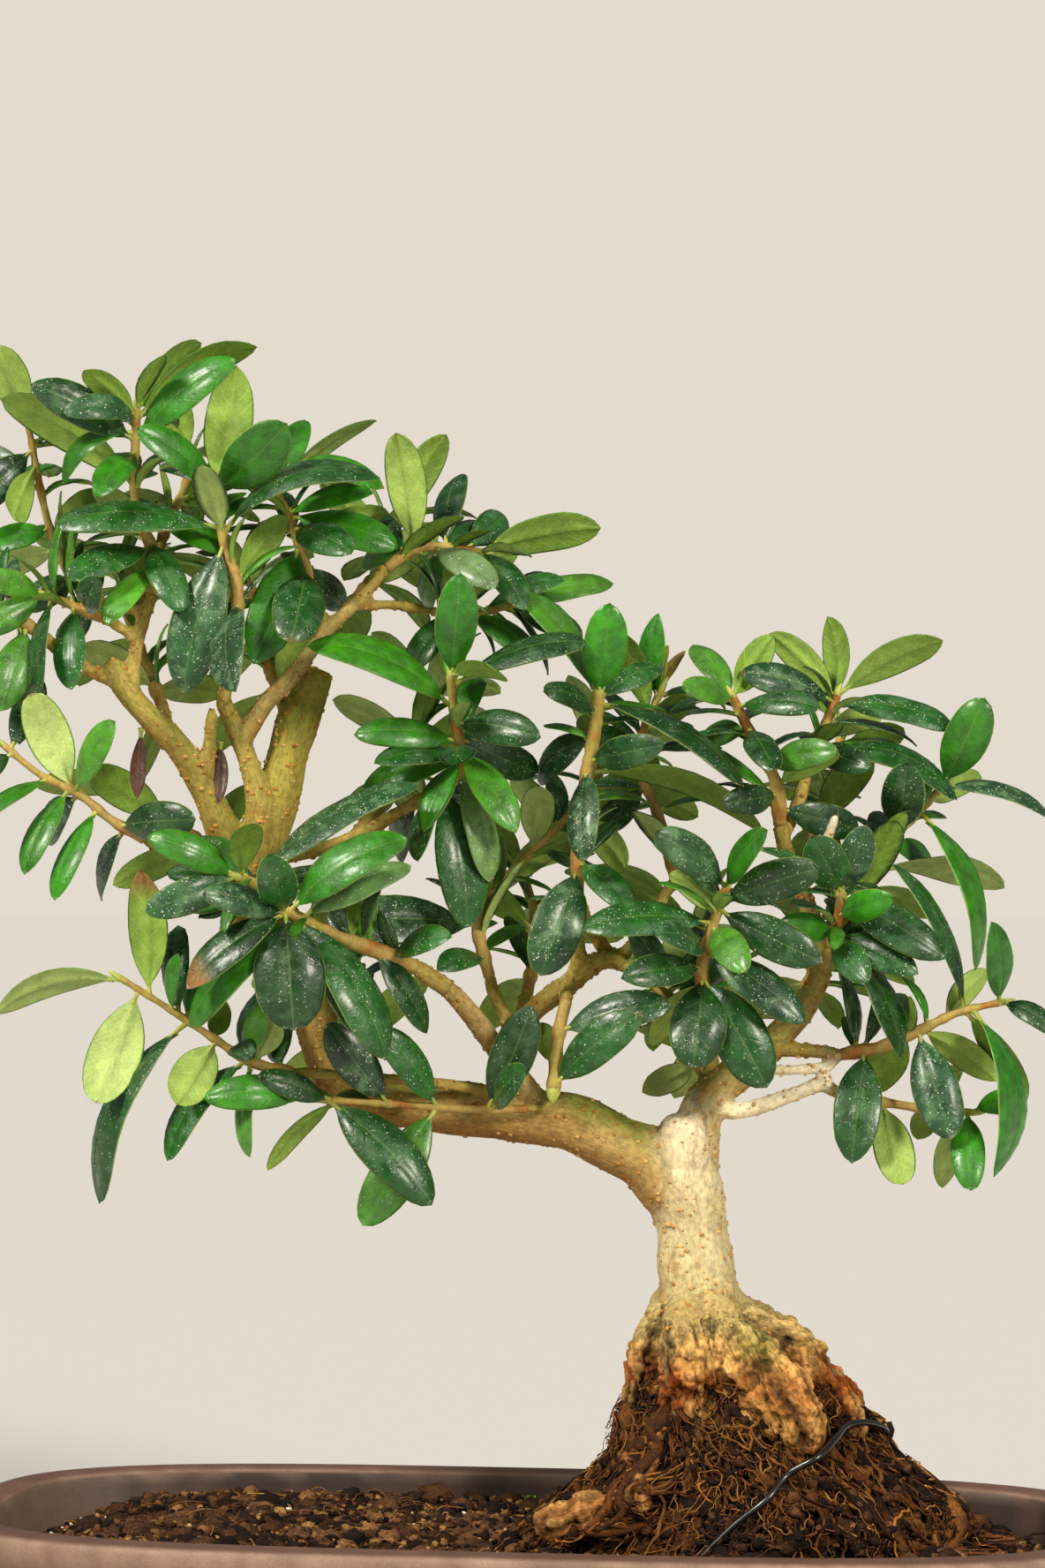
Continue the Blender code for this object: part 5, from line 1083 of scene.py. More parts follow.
@dataclass(frozen=True)
class GrainFinish(Finish):
    """Loose or coarse matter, such as peat crumbs, fired clay or a cast surface.

    Each point's tint is darkened and lightened by two sizes of grain, and raised by the finer.
    """

    coarse: float = 4 * MM
    fine: float = 0.5 * MM
    dark: float = 0.6
    light: float = 1.35
    relief: float = 0.25 * MM

    def build(self) -> bpy.types.Material:
        """The material, over the piece's own tint.

        Returns:
            The material.
        """
        made, tree, shader = self.blank()
        where = add(tree, "TexCoord", out="Object")
        tint = add(tree, "Attribute", out="Color", attribute_name="tint")
        coarse, fine = (
            add(tree, "TexNoise", {"Vector": where, "Scale": 1 / size, "Detail": 3, "Roughness": rough})
            for size, rough in ((self.coarse, 0.55), (self.fine, 0.65)))
        both = add(tree, "Math", (fine, 1.3, coarse), operation="MULTIPLY_ADD")
        shade = add(tree, "MapRange", (both, 0.85, 1.45, self.dark, self.light), **SMOOTH)
        tone = add(tree, "VectorMath", {0: tint, "Scale": shade}, operation="SCALE")
        rough = add(tree, "MapRange", (coarse, 0.3, 0.7, self.roughness - 0.07, self.roughness + 0.07),
                    **SMOOTH)
        self.link(tree, shader, tone, (0.7, self.relief, fine), rough)
        return made


class Look:
    """Every material of the object, each made once."""

    def __init__(self) -> None:
        """Builds the finishes."""
        # A broad soft highlight above, with pale dust and drop marks, and a dull pale underside
        self.leaf_top = LeafFinish("waxy_olive_leaf_top", roughness=0.42, specular=0.5, coat=0.22,
                                   coat_roughness=0.18).build()
        self.leaf_under = LeafFinish("felted_olive_leaf_underside", roughness=0.62, specular=0.3,
                                     upper=False).build()
        # Matt cork, cracked along the branch, and a smoother, faintly satin skin on the twigs
        self.bark = BarkFinish("corky_olive_bark", roughness=0.82, specular=0.25).build()
        self.twig = BarkFinish("young_twig_skin", roughness=0.6, specular=0.4, dark=0.8, light=1.14,
                               relief=0.08 * MM).build()
        # Worn cork between deep cracks painted dark as shade on the old roots, and soft threads on the young
        # ones
        self.root = BarkFinish("rough_root_bark", roughness=0.88, specular=0.2, dark=0.45, light=1.32,
                               relief=0.5 * MM, flake=1.2 * MM, stretch=0.4).build()
        self.fibre = BarkFinish("fibrous_root", roughness=0.85, specular=0.25, dark=0.6, light=1.25,
                                relief=0.08 * MM).build()
        # Damp dark crumb without any shine
        self.soil = GrainFinish("moist_peat_crumb", roughness=0.93, specular=0.2, dark=0.35, light=1.6,
                                relief=0.45 * MM).build()
        # Even fired clay with a fine tooth that breaks up its highlight
        self.clay = GrainFinish("unglazed_brown_stoneware", roughness=0.62, specular=0.4,
                                coarse=9 * MM, fine=0.45 * MM, dark=0.86, light=1.12,
                                relief=0.05 * MM).build()
        # A plastic coat with one narrow bright line, and the duller threads of the mesh
        self.wire = GrainFinish("black_coated_wire", roughness=0.3, specular=0.5, coat=0.5,
                                coat_roughness=0.15, coarse=3 * MM, dark=0.7, light=1.3,
                                relief=0.03 * MM).build()
        self.screen = GrainFinish("black_polyethylene_mesh", roughness=0.5, specular=0.4,
                                  relief=0.03 * MM).build()
        # Soft cushions, bright at their tips and dark between
        self.moss = GrainFinish("living_moss", roughness=0.8, specular=0.3, coarse=1.2 * MM, dark=0.6,
                                light=1.4).build()


def rounded(corners: np.ndarray, steps: int) -> np.ndarray:
    """A profile with its corners eased.

    Each inner corner is replaced by a curve that leaves and joins its two sides at the corner's
    own distance, and bends by the squares of the shares (1 - t) and t.

    Args:
        corners: Rows of (inset, height, ease) in metres.
        steps: Points on each eased corner.

    Returns:
        Rows of (inset, height).
    """
    spot, ease = corners[:, :2], corners[1:-1, 2:3]
    start = spot[1:-1] + ease * unit(spot[:-2] - spot[1:-1])
    end = spot[1:-1] + ease * unit(spot[2:] - spot[1:-1])
    t = np.linspace(0, 1, steps)[None, :, None]
    bent = (1 - t) ** 2 * start[:, None] + 2 * t * (1 - t) * spot[1:-1, None] + t**2 * end[:, None]
    return np.vstack([spot[:1], bent.reshape(-1, 2), spot[-1:]])


def even_turns(count: int) -> np.ndarray:
    """Angles that space points evenly along the tray's rim.

    Args:
        count: How many.

    Returns:
        The angles in radians.
    """
    fine = np.linspace(0, 2 * np.pi, 6001)
    ring = tray_outline(fine, 0.0)
    run = np.concatenate([[0], np.cumsum(np.linalg.norm(np.diff(ring, axis=0), axis=1))])
    return np.interp(np.arange(count) / count * run[-1], run, fine)


def tray_outline(turns: np.ndarray, inset: np.ndarray) -> np.ndarray:
    """The tray's plan, a superellipse: each half length times the signed power of cos and sin.

    Args:
        turns: Angles in radians.
        inset: How far inside the rim's outer edge, in metres.

    Returns:
        Places (x, y) in metres.
    """
    power = 2 / TRAY_ROUNDNESS
    c, s = np.cos(turns), np.sin(turns)
    x = np.sign(c) * np.abs(c) ** power * (TRAY_LENGTH / 2 - inset)
    y = np.sign(s) * np.abs(s) ** power * (TRAY_WIDTH / 2 - inset)
    return np.stack([x, y], axis=-1)


def inner_inset(z: float) -> float:
    """How far the tray's inner wall lies inside the rim's outer edge at a height."""
    return TRAY_RIM + TRAY_TAPER * (TRAY_HEIGHT - z) / TRAY_HEIGHT


@dataclass
class Tray:
    """The tray: an eased profile carried round a superellipse, with two drain holes."""

    sides: int = 240
    steps: int = 5
    clay: str = "#6B4F43"
    # Paler clay for the rim's edges: wear, and a painted highlight
    worn: str = "#A58A74"
    dust_and_shade_inside: str = "#24160E"
    left_inside_tone: str = "#8C7666"

    def profile(self) -> np.ndarray:
        """The section of the wall, from under the base, up, over the rim and down to the floor.

        Returns:
            Rows of (inset, height) in metres.
        """
        plinth = TRAY_TAPER + TRAY_FOOT_STEP
        deep = inner_inset(TRAY_FLOOR)
        lip = TRAY_HEIGHT - TRAY_LIP
        corners = np.array([
            (plinth + 6 * MM, 0, 0), (plinth, 0, 0.7 * MM), (plinth - 0.5 * MM, TRAY_FOOT_HEIGHT, 0.4 * MM),
            (TRAY_TAPER - 1 * MM, TRAY_FOOT_HEIGHT + 1 * MM, 0.8 * MM), (1.7 * MM, lip - 1.6 * MM, 0.9 * MM),
            (0.25 * MM, lip, 0.7 * MM), (0, TRAY_HEIGHT - 0.2 * MM, 1.7 * MM),
            (TRAY_RIM / 2, TRAY_HEIGHT, 1.5 * MM), (TRAY_RIM, TRAY_HEIGHT - 0.1 * MM, 1.9 * MM),
            (inner_inset(TRAY_HEIGHT - 3.4 * MM), TRAY_HEIGHT - 3.4 * MM, 0.1 * MM),
            (deep, TRAY_FLOOR, 4 * MM), (deep + 8 * MM, TRAY_FLOOR, 0)])
        return rounded(corners, self.steps)

    def surface(self) -> Surface:
        """The closed shell: point = outline at the profile's inset, at the profile's height.

        Returns:
            The shell, without its drain holes.
        """
        profile = self.profile()
        turns = even_turns(self.sides)
        plan = tray_outline(turns[None, :], profile[:, :1])
        height = np.broadcast_to(profile[:, 1][:, None, None], (*plan.shape[:2], 1))
        points = np.concatenate([plan, height], axis=-1)
        walls = grid_faces(len(profile), self.sides, True)[:, ::-1]
        bottom = np.arange(self.sides)[None, ::-1]
        floor = (len(profile) - 1) * self.sides + np.arange(self.sides)[None]
        inset = np.broadcast_to(profile[:, :1], plan.shape[:2]).ravel()
        made = Surface(points, [walls, bottom, floor])
        return made.with_values(tint=self.tints(made.points, inset))

    def tints(self, points: np.ndarray, inset: np.ndarray) -> np.ndarray:
        """Clay that is paler along the rim's edges, for wear and a painted highlight on their rounding,
        darkened inside, for dust and painted shade, and paler again inside at the left end.

        Args:
            points: The shell's points.
            inset: Each point's inset in metres.

        Returns:
            Linear colours.
        """
        z = points[:, 2]
        relief = Relief(Seed.CLAY)
        body = srgb(self.clay) * (1 + 0.10 * relief.layers(points, 30 * MM, 3))[:, None]
        # The rim's outer and inner edges are painted paler: partly wear, partly a painted highlight on their
        # rounding
        outer = np.exp(-((inset - 0.3 * MM) / (0.7 * MM)) ** 2) * (z > TRAY_HEIGHT - 3 * MM)
        inner = np.exp(-((inset - TRAY_RIM) / (0.8 * MM)) ** 2) * (z > TRAY_HEIGHT - 3 * MM)
        chips = np.clip(0.75 + 0.5 * relief.layers(points, 5 * MM, 2), 0, 1)
        tone = mixed(body, self.worn, 0.75 * np.maximum(outer, 0.8 * inner) * chips)
        # The whole inside below the rim is darkened: partly dust, partly painted shade on the inner walls
        dust = (inset > TRAY_RIM) * np.clip(0.92 + 0.4 * relief.layers(points + 1, 9 * MM, 3), 0, 1)
        tone = mixed(tone, self.dust_and_shade_inside, 0.95 * dust)
        # The inside at the tray's left end is made paler
        left_inside_share = (inset > TRAY_RIM) * np.clip((-0.09 - points[:, 0]) / 0.02, 0, 1)
        tone = mixed(tone, self.left_inside_tone, 0.55 * left_inside_share)
        marks = np.clip(relief.layers(points * (1, 1, 0.25) + 2, 4 * MM, 3) - 0.35, 0, 1) * (z < TRAY_HEIGHT)
        return mixed(tone, tone * 1.35, 1.2 * marks)

    def build(self, look: Look) -> None:
        """Makes the shell and drills its two drain holes.

        Args:
            look: The materials.
        """
        shell = shown("stoneware_tray", self.surface().mesh("tray_shell"))
        drills = []
        for x in (-DRAIN_HOLE_AT, DRAIN_HOLE_AT):
            line = curve_through(np.array([(x, 0, -TRAY_FLOOR), (x, 0, 2 * TRAY_FLOOR)]), TRAY_FLOOR)
            cutter = sweep(line, np.full(len(line), DRAIN_HOLE_RADIUS), 48)
            drills.append(shown("drill", cutter.mesh("drill")))
            hole = shell.modifiers.new("hole", "BOOLEAN")
            hole.operation, hole.solver, hole.object = "DIFFERENCE", "EXACT", drills[-1]
        graph = bpy.context.evaluated_depsgraph_get()
        shell.data = bpy.data.meshes.new_from_object(shell.evaluated_get(graph))
        shell.modifiers.clear()
        shell.data.set_sharp_from_angle(angle=math.radians(40))
        shell.data.materials.clear()
        shell.data.materials.append(look.clay)
        for drill in drills:
            bpy.data.objects.remove(drill)
        ridden(shell, ("tray",))


@dataclass
class DrainScreens:
    """The woven squares over the drain holes: strands that pass over and under each other."""

    strands: int = 10
    steps: int = 41
    wave: float = 0.19 * MM
    thread: float = 0.25 * MM

    def strands_at(self, middle_x: float) -> Surface:
        """Strands both ways: height = a wave along each strand, turned over for the next one.

        Args:
            middle_x: Where the hole is along the tray, in metres.

        Returns:
            The strands.
        """
        span = SCREEN_SIDE / 2 - 0.35 * MM
        lanes = np.linspace(-span, span, self.strands)
        run = np.linspace(-SCREEN_SIDE / 2 + 0.05 * MM, SCREEN_SIDE / 2 - 0.05 * MM, self.steps)
        pitch = lanes[1] - lanes[0]
        sign = np.where(np.arange(self.strands) % 2, 1, -1)[:, None]
        wave = self.wave * np.cos(np.pi * (run[None] + span) / pitch) * sign
        middle = TRAY_FLOOR + GAP + SCREEN_THICKNESS / 2
        first = np.stack(np.broadcast_arrays(middle_x + run[None], lanes[:, None], middle + wave), axis=-1)
        second = np.stack(np.broadcast_arrays(middle_x + lanes[:, None], run[None], middle - wave), axis=-1)
        paths = np.concatenate([first, second])
        made = sweep(paths, np.full(paths.shape[:2], self.thread), 6)
        return made.with_values(tint=srgb("#17171A"))

    def build(self, look: Look) -> None:
        """Makes both screens.

        Args:
            look: The materials.
        """
        for side, name in ((-1, "left"), (1, "right")):
            self.strands_at(side * DRAIN_HOLE_AT).piece(
                f"woven_screen_{name}", [look.screen], "screen", (f"drain_screen_{name}",))


def soil_height(x: np.ndarray, y: np.ndarray) -> np.ndarray:
    """The soil's level: a low swell left of the middle, and hollows at the ends and sides.

    Args:
        x: Places along the tray, in metres.
        y: Places across it.

    Returns:
        Heights in metres.
    """
    along, across = x / (TRAY_LENGTH / 2), y / (TRAY_WIDTH / 2)
    swell = SOIL_SWELL * np.exp(-((along + 0.35) / 0.3) ** 2) * (1 - across**2)
    hollow = SOIL_HOLLOW * np.maximum(0, np.abs(along) - 0.72) / 0.2
    hollow = hollow + SOIL_SIDE_HOLLOW * np.maximum(0, np.abs(across) - 0.7) / 0.15
    return SOIL_LEVEL + swell - np.minimum(hollow, SOIL_HOLLOW)


def lumps(centres: np.ndarray, sizes: np.ndarray, draw: np.random.Generator, fine: bool = False,
          squash: float = 0.8) -> Surface:
    """A rough grain at each centre: a ball of triangles, turned and stretched at random.

    Point = centre + size * turn @ (stretch * ball point * (1 + random)).

    Args:
        centres: (n, 3) middles in metres.
        sizes: (n,) radii in metres.
        draw: Where the random numbers come from.
        fine: Whether the ball has 42 points and not 12.
        squash: How low each grain is, as a share of its width.

    Returns:
        The grains, with each point's grain number as the value owner.
    """
    ball = bpy.data.meshes.new("ball")
    work = bmesh.new()
    bmesh.ops.create_icosphere(work, subdivisions=2 if fine else 1, radius=1)
    work.to_mesh(ball)
    work.free()
    points = np.array([v.co for v in ball.vertices])
    faces = np.array([p.vertices[:] for p in ball.polygons])
    n = len(centres)
    turn = np.linalg.qr(draw.normal(size=(n, 3, 3)))[0]
    turn *= np.sign(np.linalg.det(turn))[:, None, None]
    rough = 1 + draw.uniform(-0.3, 0.3, (n, len(points), 1))
    stretch = draw.uniform(0.6, 1.25, (n, 1, 3))
    shape = np.einsum("nij,npj->npi", turn, points[None] * rough * stretch)
    shape = shape * (1, 1, squash) * sizes[:, None, None] + centres[:, None]
    numbers = faces[None] + (np.arange(n) * len(points))[:, None, None]
    made = Surface(shape, [numbers.reshape(-1, 3)])
    made.values["owner"] = np.repeat(np.arange(n), len(points)).astype(float)
    return made


def painted(made: Surface, codes: tuple[str, ...], draw: np.random.Generator, count: int,
            change: float = 0.2) -> Surface:
    """Gives each of count equal parts of a surface one of the colours, a little changed.

    Args:
        made: The surface, whose points run part after part.
        codes: Hex colours to choose from.
        draw: Where the random numbers come from.
        count: How many parts the surface has.
        change: How far a part's brightness strays, as a share.

    Returns:
        The same surface.
    """
    palette = np.array([srgb(code) for code in codes])
    tones = palette[draw.integers(len(codes), size=count)]
    tones = tones * (1 + draw.uniform(-change, change, (count, 1)))
    tint = np.repeat(tones, len(made.points) // count, axis=0)
    return made.with_values(tint=tint, grain=made.points)


@dataclass
class SoilBed:
    """The soil: a crumbly face inside the tray, loose crumbs, fibres, grains and bits of moss."""

    along: int = 200
    across: int = 90
    crumbs: int = 3400
    clods: int = 420
    fibres: int = 300
    grains: int = 80

    def inside(self, u: np.ndarray, v: np.ndarray) -> np.ndarray:
        """Points of the unit square as points inside the tray.

        Each keeps its direction, and its reach is the larger of |u| and |v| times the reach of
        the superellipse that way.

        Args:
            u: Places along the square, from -1 to 1.
            v: Places across it.

        Returns:
            Places (x, y) in metres.
        """
        reach = np.maximum(np.abs(u), np.abs(v))
        way = unit(np.stack([u, v], axis=-1))
        power = TRAY_ROUNDNESS
        edge = (np.abs(way[..., 0]) ** power + np.abs(way[..., 1]) ** power) ** (-1 / power)
        inset = inner_inset(SOIL_LEVEL) + 0.6 * MM
        half = np.array([TRAY_LENGTH / 2 - inset, TRAY_WIDTH / 2 - inset])
        return way * (reach * edge)[..., None] * half

    def face(self) -> Surface:
        """The bed: its face raised by layers of relief, closed by a skirt and a flat bottom.

        Returns:
            The bed.
        """
        u, v = np.meshgrid(np.linspace(-1, 1, self.along), np.linspace(-1, 1, self.across), indexing="ij")
        plan = self.inside(u + 1e-9, v)
        flat = np.concatenate([plan, np.zeros((*u.shape, 1))], axis=-1)
        relief = Relief(Seed.SOIL_FACE)
        rough = 1.1 * MM * relief.layers(flat, 7 * MM, 4, 0.6) + 0.25 * MM * relief.at(flat, 0.9 * MM)
        rim = np.maximum(np.abs(u), np.abs(v)) > 0.999
        z = soil_height(plan[..., 0], plan[..., 1]) + np.where(rim, -0.6 * MM, rough)
        top = np.concatenate([plan, z[..., None]], axis=-1)
        index = np.arange(self.along * self.across).reshape(self.along, self.across)
        ring = np.concatenate([index[:-1, 0], index[-1, :-1], index[:0:-1, -1], index[0, :0:-1]])
        foot = top.reshape(-1, 3)[ring] * (1, 1, 0)
        foot[:, :2] *= 1 - (inner_inset(TRAY_FLOOR) - inner_inset(SOIL_LEVEL)) / (TRAY_WIDTH / 2)
        foot[:, 2] = TRAY_FLOOR + GAP
        low = top.size // 3 + np.arange(len(ring))
        skirt = np.stack([ring, low, np.roll(low, -1), np.roll(ring, -1)], axis=1)
        faces = [grid_faces(self.along, self.across, False), skirt, low[None, ::-1]]
        points = np.vstack([top.reshape(-1, 3), foot])
        # The tint runs darker in the hollows of the relief and lighter on its tops, as painted shade and
        # light, and varies at random over broader patches
        height = np.concatenate([rough.ravel(), np.zeros(len(ring))]) / (1.4 * MM)
        share = 0.34 + 0.6 * height + 0.3 * relief.layers(points, 16 * MM, 2)
        return Surface(points, faces).with_values(tint=mixed("#0E0704", "#6A472C", share))

    def scattered(self, draw: np.random.Generator, count: int, sink: float) -> np.ndarray:
        """Random places on the bed's face.

        Args:
            draw: Where the random numbers come from.
            count: How many.
            sink: How far below the bed's level they lie, in metres.

        Returns:
            (n, 3) places in metres.
        """
        spot = self.inside(*draw.uniform(-0.985, 0.985, (2, count)))
        z = soil_height(spot[:, 0], spot[:, 1]) - sink
        return np.column_stack([spot, z])

    def strands(self, draw: np.random.Generator) -> Surface:
        """Fibres that lie on the crumbs: a line with a slow wander, and an arch up off the bed.

        Args:
            draw: Where the random numbers come from.

        Returns:
            The fibres.
        """
        steps = np.linspace(0, 1, 8)
        start = self.scattered(draw, self.fibres, -0.9 * MM)
        one = (self.fibres, 1)
        heading = draw.uniform(0, 2 * np.pi, one) + draw.uniform(-1.6, 1.6, one) * steps
        length = draw.uniform(3, 12, one) * MM / len(steps)
        x = start[:, :1] + np.cumsum(np.cos(heading) * length, axis=1)
        y = start[:, 1:2] + np.cumsum(np.sin(heading) * length, axis=1)
        x, y = (np.clip(value, -limit, limit) for value, limit in zip((x, y), LOOSE_LIMITS))
        arch = draw.uniform(0.1, 1.3, one) * MM * np.sin(np.pi * steps)
        paths = np.stack([x, y, soil_height(x, y) + 0.8 * MM + arch], axis=-1)
        thick = draw.uniform(0.07, 0.2, one) * MM * (1 - 0.5 * steps)
        made = sweep(paths, thick, 3)
        return painted(made, ("#7C5428", "#643E1C", "#A67A40", "#402612"), draw, self.fibres)

    def build(self, look: Look) -> None:
        """Makes the bed and everything loose on it.

        Args:
            look: The materials.
        """
        draw = np.random.default_rng(Seed.LOOSE_SOIL)
        self.face().piece("peat_bed", [look.soil], "soil", ("soil",))
        small = draw.gamma(2.2, 0.22, self.crumbs) * MM + 0.28 * MM
        made = lumps(self.scattered(draw, self.crumbs, -0.45 * MM), small, draw)
        painted(made, ("#1C0F07", "#462A16", "#6E4C2B", "#8E6A3A", "#110A05", "#52341C", "#2A190D",
                       "#20130A"), draw, self.crumbs, change=0.25).piece("peat_crumbs", [look.soil], "soil")
        large = draw.gamma(4.5, 0.38, self.clods).clip(0.8, 3.4) * MM
        made = lumps(self.scattered(draw, self.clods, -0.2 * MM), large, draw, fine=True, squash=0.7)
        painted(made, ("#2C1A0E", "#54371F", "#7C5632", "#1E1109", "#3E2715"), draw, self.clods,
                change=0.25).piece("peat_clods", [look.soil], "soil")
        self.strands(draw).piece("peat_fibres", [look.fibre], "soil")
        spots = self.scattered(draw, self.grains, -0.9 * MM)
        made = lumps(spots, draw.uniform(0.25, 0.6, self.grains) * MM, draw)
        painted(made, ("#CFC3A4", "#B9A582", "#DAD2BE", "#A98B5F"), draw, self.grains,
                change=0.15).piece("sand_grains", [look.soil], "soil")
        self.moss(draw).piece("moss_tufts", [look.moss], "soil")

    def moss(self, draw: np.random.Generator) -> Surface:
        """Small tufts of moss: groups of grains close together.

        Args:
            draw: Where the random numbers come from.

        Returns:
            The grains.
        """
        tufts = np.array([(137.5, -21, -34), (141.5, -21.5, -34.5), (172, -14.5, -38), (205, -9, -24),
                          (186, -2, 40), (120, -6, 44)], float)
        centres = place(tufts)[:, None, :] + draw.normal(0, 0.75 * MM, (len(tufts), 36, 3)) * (1, 1, 0)
        centres = centres.reshape(-1, 3)
        centres[:, 2] = soil_height(centres[:, 0], centres[:, 1]) + draw.uniform(0.3, 1.5, len(centres)) * MM
        made = lumps(centres, draw.uniform(0.2, 0.5, len(centres)) * MM, draw)
        return painted(made, ("#5FA32A", "#86C43A", "#3F7A1E", "#9CB84A"), draw, len(centres))


def mound_spot(degrees: np.ndarray, height: np.ndarray, out: np.ndarray) -> np.ndarray:
    """Points on the root mound's face.

    Each is the mound's middle at that height, plus its half width and depth there, times 1 plus
    the waves of the root ridges, along the cos and sin of the turn.

    Args:
        degrees: Turns round the mound, from its right-hand end.
        height: Heights above the soil in millimetres.
        out: How far outside the face each point lies, in metres.

    Returns:
        The points in metres.
    """
    heights, middles, half_widths, half_depths = np.array(MOUND).T
    middle = np.interp(height, heights, middles)
    half_x = np.interp(height, heights, half_widths) * SQUARE
    half_y = np.interp(height, heights, half_depths) * SQUARE
    angle = np.radians(degrees)
    turn = 0.03 * np.maximum(height, 0)
    wave = np.cos(5 * angle + turn) + 0.4 * np.cos(13 * angle) + 0.7 * np.cos(9 * angle - 2 * turn + 1)
    relief = 1 + MOUND_RIDGE * wave * np.clip((MOUND_RIDGES_END - height) / 3, 0, 1)
    centre = place(np.stack([middle, 0 * middle, 0 * middle], axis=-1))
    x = centre[..., 0] + (half_x * relief + out) * np.cos(angle)
    y = centre[..., 1] + (half_y * relief + out) * np.sin(angle)
    return np.stack([x, y, SOIL_LEVEL + height * MM + 0 * x], axis=-1)


@dataclass(frozen=True)
class BarkTone:
    """The bark's colours on one branch: where light reaches it, its underside, browner and darker as painted
    shade, and its far end.
    """

    lit: str
    under: str
    end: str
    green: float = 0.3


OLIVE = BarkTone("#C8A868", "#A06A2C", "#A88E48", 1.0)
FORK = BarkTone("#B8A254", "#8A6628", "#B2A450", 0.8)
DEAD = BarkTone("#FFF0C8", "#F0D8A0", "#FFF4DA", 0.0)
ROOTY = BarkTone("#D2B87C", "#B8904E", "#BC9458", 0.3)
TWIGGY = BarkTone("#C9AE60", "#A07C34", "#BCAC58", 0.4)
BARK_TONES = {
    "trunk": BarkTone("#D6C692", "#BE9858", "#DECFA0", 0.45),
    "stump": BarkTone("#EBD5A6", "#D0A86C", "#F0DDB6", 0.0),
    "left limb": OLIVE, "limb knee": OLIVE, "left fork": FORK, "middle fork": FORK,
    "right fork": BarkTone("#AC9C48", "#826628", "#A8A044", 0.9), "spur": TWIGGY,
    "light branch": BarkTone("#C2AB6E", "#97793E", "#BBA666", 0.2), "rear branch": TWIGGY,
    "front branch": BarkTone("#C9B27A", "#8E6A30", "#BFA468", 0.3), "inner branch": TWIGGY,
    "right limb": BarkTone("#D0B878", "#A07C3C", "#AC9A54", 0.7), "pale stub": DEAD,
    "short stub": DEAD, "peg": BarkTone("#D9CBA0", "#B39A66", "#E6DCC0", 0.0),
    "thin stub": DEAD,
}

# Woody roots: how far each stands out, as a share of its thickness, and its turns in degrees,
# heights and thicknesses in mm, from the top down
NEBARI = {
    "front root": (0.16, [(-72, 48, 8), (-68, 42, 12), (-63, 34, 12), (-57, 27, 10.5), (-54.5, 21, 7)]),
    "front lobe": (0.1, [(-112, 48, 8), (-110, 40, 11), (-107, 32, 8.5)]),
    "front rib": (-0.05, [(-92, 48, 6), (-90, 41, 7.5), (-87, 34, 6)]),
    "left lobe": (-0.15, [(-158, 47, 6), (-156, 40, 7.5), (-152, 32, 7), (-156, 24, 5)]),
    "left root": (-0.2, [(-128, 31, 5), (-136, 21, 5.5), (-142, 11, 5.5), (-148, 3, 5)]),
    "right lobe": (-0.05, [(-28, 46, 7), (-22, 39, 9.5), (-18, 31, 8), (-22, 22, 5)]),
    "back root": (0.05, [(50, 46, 8), (58, 37, 10.5), (68, 26, 8.5), (76, 14, 6)]),
    "back lobe": (0.05, [(112, 46, 8), (116, 37, 10), (110, 26, 8), (106, 14, 6)]),
    "side root": (0.0, [(10, 42, 5), (11, 31, 5.6), (4, 19, 4.4)]),
}


@dataclass
class Skeleton:
    """The middle lines of all woody parts, with their thickness, direction and colours."""

    spacing: float = 0.7 * MM
    lying_root_share: float = 0.95
    sunk_ends: float = -0.35
    slimmer: dict[str, float] = field(default_factory=lambda: {
        "pale stub": 0.74, "short stub": 0.85, "left fork": 0.86, "middle fork": 0.9})
    lines: list[np.ndarray] = field(default_factory=list)
    tones: list[BarkTone] = field(default_factory=list)

    def line(self, rows: np.ndarray, tone: BarkTone) -> None:
        """Adds a middle line of (x, y, z, radius) rows in metres."""
        self.lines.append(curve_through(rows, self.spacing))
        self.tones.append(tone)

    def gather(self) -> None:
        """Collects branches, woody roots, the lying root and the stems of every shoot."""
        for name, route in WOOD.items():
            rows = np.array(route, float)
            rows[:, 3] *= self.slimmer.get(name, 1.03)
            self.line(np.hstack([place(rows[:, :3]), rows[:, 3:] * SQUARE / 2]), BARK_TONES[name])
        for rise, route in NEBARI.values():
            turn, height, thick = np.array(route, float).T
            share = np.full(len(route), rise)
            share[[0, -1]] = self.sunk_ends
            spots = mound_spot(turn, height, share * thick * MM)
            self.line(np.column_stack([spots, thick * MM / 2]), ROOTY)
        rows = np.array(LYING_ROOT, float)
        rows[:, 3] *= self.lying_root_share
        self.line(np.hstack([place(rows[:, :3]), rows[:, 3:] * SQUARE / 2]), ROOTY)
        for stem, twig, thick, _, _ in {**SHOOTS, **REAR_SHOOTS}.values():
            first, after = place(np.array(twig[:2], float))
            along = unit(after - first)
            spots = np.vstack([place(np.array(stem, float)), first - along * STEM_END * SQUARE,
                               first - along * GAP])
            width = thick * SQUARE / 2 * np.linspace(STEM_SWELL, 1, len(spots))
            self.line(np.column_stack([spots, width]), TWIGGY)

    def samples(self) -> dict[str, np.ndarray]:
        """All points of all lines, each with its line's frame, run, share of the way and number.

        Returns:
            Arrays by name, with a row for each point.
        """
        rows = {key: [] for key in ("spot", "radius", "way", "side", "lift", "run", "share", "line")}
        for number, line in enumerate(self.lines):
            spot = line[:, :3]
            way = unit(np.gradient(spot, axis=0))
            reference = np.eye(3)[np.abs(way).max(axis=0).argmin()]
            side = unit(np.cross(way, reference))
            steps = np.linalg.norm(np.diff(spot, axis=0), axis=1)
            found = (spot, line[:, 3], way, side, np.cross(side, way), np.concatenate([[0], steps.cumsum()]),
                     np.linspace(0, 1, len(line)), np.full(len(line), number))
            for key, value in zip(rows, found):
                rows[key].append(value)
        return {key: np.concatenate(value) for key, value in rows.items()}


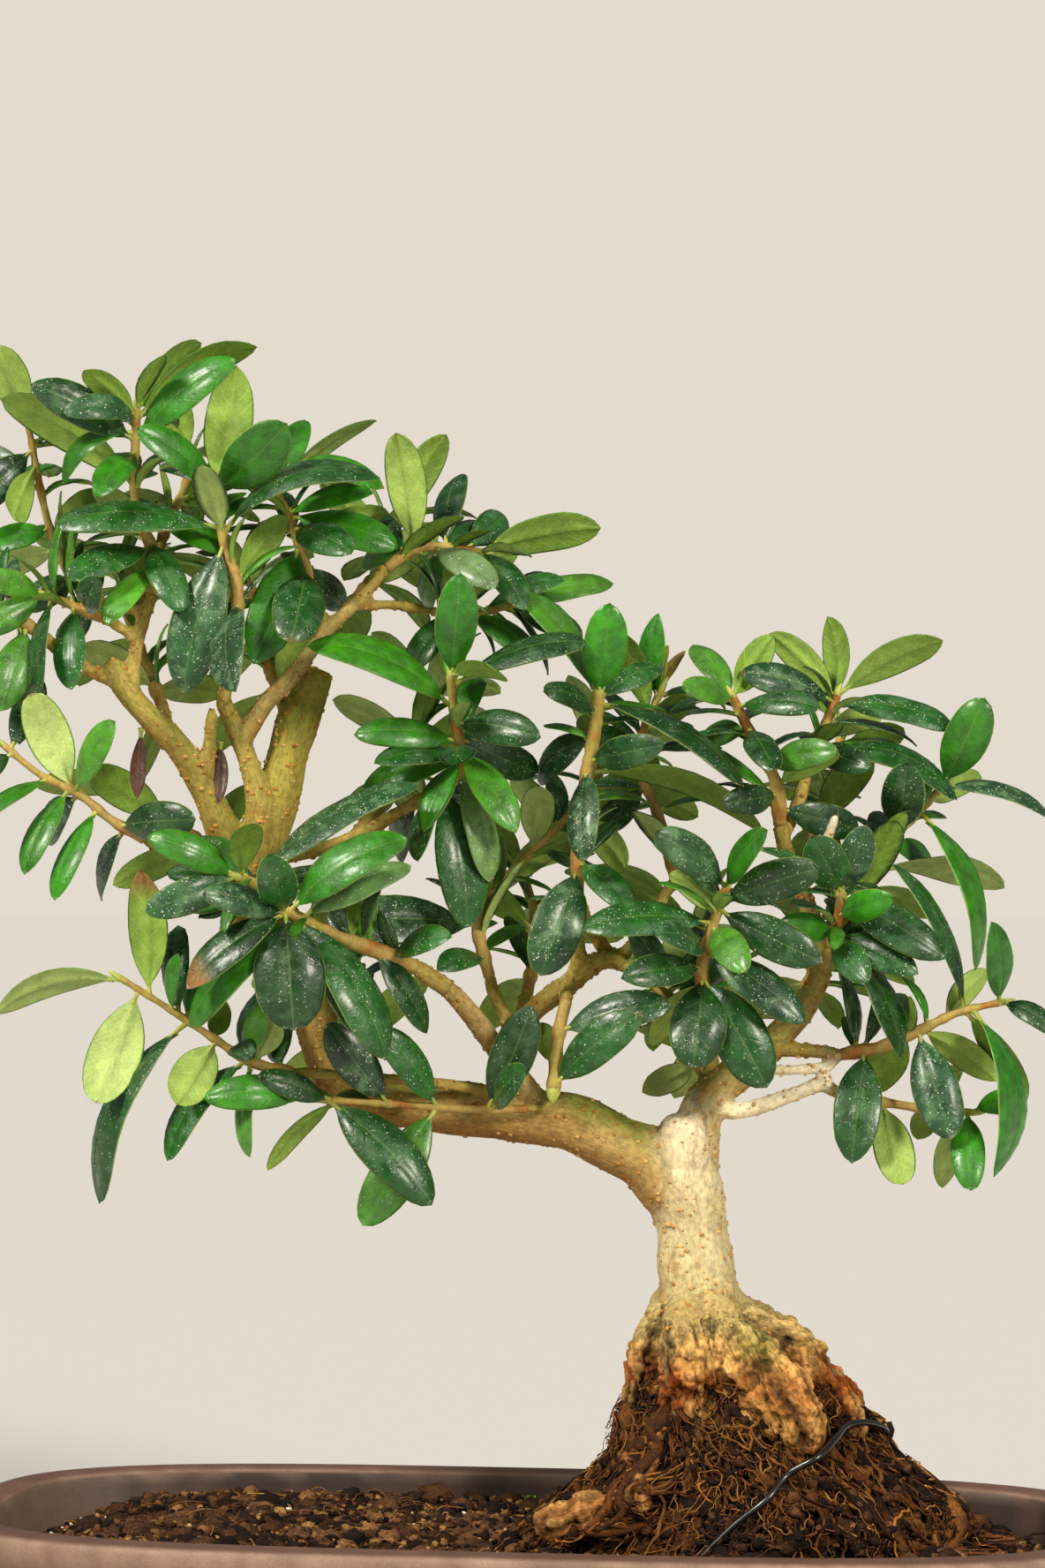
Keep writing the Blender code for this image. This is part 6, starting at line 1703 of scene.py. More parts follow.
def nearest(points: np.ndarray, table: dict[str, np.ndarray]) -> np.ndarray:
    """For each point, the sample whose round section it is nearest to, by distance less radius.

    Args:
        points: The points.
        table: The skeleton's samples.

    Returns:
        The samples' numbers.
    """
    found = np.empty(len(points), int)
    block = 4000
    for start in range(0, len(points), block):
        part = points[start:start + block]
        square = ((part**2).sum(1)[:, None] - 2 * part @ table["spot"].T + (table["spot"] ** 2).sum(1))
        found[start:start + block] = (np.sqrt(np.maximum(square, 0)) - table["radius"]).argmin(1)
    return found


@dataclass
class Wood:
    """Trunk, limbs, woody roots and stems: one skin round all their sections, with bark relief."""

    voxel: float = 0.84 * MM
    inset: float = 1.6 * MM
    rows: int = 30
    columns: int = 120
    scar: float = 113.5 * MM
    knobs: int = 120
    lenticels: int = 3000
    front_root: tuple[float, float, float] = (-61, 31, 3 * MM)

    def body(self, skeleton: Skeleton) -> bpy.types.Mesh:
        """Every line's swollen tube, the mound's upper part and the knobs round the trunk's foot.

        Args:
            skeleton: The middle lines.

        Returns:
            One closed quad mesh round them all.
        """
        parts = []
        relief = Relief(Seed.SWELLING)
        for line in skeleton.lines:
            path, radius = line[:, :3], line[:, 3]
            swell = 1 + 0.07 * relief.layers(path, 9 * MM, 2)
            end = np.minimum(1, 0.72 + 0.28 * np.arange(len(line))[::-1] / 2)
            parts.append(sweep(path, radius * swell * end, 18))
        height, turn = np.meshgrid(np.linspace(13, 56, self.rows),
                                   np.linspace(0, 360, self.columns, endpoint=False), indexing="ij")
        shell = mound_spot(turn, height, -self.inset - 2.6 * MM * np.clip((31 - height) / 8, 0, 1))
        ring = np.arange(self.columns)[None]
        parts.append(Surface(shell, [grid_faces(self.rows, self.columns, True)[:, ::-1], ring[:, ::-1],
                                     (self.rows - 1) * self.columns + ring]))
        draw = np.random.default_rng(Seed.KNOBS)
        high = draw.uniform(27, 52, self.knobs)
        spots = mound_spot(draw.uniform(0, 360, self.knobs), high, draw.uniform(-1.6, 0.2, self.knobs) * MM)
        size = draw.uniform(1.2, 3.4, self.knobs) * np.interp(high, (44, 52), (1, 0.55))
        parts.append(lumps(spots, size * MM, draw, fine=True, squash=1.0))
        joined = Surface.joined([Surface(part.points, part.faces) for part in parts])
        return evaluated(joined.mesh("wood"), "REMESH", mode="VOXEL", voxel_size=self.voxel,
                         use_smooth_shade=True)

    def surface(self, skeleton: Skeleton) -> Surface:
        """The skin: the remeshed body, smoothed, then moved along its normals by the bark relief.

        Relief = fibre lines drawn out along the branch, broad lumps, and on the roots larger
        knobs with cracks between them.

        Args:
            skeleton: The middle lines.

        Returns:
            The skin, with each point's tint, its grain space and how rooty it is.
        """
        points, quads, edges = arrays_of(self.body(skeleton))
        # Smoothed in steps that shrink it, each followed by one that swells it again
        for _ in range(4):
            points = spread(spread(points, edges, 0.55, 1), edges, -0.5, 1)
        table = skeleton.samples()
        hit = nearest(points, table)
        offset = points - table["spot"][hit]
        way = table["way"][hit]
        run = (offset * way).sum(1)
        grain = np.stack([(offset * table["side"][hit]).sum(1), (offset * table["lift"][hit]).sum(1),
                          table["run"][hit] + run], axis=1)
        grain[:, 2] += table["line"][hit] * 0.05
        high = points[:, 2] - SOIL_LEVEL
        relief, fine = Relief(Seed.BARK), Relief(Seed.FOLDS)
        # Roots below a ragged edge at the trunk's foot, and bark above it
        edge = 47.5 * MM + 4 * MM * relief.layers(points, 5 * MM, 2)
        rooty = np.clip((edge - high) / (7 * MM), 0, 1) * (high < 60 * MM)
        ridges = relief.layers(grain * (1, 1, 0.16), 1.8 * MM, 3, 0.6)
        lump = relief.at(points, 8 * MM)
        # The bare front root has fine cracks along it in place of the others' deep folds
        front = mound_spot(*np.array(self.front_root)[:, None])[0]
        bare = np.clip(1.5 - np.linalg.norm((points - front) * (1, 1, 0.75), axis=1) / (10 * MM), 0, 1)
        folds = [np.abs(fine.at(points * (1, 1, 0.6) + k, size * MM))
                 for k, size in enumerate((7.5, 3.6, 1.9))]
        creased = (folds[0] + 0.8 * folds[1] + 0.5 * folds[2] - 0.66) * (1 - 0.6 * bare)
        cracks = np.clip(1 - 8 * folds[0], 0, 1) * (1 - bare) + 0.6 * np.clip(1 - 7 * folds[1], 0, 1)
        cracks = cracks + bare * fine.cracks(grain * (1, 1, 0.3), 3.4 * MM)
        # Thin branches have lower relief, and a groove runs round the stump
        thick = np.clip(table["radius"][hit] / (5 * MM), 0.25, 1)
        scar = np.exp(-(((points[:, 2] - self.scar) / (0.5 * MM)) ** 2)) * (table["line"][hit] < 2)
        move = (thick * (0.2 * ridges + 0.35 * lump - 0.5 * scar) * (1 - rooty)
                + rooty * (2.3 * creased - 0.9 * cracks))
        normal = normals_of(points, quads)
        points = points + normal * (move * MM)[:, None]
        tint = self.tints(points, normal, hit, table, skeleton.tones, grain, rooty, ridges, creased, cracks,
                          bare, edges)
        tint = spread(tint, edges, 0.5, 1)
        return Surface(points, [quads]).with_values(tint=tint, grain=grain, rooty=rooty)

    def tints(self, points: np.ndarray, normal: np.ndarray, hit: np.ndarray, table: dict,
              tones: list[BarkTone], grain: np.ndarray, rooty: np.ndarray, ridges: np.ndarray,
              creased: np.ndarray, cracks: np.ndarray, kept: np.ndarray,
              edges: np.ndarray) -> np.ndarray:
        """Bark colours: pale where lit, orange-brown and darker below as painted shade, green algae above,
        rust in spots, and lighter raised and darker sunk relief as painted light and shade.

        Args:
            points: The skin's points.
            normal: Their outward directions.
            hit: The number of each point's nearest sample.
            table: The skeleton's samples.
            tones: The colours of each line.
            grain: Each point's place in its grain space.
            rooty: How much of a root each point is, from 0 to 1.
            ridges: The fibre lines' height.
            creased: The roots' height.
            cracks: How deep in a crack each point is, from 0 to 1.
            kept: How near to the bare front root each point is, from 0 to 1.
            edges: Pairs of point numbers.

        Returns:
            Linear colours.
        """
        # Bark: each line's own colours, green algae above and rusty patches
        number, share = table["line"][hit], table["share"][hit]
        lit, under, end = (np.array([srgb(getattr(tone, key)) for tone in tones])[number]
                           for key in ("lit", "under", "end"))
        algae = np.array([tone.green for tone in tones])[number]
        relief = Relief(Seed.BARK_TINTS)
        patch = relief.layers(points, 9 * MM, 3)
        tone = mixed(lit, end, share)
        # Faces that turn down take the underside's colour: its own orange-brown, darkened as painted shade
        low = np.clip(0.3 - normal[:, 2] + 0.4 * patch, 0, 1)
        tone = mixed(tone, under, 0.75 * low)
        green = np.clip(0.2 + 1.2 * normal[:, 2] + 0.8 * patch, 0, 1) * algae
        tone = spread(mixed(tone, "#7A8030", 0.95 * green), edges, 0.55, 22)
        rust = np.clip(3.2 * relief.layers(grain * (1, 1, 0.8) + 1, 2.6 * MM, 3) - 1.5, 0, 1)
        tone = mixed(tone, "#A8722C", 0.55 * rust * (algae > 0))
        # Painted light and shade: a little lighter on the fibre ridges and darker in the grooves between them
        tone = tone * (1 + 0.09 * ridges)[:, None]
        high = points[:, 2] - SOIL_LEVEL
        # Roots: rusty brown, pale near the trunk, paler on the raised cork for wear and a painted highlight,
        # and painted lighter on their raised parts and darker in their creases and cracks, as painted light
        # and shade
        bare = mixed("#A2541A", "#CC9C54", 0.36 + 1.4 * patch)
        bare = mixed(bare, "#CDB070", np.clip(1.2 * creased - 0.25, 0, 0.4))
        bare = mixed(bare, "#BE9C58", np.clip((high - 36 * MM) / (9 * MM), 0, 0.7))
        bare = mixed(bare, "#C8904C", 0.6 * kept)
        bare = bare * np.clip(1 + 1.2 * creased, 0.4, 1.4)[:, None]
        bare = mixed(bare, "#1C0F07", np.clip(0.9 * cracks, 0, 0.9))
        tone = mixed(tone, bare, rooty)
        # The lying root is duller, and the others darken towards the soil
        laid = np.linalg.norm(points - LYING_MIDDLE, axis=1)
        tone = mixed(tone, "#A07844", np.where(laid < 12 * MM, 0.55 * rooty, 0))
        kept = np.maximum(kept, laid < 10.5 * MM)
        deep = np.clip((34 * MM - high) / (10 * MM), 0, 1) * (1 - kept) * (rooty > 0)
        tone = mixed(tone, tone * np.array([0.42, 0.34, 0.3]), deep)
        # Moss in three places at the trunk's foot, and the pale cut on top of the stump
        moss = place(np.array([(160, 30, -18), (174, 22, -22), (150, 40, -14)], float))
        near = np.linalg.norm(points[:, None] - moss[None], axis=2).min(1)
        mossy = np.clip(1 - near / (6 * MM) + 0.9 * patch, 0, 1) * (high < 60 * MM)
        tone = mixed(tone, "#8C8E34", 0.4 * mossy)
        cut = place(np.array([(154.8, 75.9, -3.5)], float))[0]
        flat = (np.linalg.norm(points - cut, axis=1) < 5.2 * MM) * np.clip((normal[:, 2] - 0.3) * 2, 0, 1)
        sawn = srgb("#F2E2BC") * (1 - 0.14 * relief.at(points, 1.1 * MM))[:, None]
        tone = mixed(tone, sawn, flat)
        return np.clip(tone, 0.004, 1)

    def bumps(self, skin: Surface) -> Surface:
        """Lenticels: small corky lentils set flat on the bark, long across the branch.

        Args:
            skin: The wood's surface.

        Returns:
            The lenticels.
        """
        draw = np.random.default_rng(Seed.LENTICELS)
        quads = skin.faces[0]
        corner = skin.points[quads]
        across = np.cross(corner[:, 2] - corner[:, 0], corner[:, 3] - corner[:, 1])
        chance = 0.5 * np.linalg.norm(across, axis=1) * (skin.values["rooty"][quads[:, 0]] < 0.4)
        pick = draw.choice(len(quads), self.lenticels, p=chance / chance.sum())
        normal = normals_of(skin.points, quads)[quads[pick, 0]]
        along = skin.points[quads[pick, 1]] - skin.points[quads[pick, 0]]
        along = unit(along - (along * normal).sum(1)[:, None] * normal)
        size = draw.gamma(6, 0.07, self.lenticels).clip(0.18, 0.7) * MM
        turn = 2 * np.pi / 5 * np.arange(5)
        side = np.cross(normal, along)
        ring = np.cos(turn)[:, None] * along[:, None] + 0.8 * np.sin(turn)[:, None] * side[:, None]
        levels = [corner[pick].mean(1)[:, None] + size[:, None, None] * (wide * ring + tall * normal[:, None])
                  for wide, tall in ((1.0, -0.3), (0.7, 0.45))]
        first = (np.arange(self.lenticels) * 10)[:, None]
        walls = (grid_faces(2, 5, True)[None, :, ::-1] + first[:, :, None]).reshape(-1, 4)
        caps = np.vstack([first + np.arange(5)[::-1], first + 5 + np.arange(5)])
        made = Surface(np.stack(levels, axis=1), [walls, caps])
        painted(made, ("#BF7C2C", "#CF9444", "#A4661E", "#DFB068"), draw, self.lenticels,
                change=0.12)
        own = np.repeat(skin.values["tint"][quads[pick, 0]], 10, axis=0)
        made.values["tint"] = mixed(own, made.values["tint"], np.full(len(own), 0.72))
        return made

    def wrinkled(self, skin: Surface, chosen: np.ndarray) -> Surface:
        """The chosen quads, each cut in four and wrinkled like cork, still joined to the others.

        Wrinkles = the sizes of two layers of relief drawn out along the grain, so that they fold
        sharply where a layer crosses zero, times a share that is 0 along the part's border.

        Args:
            skin: The wood's surface.
            chosen: Which of its quads.

        Returns:
            The finer part.
        """
        part = skin.faces[0][chosen]
        used, back = np.unique(part, return_inverse=True)
        corner = back.reshape(part.shape)
        ends = np.sort(np.stack([corner, np.roll(corner, -1, axis=1)], axis=2).reshape(-1, 2), axis=1)
        edges, number = np.unique(ends, axis=0, return_inverse=True)
        number = number.reshape(-1, 4)
        edge, middle = len(used) + number, len(used) + len(edges) + np.arange(len(part))
        quads = np.concatenate([np.stack([corner[:, k], edge[:, k], middle, edge[:, k - 1]], axis=1)
                                for k in range(4)])

        def finer(value: np.ndarray) -> np.ndarray:
            """The value at the old points, then the means on edges and in faces."""
            own = value[used]
            return np.concatenate([own, own[edges].mean(1), own[corner].mean(1)])

        border = np.bincount(number.ravel(), minlength=len(edges)) == 1
        free = np.ones(len(used) + len(edges) + len(part))
        free[np.unique(edges[border])] = 0
        free[len(used) + np.flatnonzero(border)] = 0
        points, tint, grain = finer(skin.points), finer(skin.values["tint"]), finer(skin.values["grain"])
        relief = Relief(Seed.WRINKLES)
        long = np.abs(relief.layers(grain * (1, 1, 0.35), 3.4 * MM, 2))
        short = np.abs(relief.layers(points * (1, 1, 0.8) + 3, 1.7 * MM, 2))
        fold = 0.9 * np.minimum(long, 0.7) + 0.55 * np.minimum(short, 0.7)
        points = points + normals_of(points, quads) * (free * (1.5 * fold - 0.75) * MM)[:, None]
        # The sunk folds are painted darker as shade, and the highest ones paler as a painted highlight on the
        # cork's ridges
        shade = np.clip(0.3 + 1.3 * fold, 0.28, 1.1)[:, None]
        tint = tint * np.where(free[:, None] > 0, shade, 1)
        tint = mixed(tint, "#D8B878", free * np.clip(2.0 * fold - 1.4, 0, 0.3))
        made = Surface(points, [quads])
        return made.with_values(tint=np.clip(tint, 0.003, 1), grain=grain, rooty=finer(skin.values["rooty"]))

    def build(self, look: Look) -> Surface:
        """Makes the skin and its lenticels.

        Args:
            look: The materials.

        Returns:
            The skin, which the fine roots are laid over.
        """
        skeleton = Skeleton()
        skeleton.gather()
        skin = self.surface(skeleton)
        quads = skin.faces[0]
        high = skin.points[quads][..., 2].min(1) - SOIL_LEVEL
        laid = np.linalg.norm(skin.points[quads[:, 0]] - LYING_MIDDLE, axis=1) < 14 * MM
        seen = (high > 22 * MM) | laid
        rooty = skin.values["rooty"][quads].max(1) > 0.04
        finest = self.wrinkled(skin, rooty & seen)
        rest = Surface(skin.points, [quads[~rooty], quads[rooty & ~seen]], [0, 1], skin.values)
        finest.finish = [1]
        Surface.joined([rest, finest]).piece("olive_wood", [look.bark, look.root], "bark", ("tree",))
        self.bumps(skin).piece("bark_lenticels", [look.bark], "bark")
        return skin


def mound_place(points: np.ndarray) -> tuple[np.ndarray, np.ndarray, np.ndarray]:
    """The turn, height and distance outside the mound's face of points near it.

    Args:
        points: (n, 3) points in metres.

    Returns:
        Turns in degrees from 0 to 360, heights in mm and distances in metres.
    """
    height = (points[:, 2] - SOIL_LEVEL) / MM
    heights, middles, half_widths, half_depths = np.array(MOUND).T
    middle = np.interp(height, heights, middles)
    centre = place(np.stack([middle, 0 * middle, 0 * middle], axis=-1))
    x = (points[:, 0] - centre[:, 0]) / np.interp(height, heights, half_widths)
    y = (points[:, 1] - centre[:, 1]) / np.interp(height, heights, half_depths)
    turn = np.degrees(np.arctan2(y, x))
    face = mound_spot(turn, height, 0 * turn)
    out = np.linalg.norm((points - centre)[:, :2], axis=1) - np.linalg.norm((face - centre)[:, :2], axis=1)
    return turn % 360, height, out


@dataclass
class RootMass:
    """The mat of roots under the trunk: a core painted dark as the shade between the roots, and strands of
    four sizes that run over it.
    """

    stout: int = 64
    coarse: int = 210
    middling: int = 640
    hairs: int = 1100
    clods: int = 700
    dives: float = 1.5
    cover: np.ndarray = field(default_factory=lambda: np.full((180, 40), -9 * MM))

    def cells(self, turn: np.ndarray, height: np.ndarray) -> tuple[np.ndarray, np.ndarray]:
        """Where turns and heights are on the cover's grid of 2 degrees by 1 mm."""
        return (turn % 360 / 2).astype(int) % 180, height.clip(0, 39).astype(int)

    def drape(self, skin: Surface) -> None:
        """Notes how far the woody roots stand out of the mound.

        Args:
            skin: The wood's surface.
        """
        turn, height, out = mound_place(skin.points[skin.points[:, 2] < SOIL_LEVEL + 38 * MM])
        keep = (height > -2) & (np.abs(out) < 12 * MM)
        np.maximum.at(self.cover, self.cells(turn[keep], height[keep]), out[keep])

    def lifted(self, turn: np.ndarray, height: np.ndarray, out: np.ndarray) -> np.ndarray:
        """Moves strands out on to the woody roots that they cross, apart from the bare front root.

        Args:
            turn: Turns of the strands' points in degrees.
            height: Their heights in mm.
            out: How far outside the mound's face they lie, in metres.

        Returns:
            How far outside they lie now.
        """
        wood = self.cover[self.cells(turn, height)]
        front = (np.abs((turn + 60 + 180) % 360 - 180) < 17) & (height > 19)
        covered = np.clip((31 - height) / 5, 0, 1) * ~front
        step = np.maximum(0, wood - out) * covered
        for _ in range(3):
            step[:, 1:-1] = (step[:, :-2] + 2 * step[:, 1:-1] + step[:, 2:]) / 4
        return out + step

    def core(self) -> Surface:
        """The core: the mound's face, drawn in and roughened by layers of relief, and painted near black
        where it lies deepest, as the shade in the gaps between the roots.

        Returns:
            The core.
        """
        rows, columns = 54, 200
        height, turn = np.meshgrid(np.linspace(-7, 34, rows), np.linspace(0, 360, columns, endpoint=False),
                                   indexing="ij")
        plain = mound_spot(turn, height, 0)
        relief = Relief(Seed.CORE)
        rough = relief.layers(plain * (1, 1, 0.7), 6 * MM, 4, 0.65)
        points = mound_spot(turn, height, (-3.6 + 2.3 * rough) * MM)
        walls = grid_faces(rows, columns, True)[:, ::-1]
        ends = [np.arange(columns)[None, ::-1], (rows - 1) * columns + np.arange(columns)[None]]
        # Painted shade: near black in the deepest hollows, brown where the core stands out
        tone = mixed("#080402", "#4A2E16", 0.25 + 0.8 * rough.ravel())
        return Surface(points, [walls, *ends]).with_values(tint=tone)

    def strands(self, seed: int, count: int, steps: int, length: tuple[float, float],
                thick: tuple[float, float], sides: int, rise: tuple[float, float], stray: float,
                codes: tuple[str, ...]) -> Surface:
        """Strands that wander over the mound, mostly downwards, and out over the soil.

        A strand's heading starts near straight down and changes at random at each step. Its
        height falls by the cosine of the heading, and its turn changes by the sine. Thick strands
        go down into the soil, and thin ones run out over it.

        Args:
            seed: For the random numbers.
            count: How many strands.
            steps: Points along each.
            length: Least and greatest length in mm.
            thick: Least and greatest thickness in mm.
            sides: Points round each.
            rise: How far out of the mound's face their middles lie, least and most, in mm.
            stray: How far the heading changes over a whole strand, in radians.
            codes: Their colours.

        Returns:
            The strands.
        """
        draw = np.random.default_rng(seed)
        one = (count, 1)
        step = draw.uniform(*length, one) / steps
        change = draw.normal(0, stray / steps**0.5, (count, steps)).cumsum(1)
        heading = draw.normal(0, 0.55, one) + change
        height = draw.uniform(2, 36, one) - (np.cos(heading) * step).cumsum(1)
        around = np.interp(height, (0, 34), (44, 21))
        turn = draw.uniform(0, 360, one) + np.degrees((np.sin(heading) * step / around).cumsum(1))
        height = np.where(height > 36, 72 - height, height)
        s = np.linspace(0, 1, steps)
        out = draw.uniform(*rise, one) + draw.normal(0, 0.16, (count, steps)).cumsum(1).clip(-0.8, 1.3)
        out = out - 1.5 * np.exp(-((s / 0.08) ** 2))
        out = self.lifted(turn, height, out * MM)
        lowest = -7.0 if thick[1] > self.dives else 0.4
        paths = mound_spot(turn, np.maximum(height, lowest), out)
        flow = np.maximum(0, lowest - height) * MM
        paths[..., 0] += np.cos(np.radians(turn)) * flow
        paths[..., 1] += np.sin(np.radians(turn)) * flow
        for axis, limit in enumerate(LOOSE_LIMITS):
            paths[..., axis] /= np.maximum(1, np.abs(paths[..., axis]) / limit)
        width = draw.uniform(*thick, one) * MM / 2 * (1 - 0.5 * s)
        width = width * (1 + 0.22 * np.sin(17 * s + draw.uniform(0, 6.3, one)))
        return painted(sweep(paths, width, sides), codes, draw, count, 0.3)

    def build(self, look: Look, skin: Surface) -> None:
        """Makes the core, all strands, and the soil that clings to them.

        Args:
            look: The materials.
            skin: The wood's surface.
        """
        self.drape(skin)
        self.core().piece("root_core", [look.soil], "bark")
        browns = ("#3C220F", "#563316", "#26150A", "#744A20", "#1C0F07", "#623718")
        bright = (*browns, "#865424", "#9C672C", "#683E1C")
        stout = self.strands(Seed.STOUT_ROOTS, self.stout, steps=20, length=(14, 34), thick=(2.0, 4.2),
                             sides=8, rise=(-2.2, -0.5), stray=1.2, codes=(*browns, "#7C4E26", "#6C3F1B"))
        coarse = self.strands(Seed.COARSE_ROOTS, self.coarse, steps=18, length=(12, 34), thick=(0.8, 1.7),
                              sides=6, rise=(-2.2, 0.1), stray=1.9, codes=browns)
        Surface.joined([stout, coarse]).piece("coarse_roots", [look.root], "bark")
        fine = self.strands(Seed.FINE_ROOTS, self.middling, steps=15, length=(9, 28), thick=(0.4, 0.9),
                            sides=4, rise=(-1.8, 0.7), stray=2.4, codes=bright)
        fine.piece("fine_roots", [look.fibre], "bark")
        hair = self.strands(Seed.HAIR_ROOTS, self.hairs, steps=11, length=(5, 20), thick=(0.18, 0.42),
                            sides=3, rise=(-0.8, 1.3), stray=3.4, codes=(*bright, "#B07C3C"))
        hair.piece("hair_roots", [look.fibre], "bark")
        draw = np.random.default_rng(Seed.CLINGING_SOIL)
        turn, height = draw.uniform(0, 360, self.clods), draw.gamma(2.0, 5.0, self.clods).clip(0.3, 28)
        spots = mound_spot(turn, height, draw.uniform(-1.6, 0.6, self.clods) * MM)
        made = lumps(spots, draw.uniform(0.4, 1.7, self.clods) * MM, draw)
        painted(made, ("#2A190E", "#3E2615", "#553620", "#1C110A"), draw, self.clods,
                change=0.25).piece("clinging_soil", [look.soil], "bark")


def bark_tree() -> BVHTree:
    """The faces of the frame's tree in mm, to measure from."""
    mesh = bpy.data.objects["tree"].data
    return BVHTree.FromPolygons([v.co / MM for v in mesh.vertices], [p.vertices[:] for p in mesh.polygons])


@dataclass
class TieWire:
    """The wire over the roots, pushed out along its route until it lies on the outermost ones."""

    hidden_from: float = -38.0
    hidden_depth: float = 2.6 * MM
    turned: float = 4.5
    slim: float = 0.86

    def route(self) -> np.ndarray:
        """The wire's middle line: each span is moved outwards by what it lacks at five places.

        Past a turn of the mound the wire dives under the fine roots.

        Returns:
            The middle line's points.
        """
        bark = bark_tree()
        middle = place(np.array([MOUND[3][1], 0, 0], float))
        reach = WIRE_THICKNESS / 2 + GAP
        turn, height = np.array(WIRE_ROUTE).T
        turn = turn + self.turned
        points = mound_spot(turn, height, reach)
        for _ in range(WIRE_PUSHES):
            for i in range(len(points) - 1):
                for part in (0.0, 0.25, 0.5, 0.75, 1.0):
                    spot = points[i] * (1 - part) + points[i + 1] * part
                    near, normal, _, _ = bark.find_nearest(Vector(spot / MM))
                    away = Vector(spot) - near * MM
                    short = reach - math.copysign(away.length, normal.dot(away))
                    if short > 0:
                        out = unit((spot - middle) * (1, 1, 0))
                        points[i] += out * short * (1 - part)
                        points[i + 1] += out * short * part
        dive = np.clip((turn - self.hidden_from) / 14, 0, 1)[:, None] * self.hidden_depth
        return points - unit((points - middle) * (1, 1, 0)) * dive

    def build(self, look: Look) -> None:
        """Makes the wire: a round section along its smoothed route, worn brown in places.

        Args:
            look: The materials.
        """
        path = curve_through(self.route(), 0.8 * MM)
        made = sweep(path, np.full(len(path), self.slim * WIRE_THICKNESS / 2), 14)
        worn = np.clip(2.2 * Relief(Seed.WIRE).layers(made.points, 3 * MM, 3) - 1.1, 0, 1)
        tint = mixed("#121113", "#5A4030", 0.7 * worn)
        made.with_values(tint=tint).piece("black_tie_wire", [look.wire], "wire", ("tie_wire",))


class Tone(Enum):
    """How a leaf's upper face looks: its green, and how much pale wax lies on it."""

    DEEP = ("#10400E", 0.35)
    PLAIN = ("#1B5516", 0.45)
    BRIGHT = ("#2E7A06", 0.12)
    FRESH = ("#4A8A1C", 0.25)
    GREY = ("#214A26", 0.95)
    DULL = ("#63854A", 0.7)
    BUD = ("#C9A94C", 0.1)
    DRY = ("#4E2E1C", 0.0)


# Leaves whose colour stands out, by the place of their tip on the sheet
LEAF_TONES = {
    (57.8, 250): Tone.FRESH, (31, 231): Tone.BRIGHT, (7, 171): Tone.BRIGHT, (12, 124.4): Tone.BRIGHT,
    (32, 131): Tone.BRIGHT, (92, 138.4): Tone.BRIGHT, (33.6, 138.6): Tone.BRIGHT,
    (45.6, 79.4): Tone.BRIGHT, (70, 182.4): Tone.BRIGHT, (104.4, 198): Tone.BRIGHT,
    (136, 208.6): Tone.BRIGHT, (173.6, 140): Tone.BRIGHT, (213.6, 183): Tone.BRIGHT,
    (223, 169.6): Tone.BRIGHT, (226.4, 61.6): Tone.BRIGHT, (93, 132.4): Tone.DULL,
    (73.6, 118.6): Tone.GREY, (111.2, 128): Tone.DULL, (112.4, 195): Tone.DULL,
    (157, 86.2): Tone.DEEP, (122.4, 107): Tone.GREY, (184, 138.6): Tone.PLAIN, (185.4, 131.4): Tone.DEEP,
    (132, 118): Tone.PLAIN, (186.4, 110): Tone.DEEP, (193, 64.6): Tone.DEEP,
    (132.2, 133): Tone.GREY, (41.6, 172): Tone.GREY, (94.4, 151.4): Tone.GREY,
    (82.4, 94): Tone.GREY, (215.6, 70): Tone.GREY, (151, 182): Tone.BUD, (155.4, 181): Tone.BUD,
}
BROWN_TIPPED = {(42, 104.4), (32, 131)}
COMMON_TONES = (Tone.DEEP, Tone.PLAIN, Tone.DEEP, Tone.PLAIN, Tone.BRIGHT, Tone.BRIGHT, Tone.GREY, Tone.FRESH)
# Underside greens: paler than the tops, and painted brighter yellow-green for light shining through the leaf
UNDERSIDE_GREENS_LIT_THROUGH = ("#93B648", "#A8C55E", "#82A63A", "#B8D078", "#98BA50")


@dataclass
class Leaf:
    """One leaf: where its stalk starts and its tip is, its upper side, breadth, bow and colours."""

    base: np.ndarray
    tip: np.ndarray
    up: np.ndarray
    breadth: float
    bow: float
    tone: Tone
    brown_tip: float
    small: bool = False


def column(leaves: list[Leaf], key: str) -> np.ndarray:
    """One value of every leaf, as an array."""
    return np.array([getattr(leaf, key) for leaf in leaves])


def leaf_places(base: np.ndarray, tip: np.ndarray, normal: np.ndarray) -> list[tuple[np.ndarray, np.ndarray]]:
    """The tip and upper side at each of the turns away from the eye and across the line of sight.

    Args:
        base: Where the stalk starts.
        tip: The unturned tip.
        normal: The unturned upper side.

    Returns:
        A tip and an upper side for each turn.
    """
    start, along = Vector(base), Vector(tip - base)
    sight = (start - Vector(EYE)).normalized()
    across = along.cross(sight).normalized()
    made = []
    for away, swing in TURNS:
        turn = Matrix.Rotation(math.radians(swing), 3, sight) @ Matrix.Rotation(math.radians(away), 3, across)
        made.append((base + np.array(turn @ along), np.array(turn @ Vector(normal))))
    return made


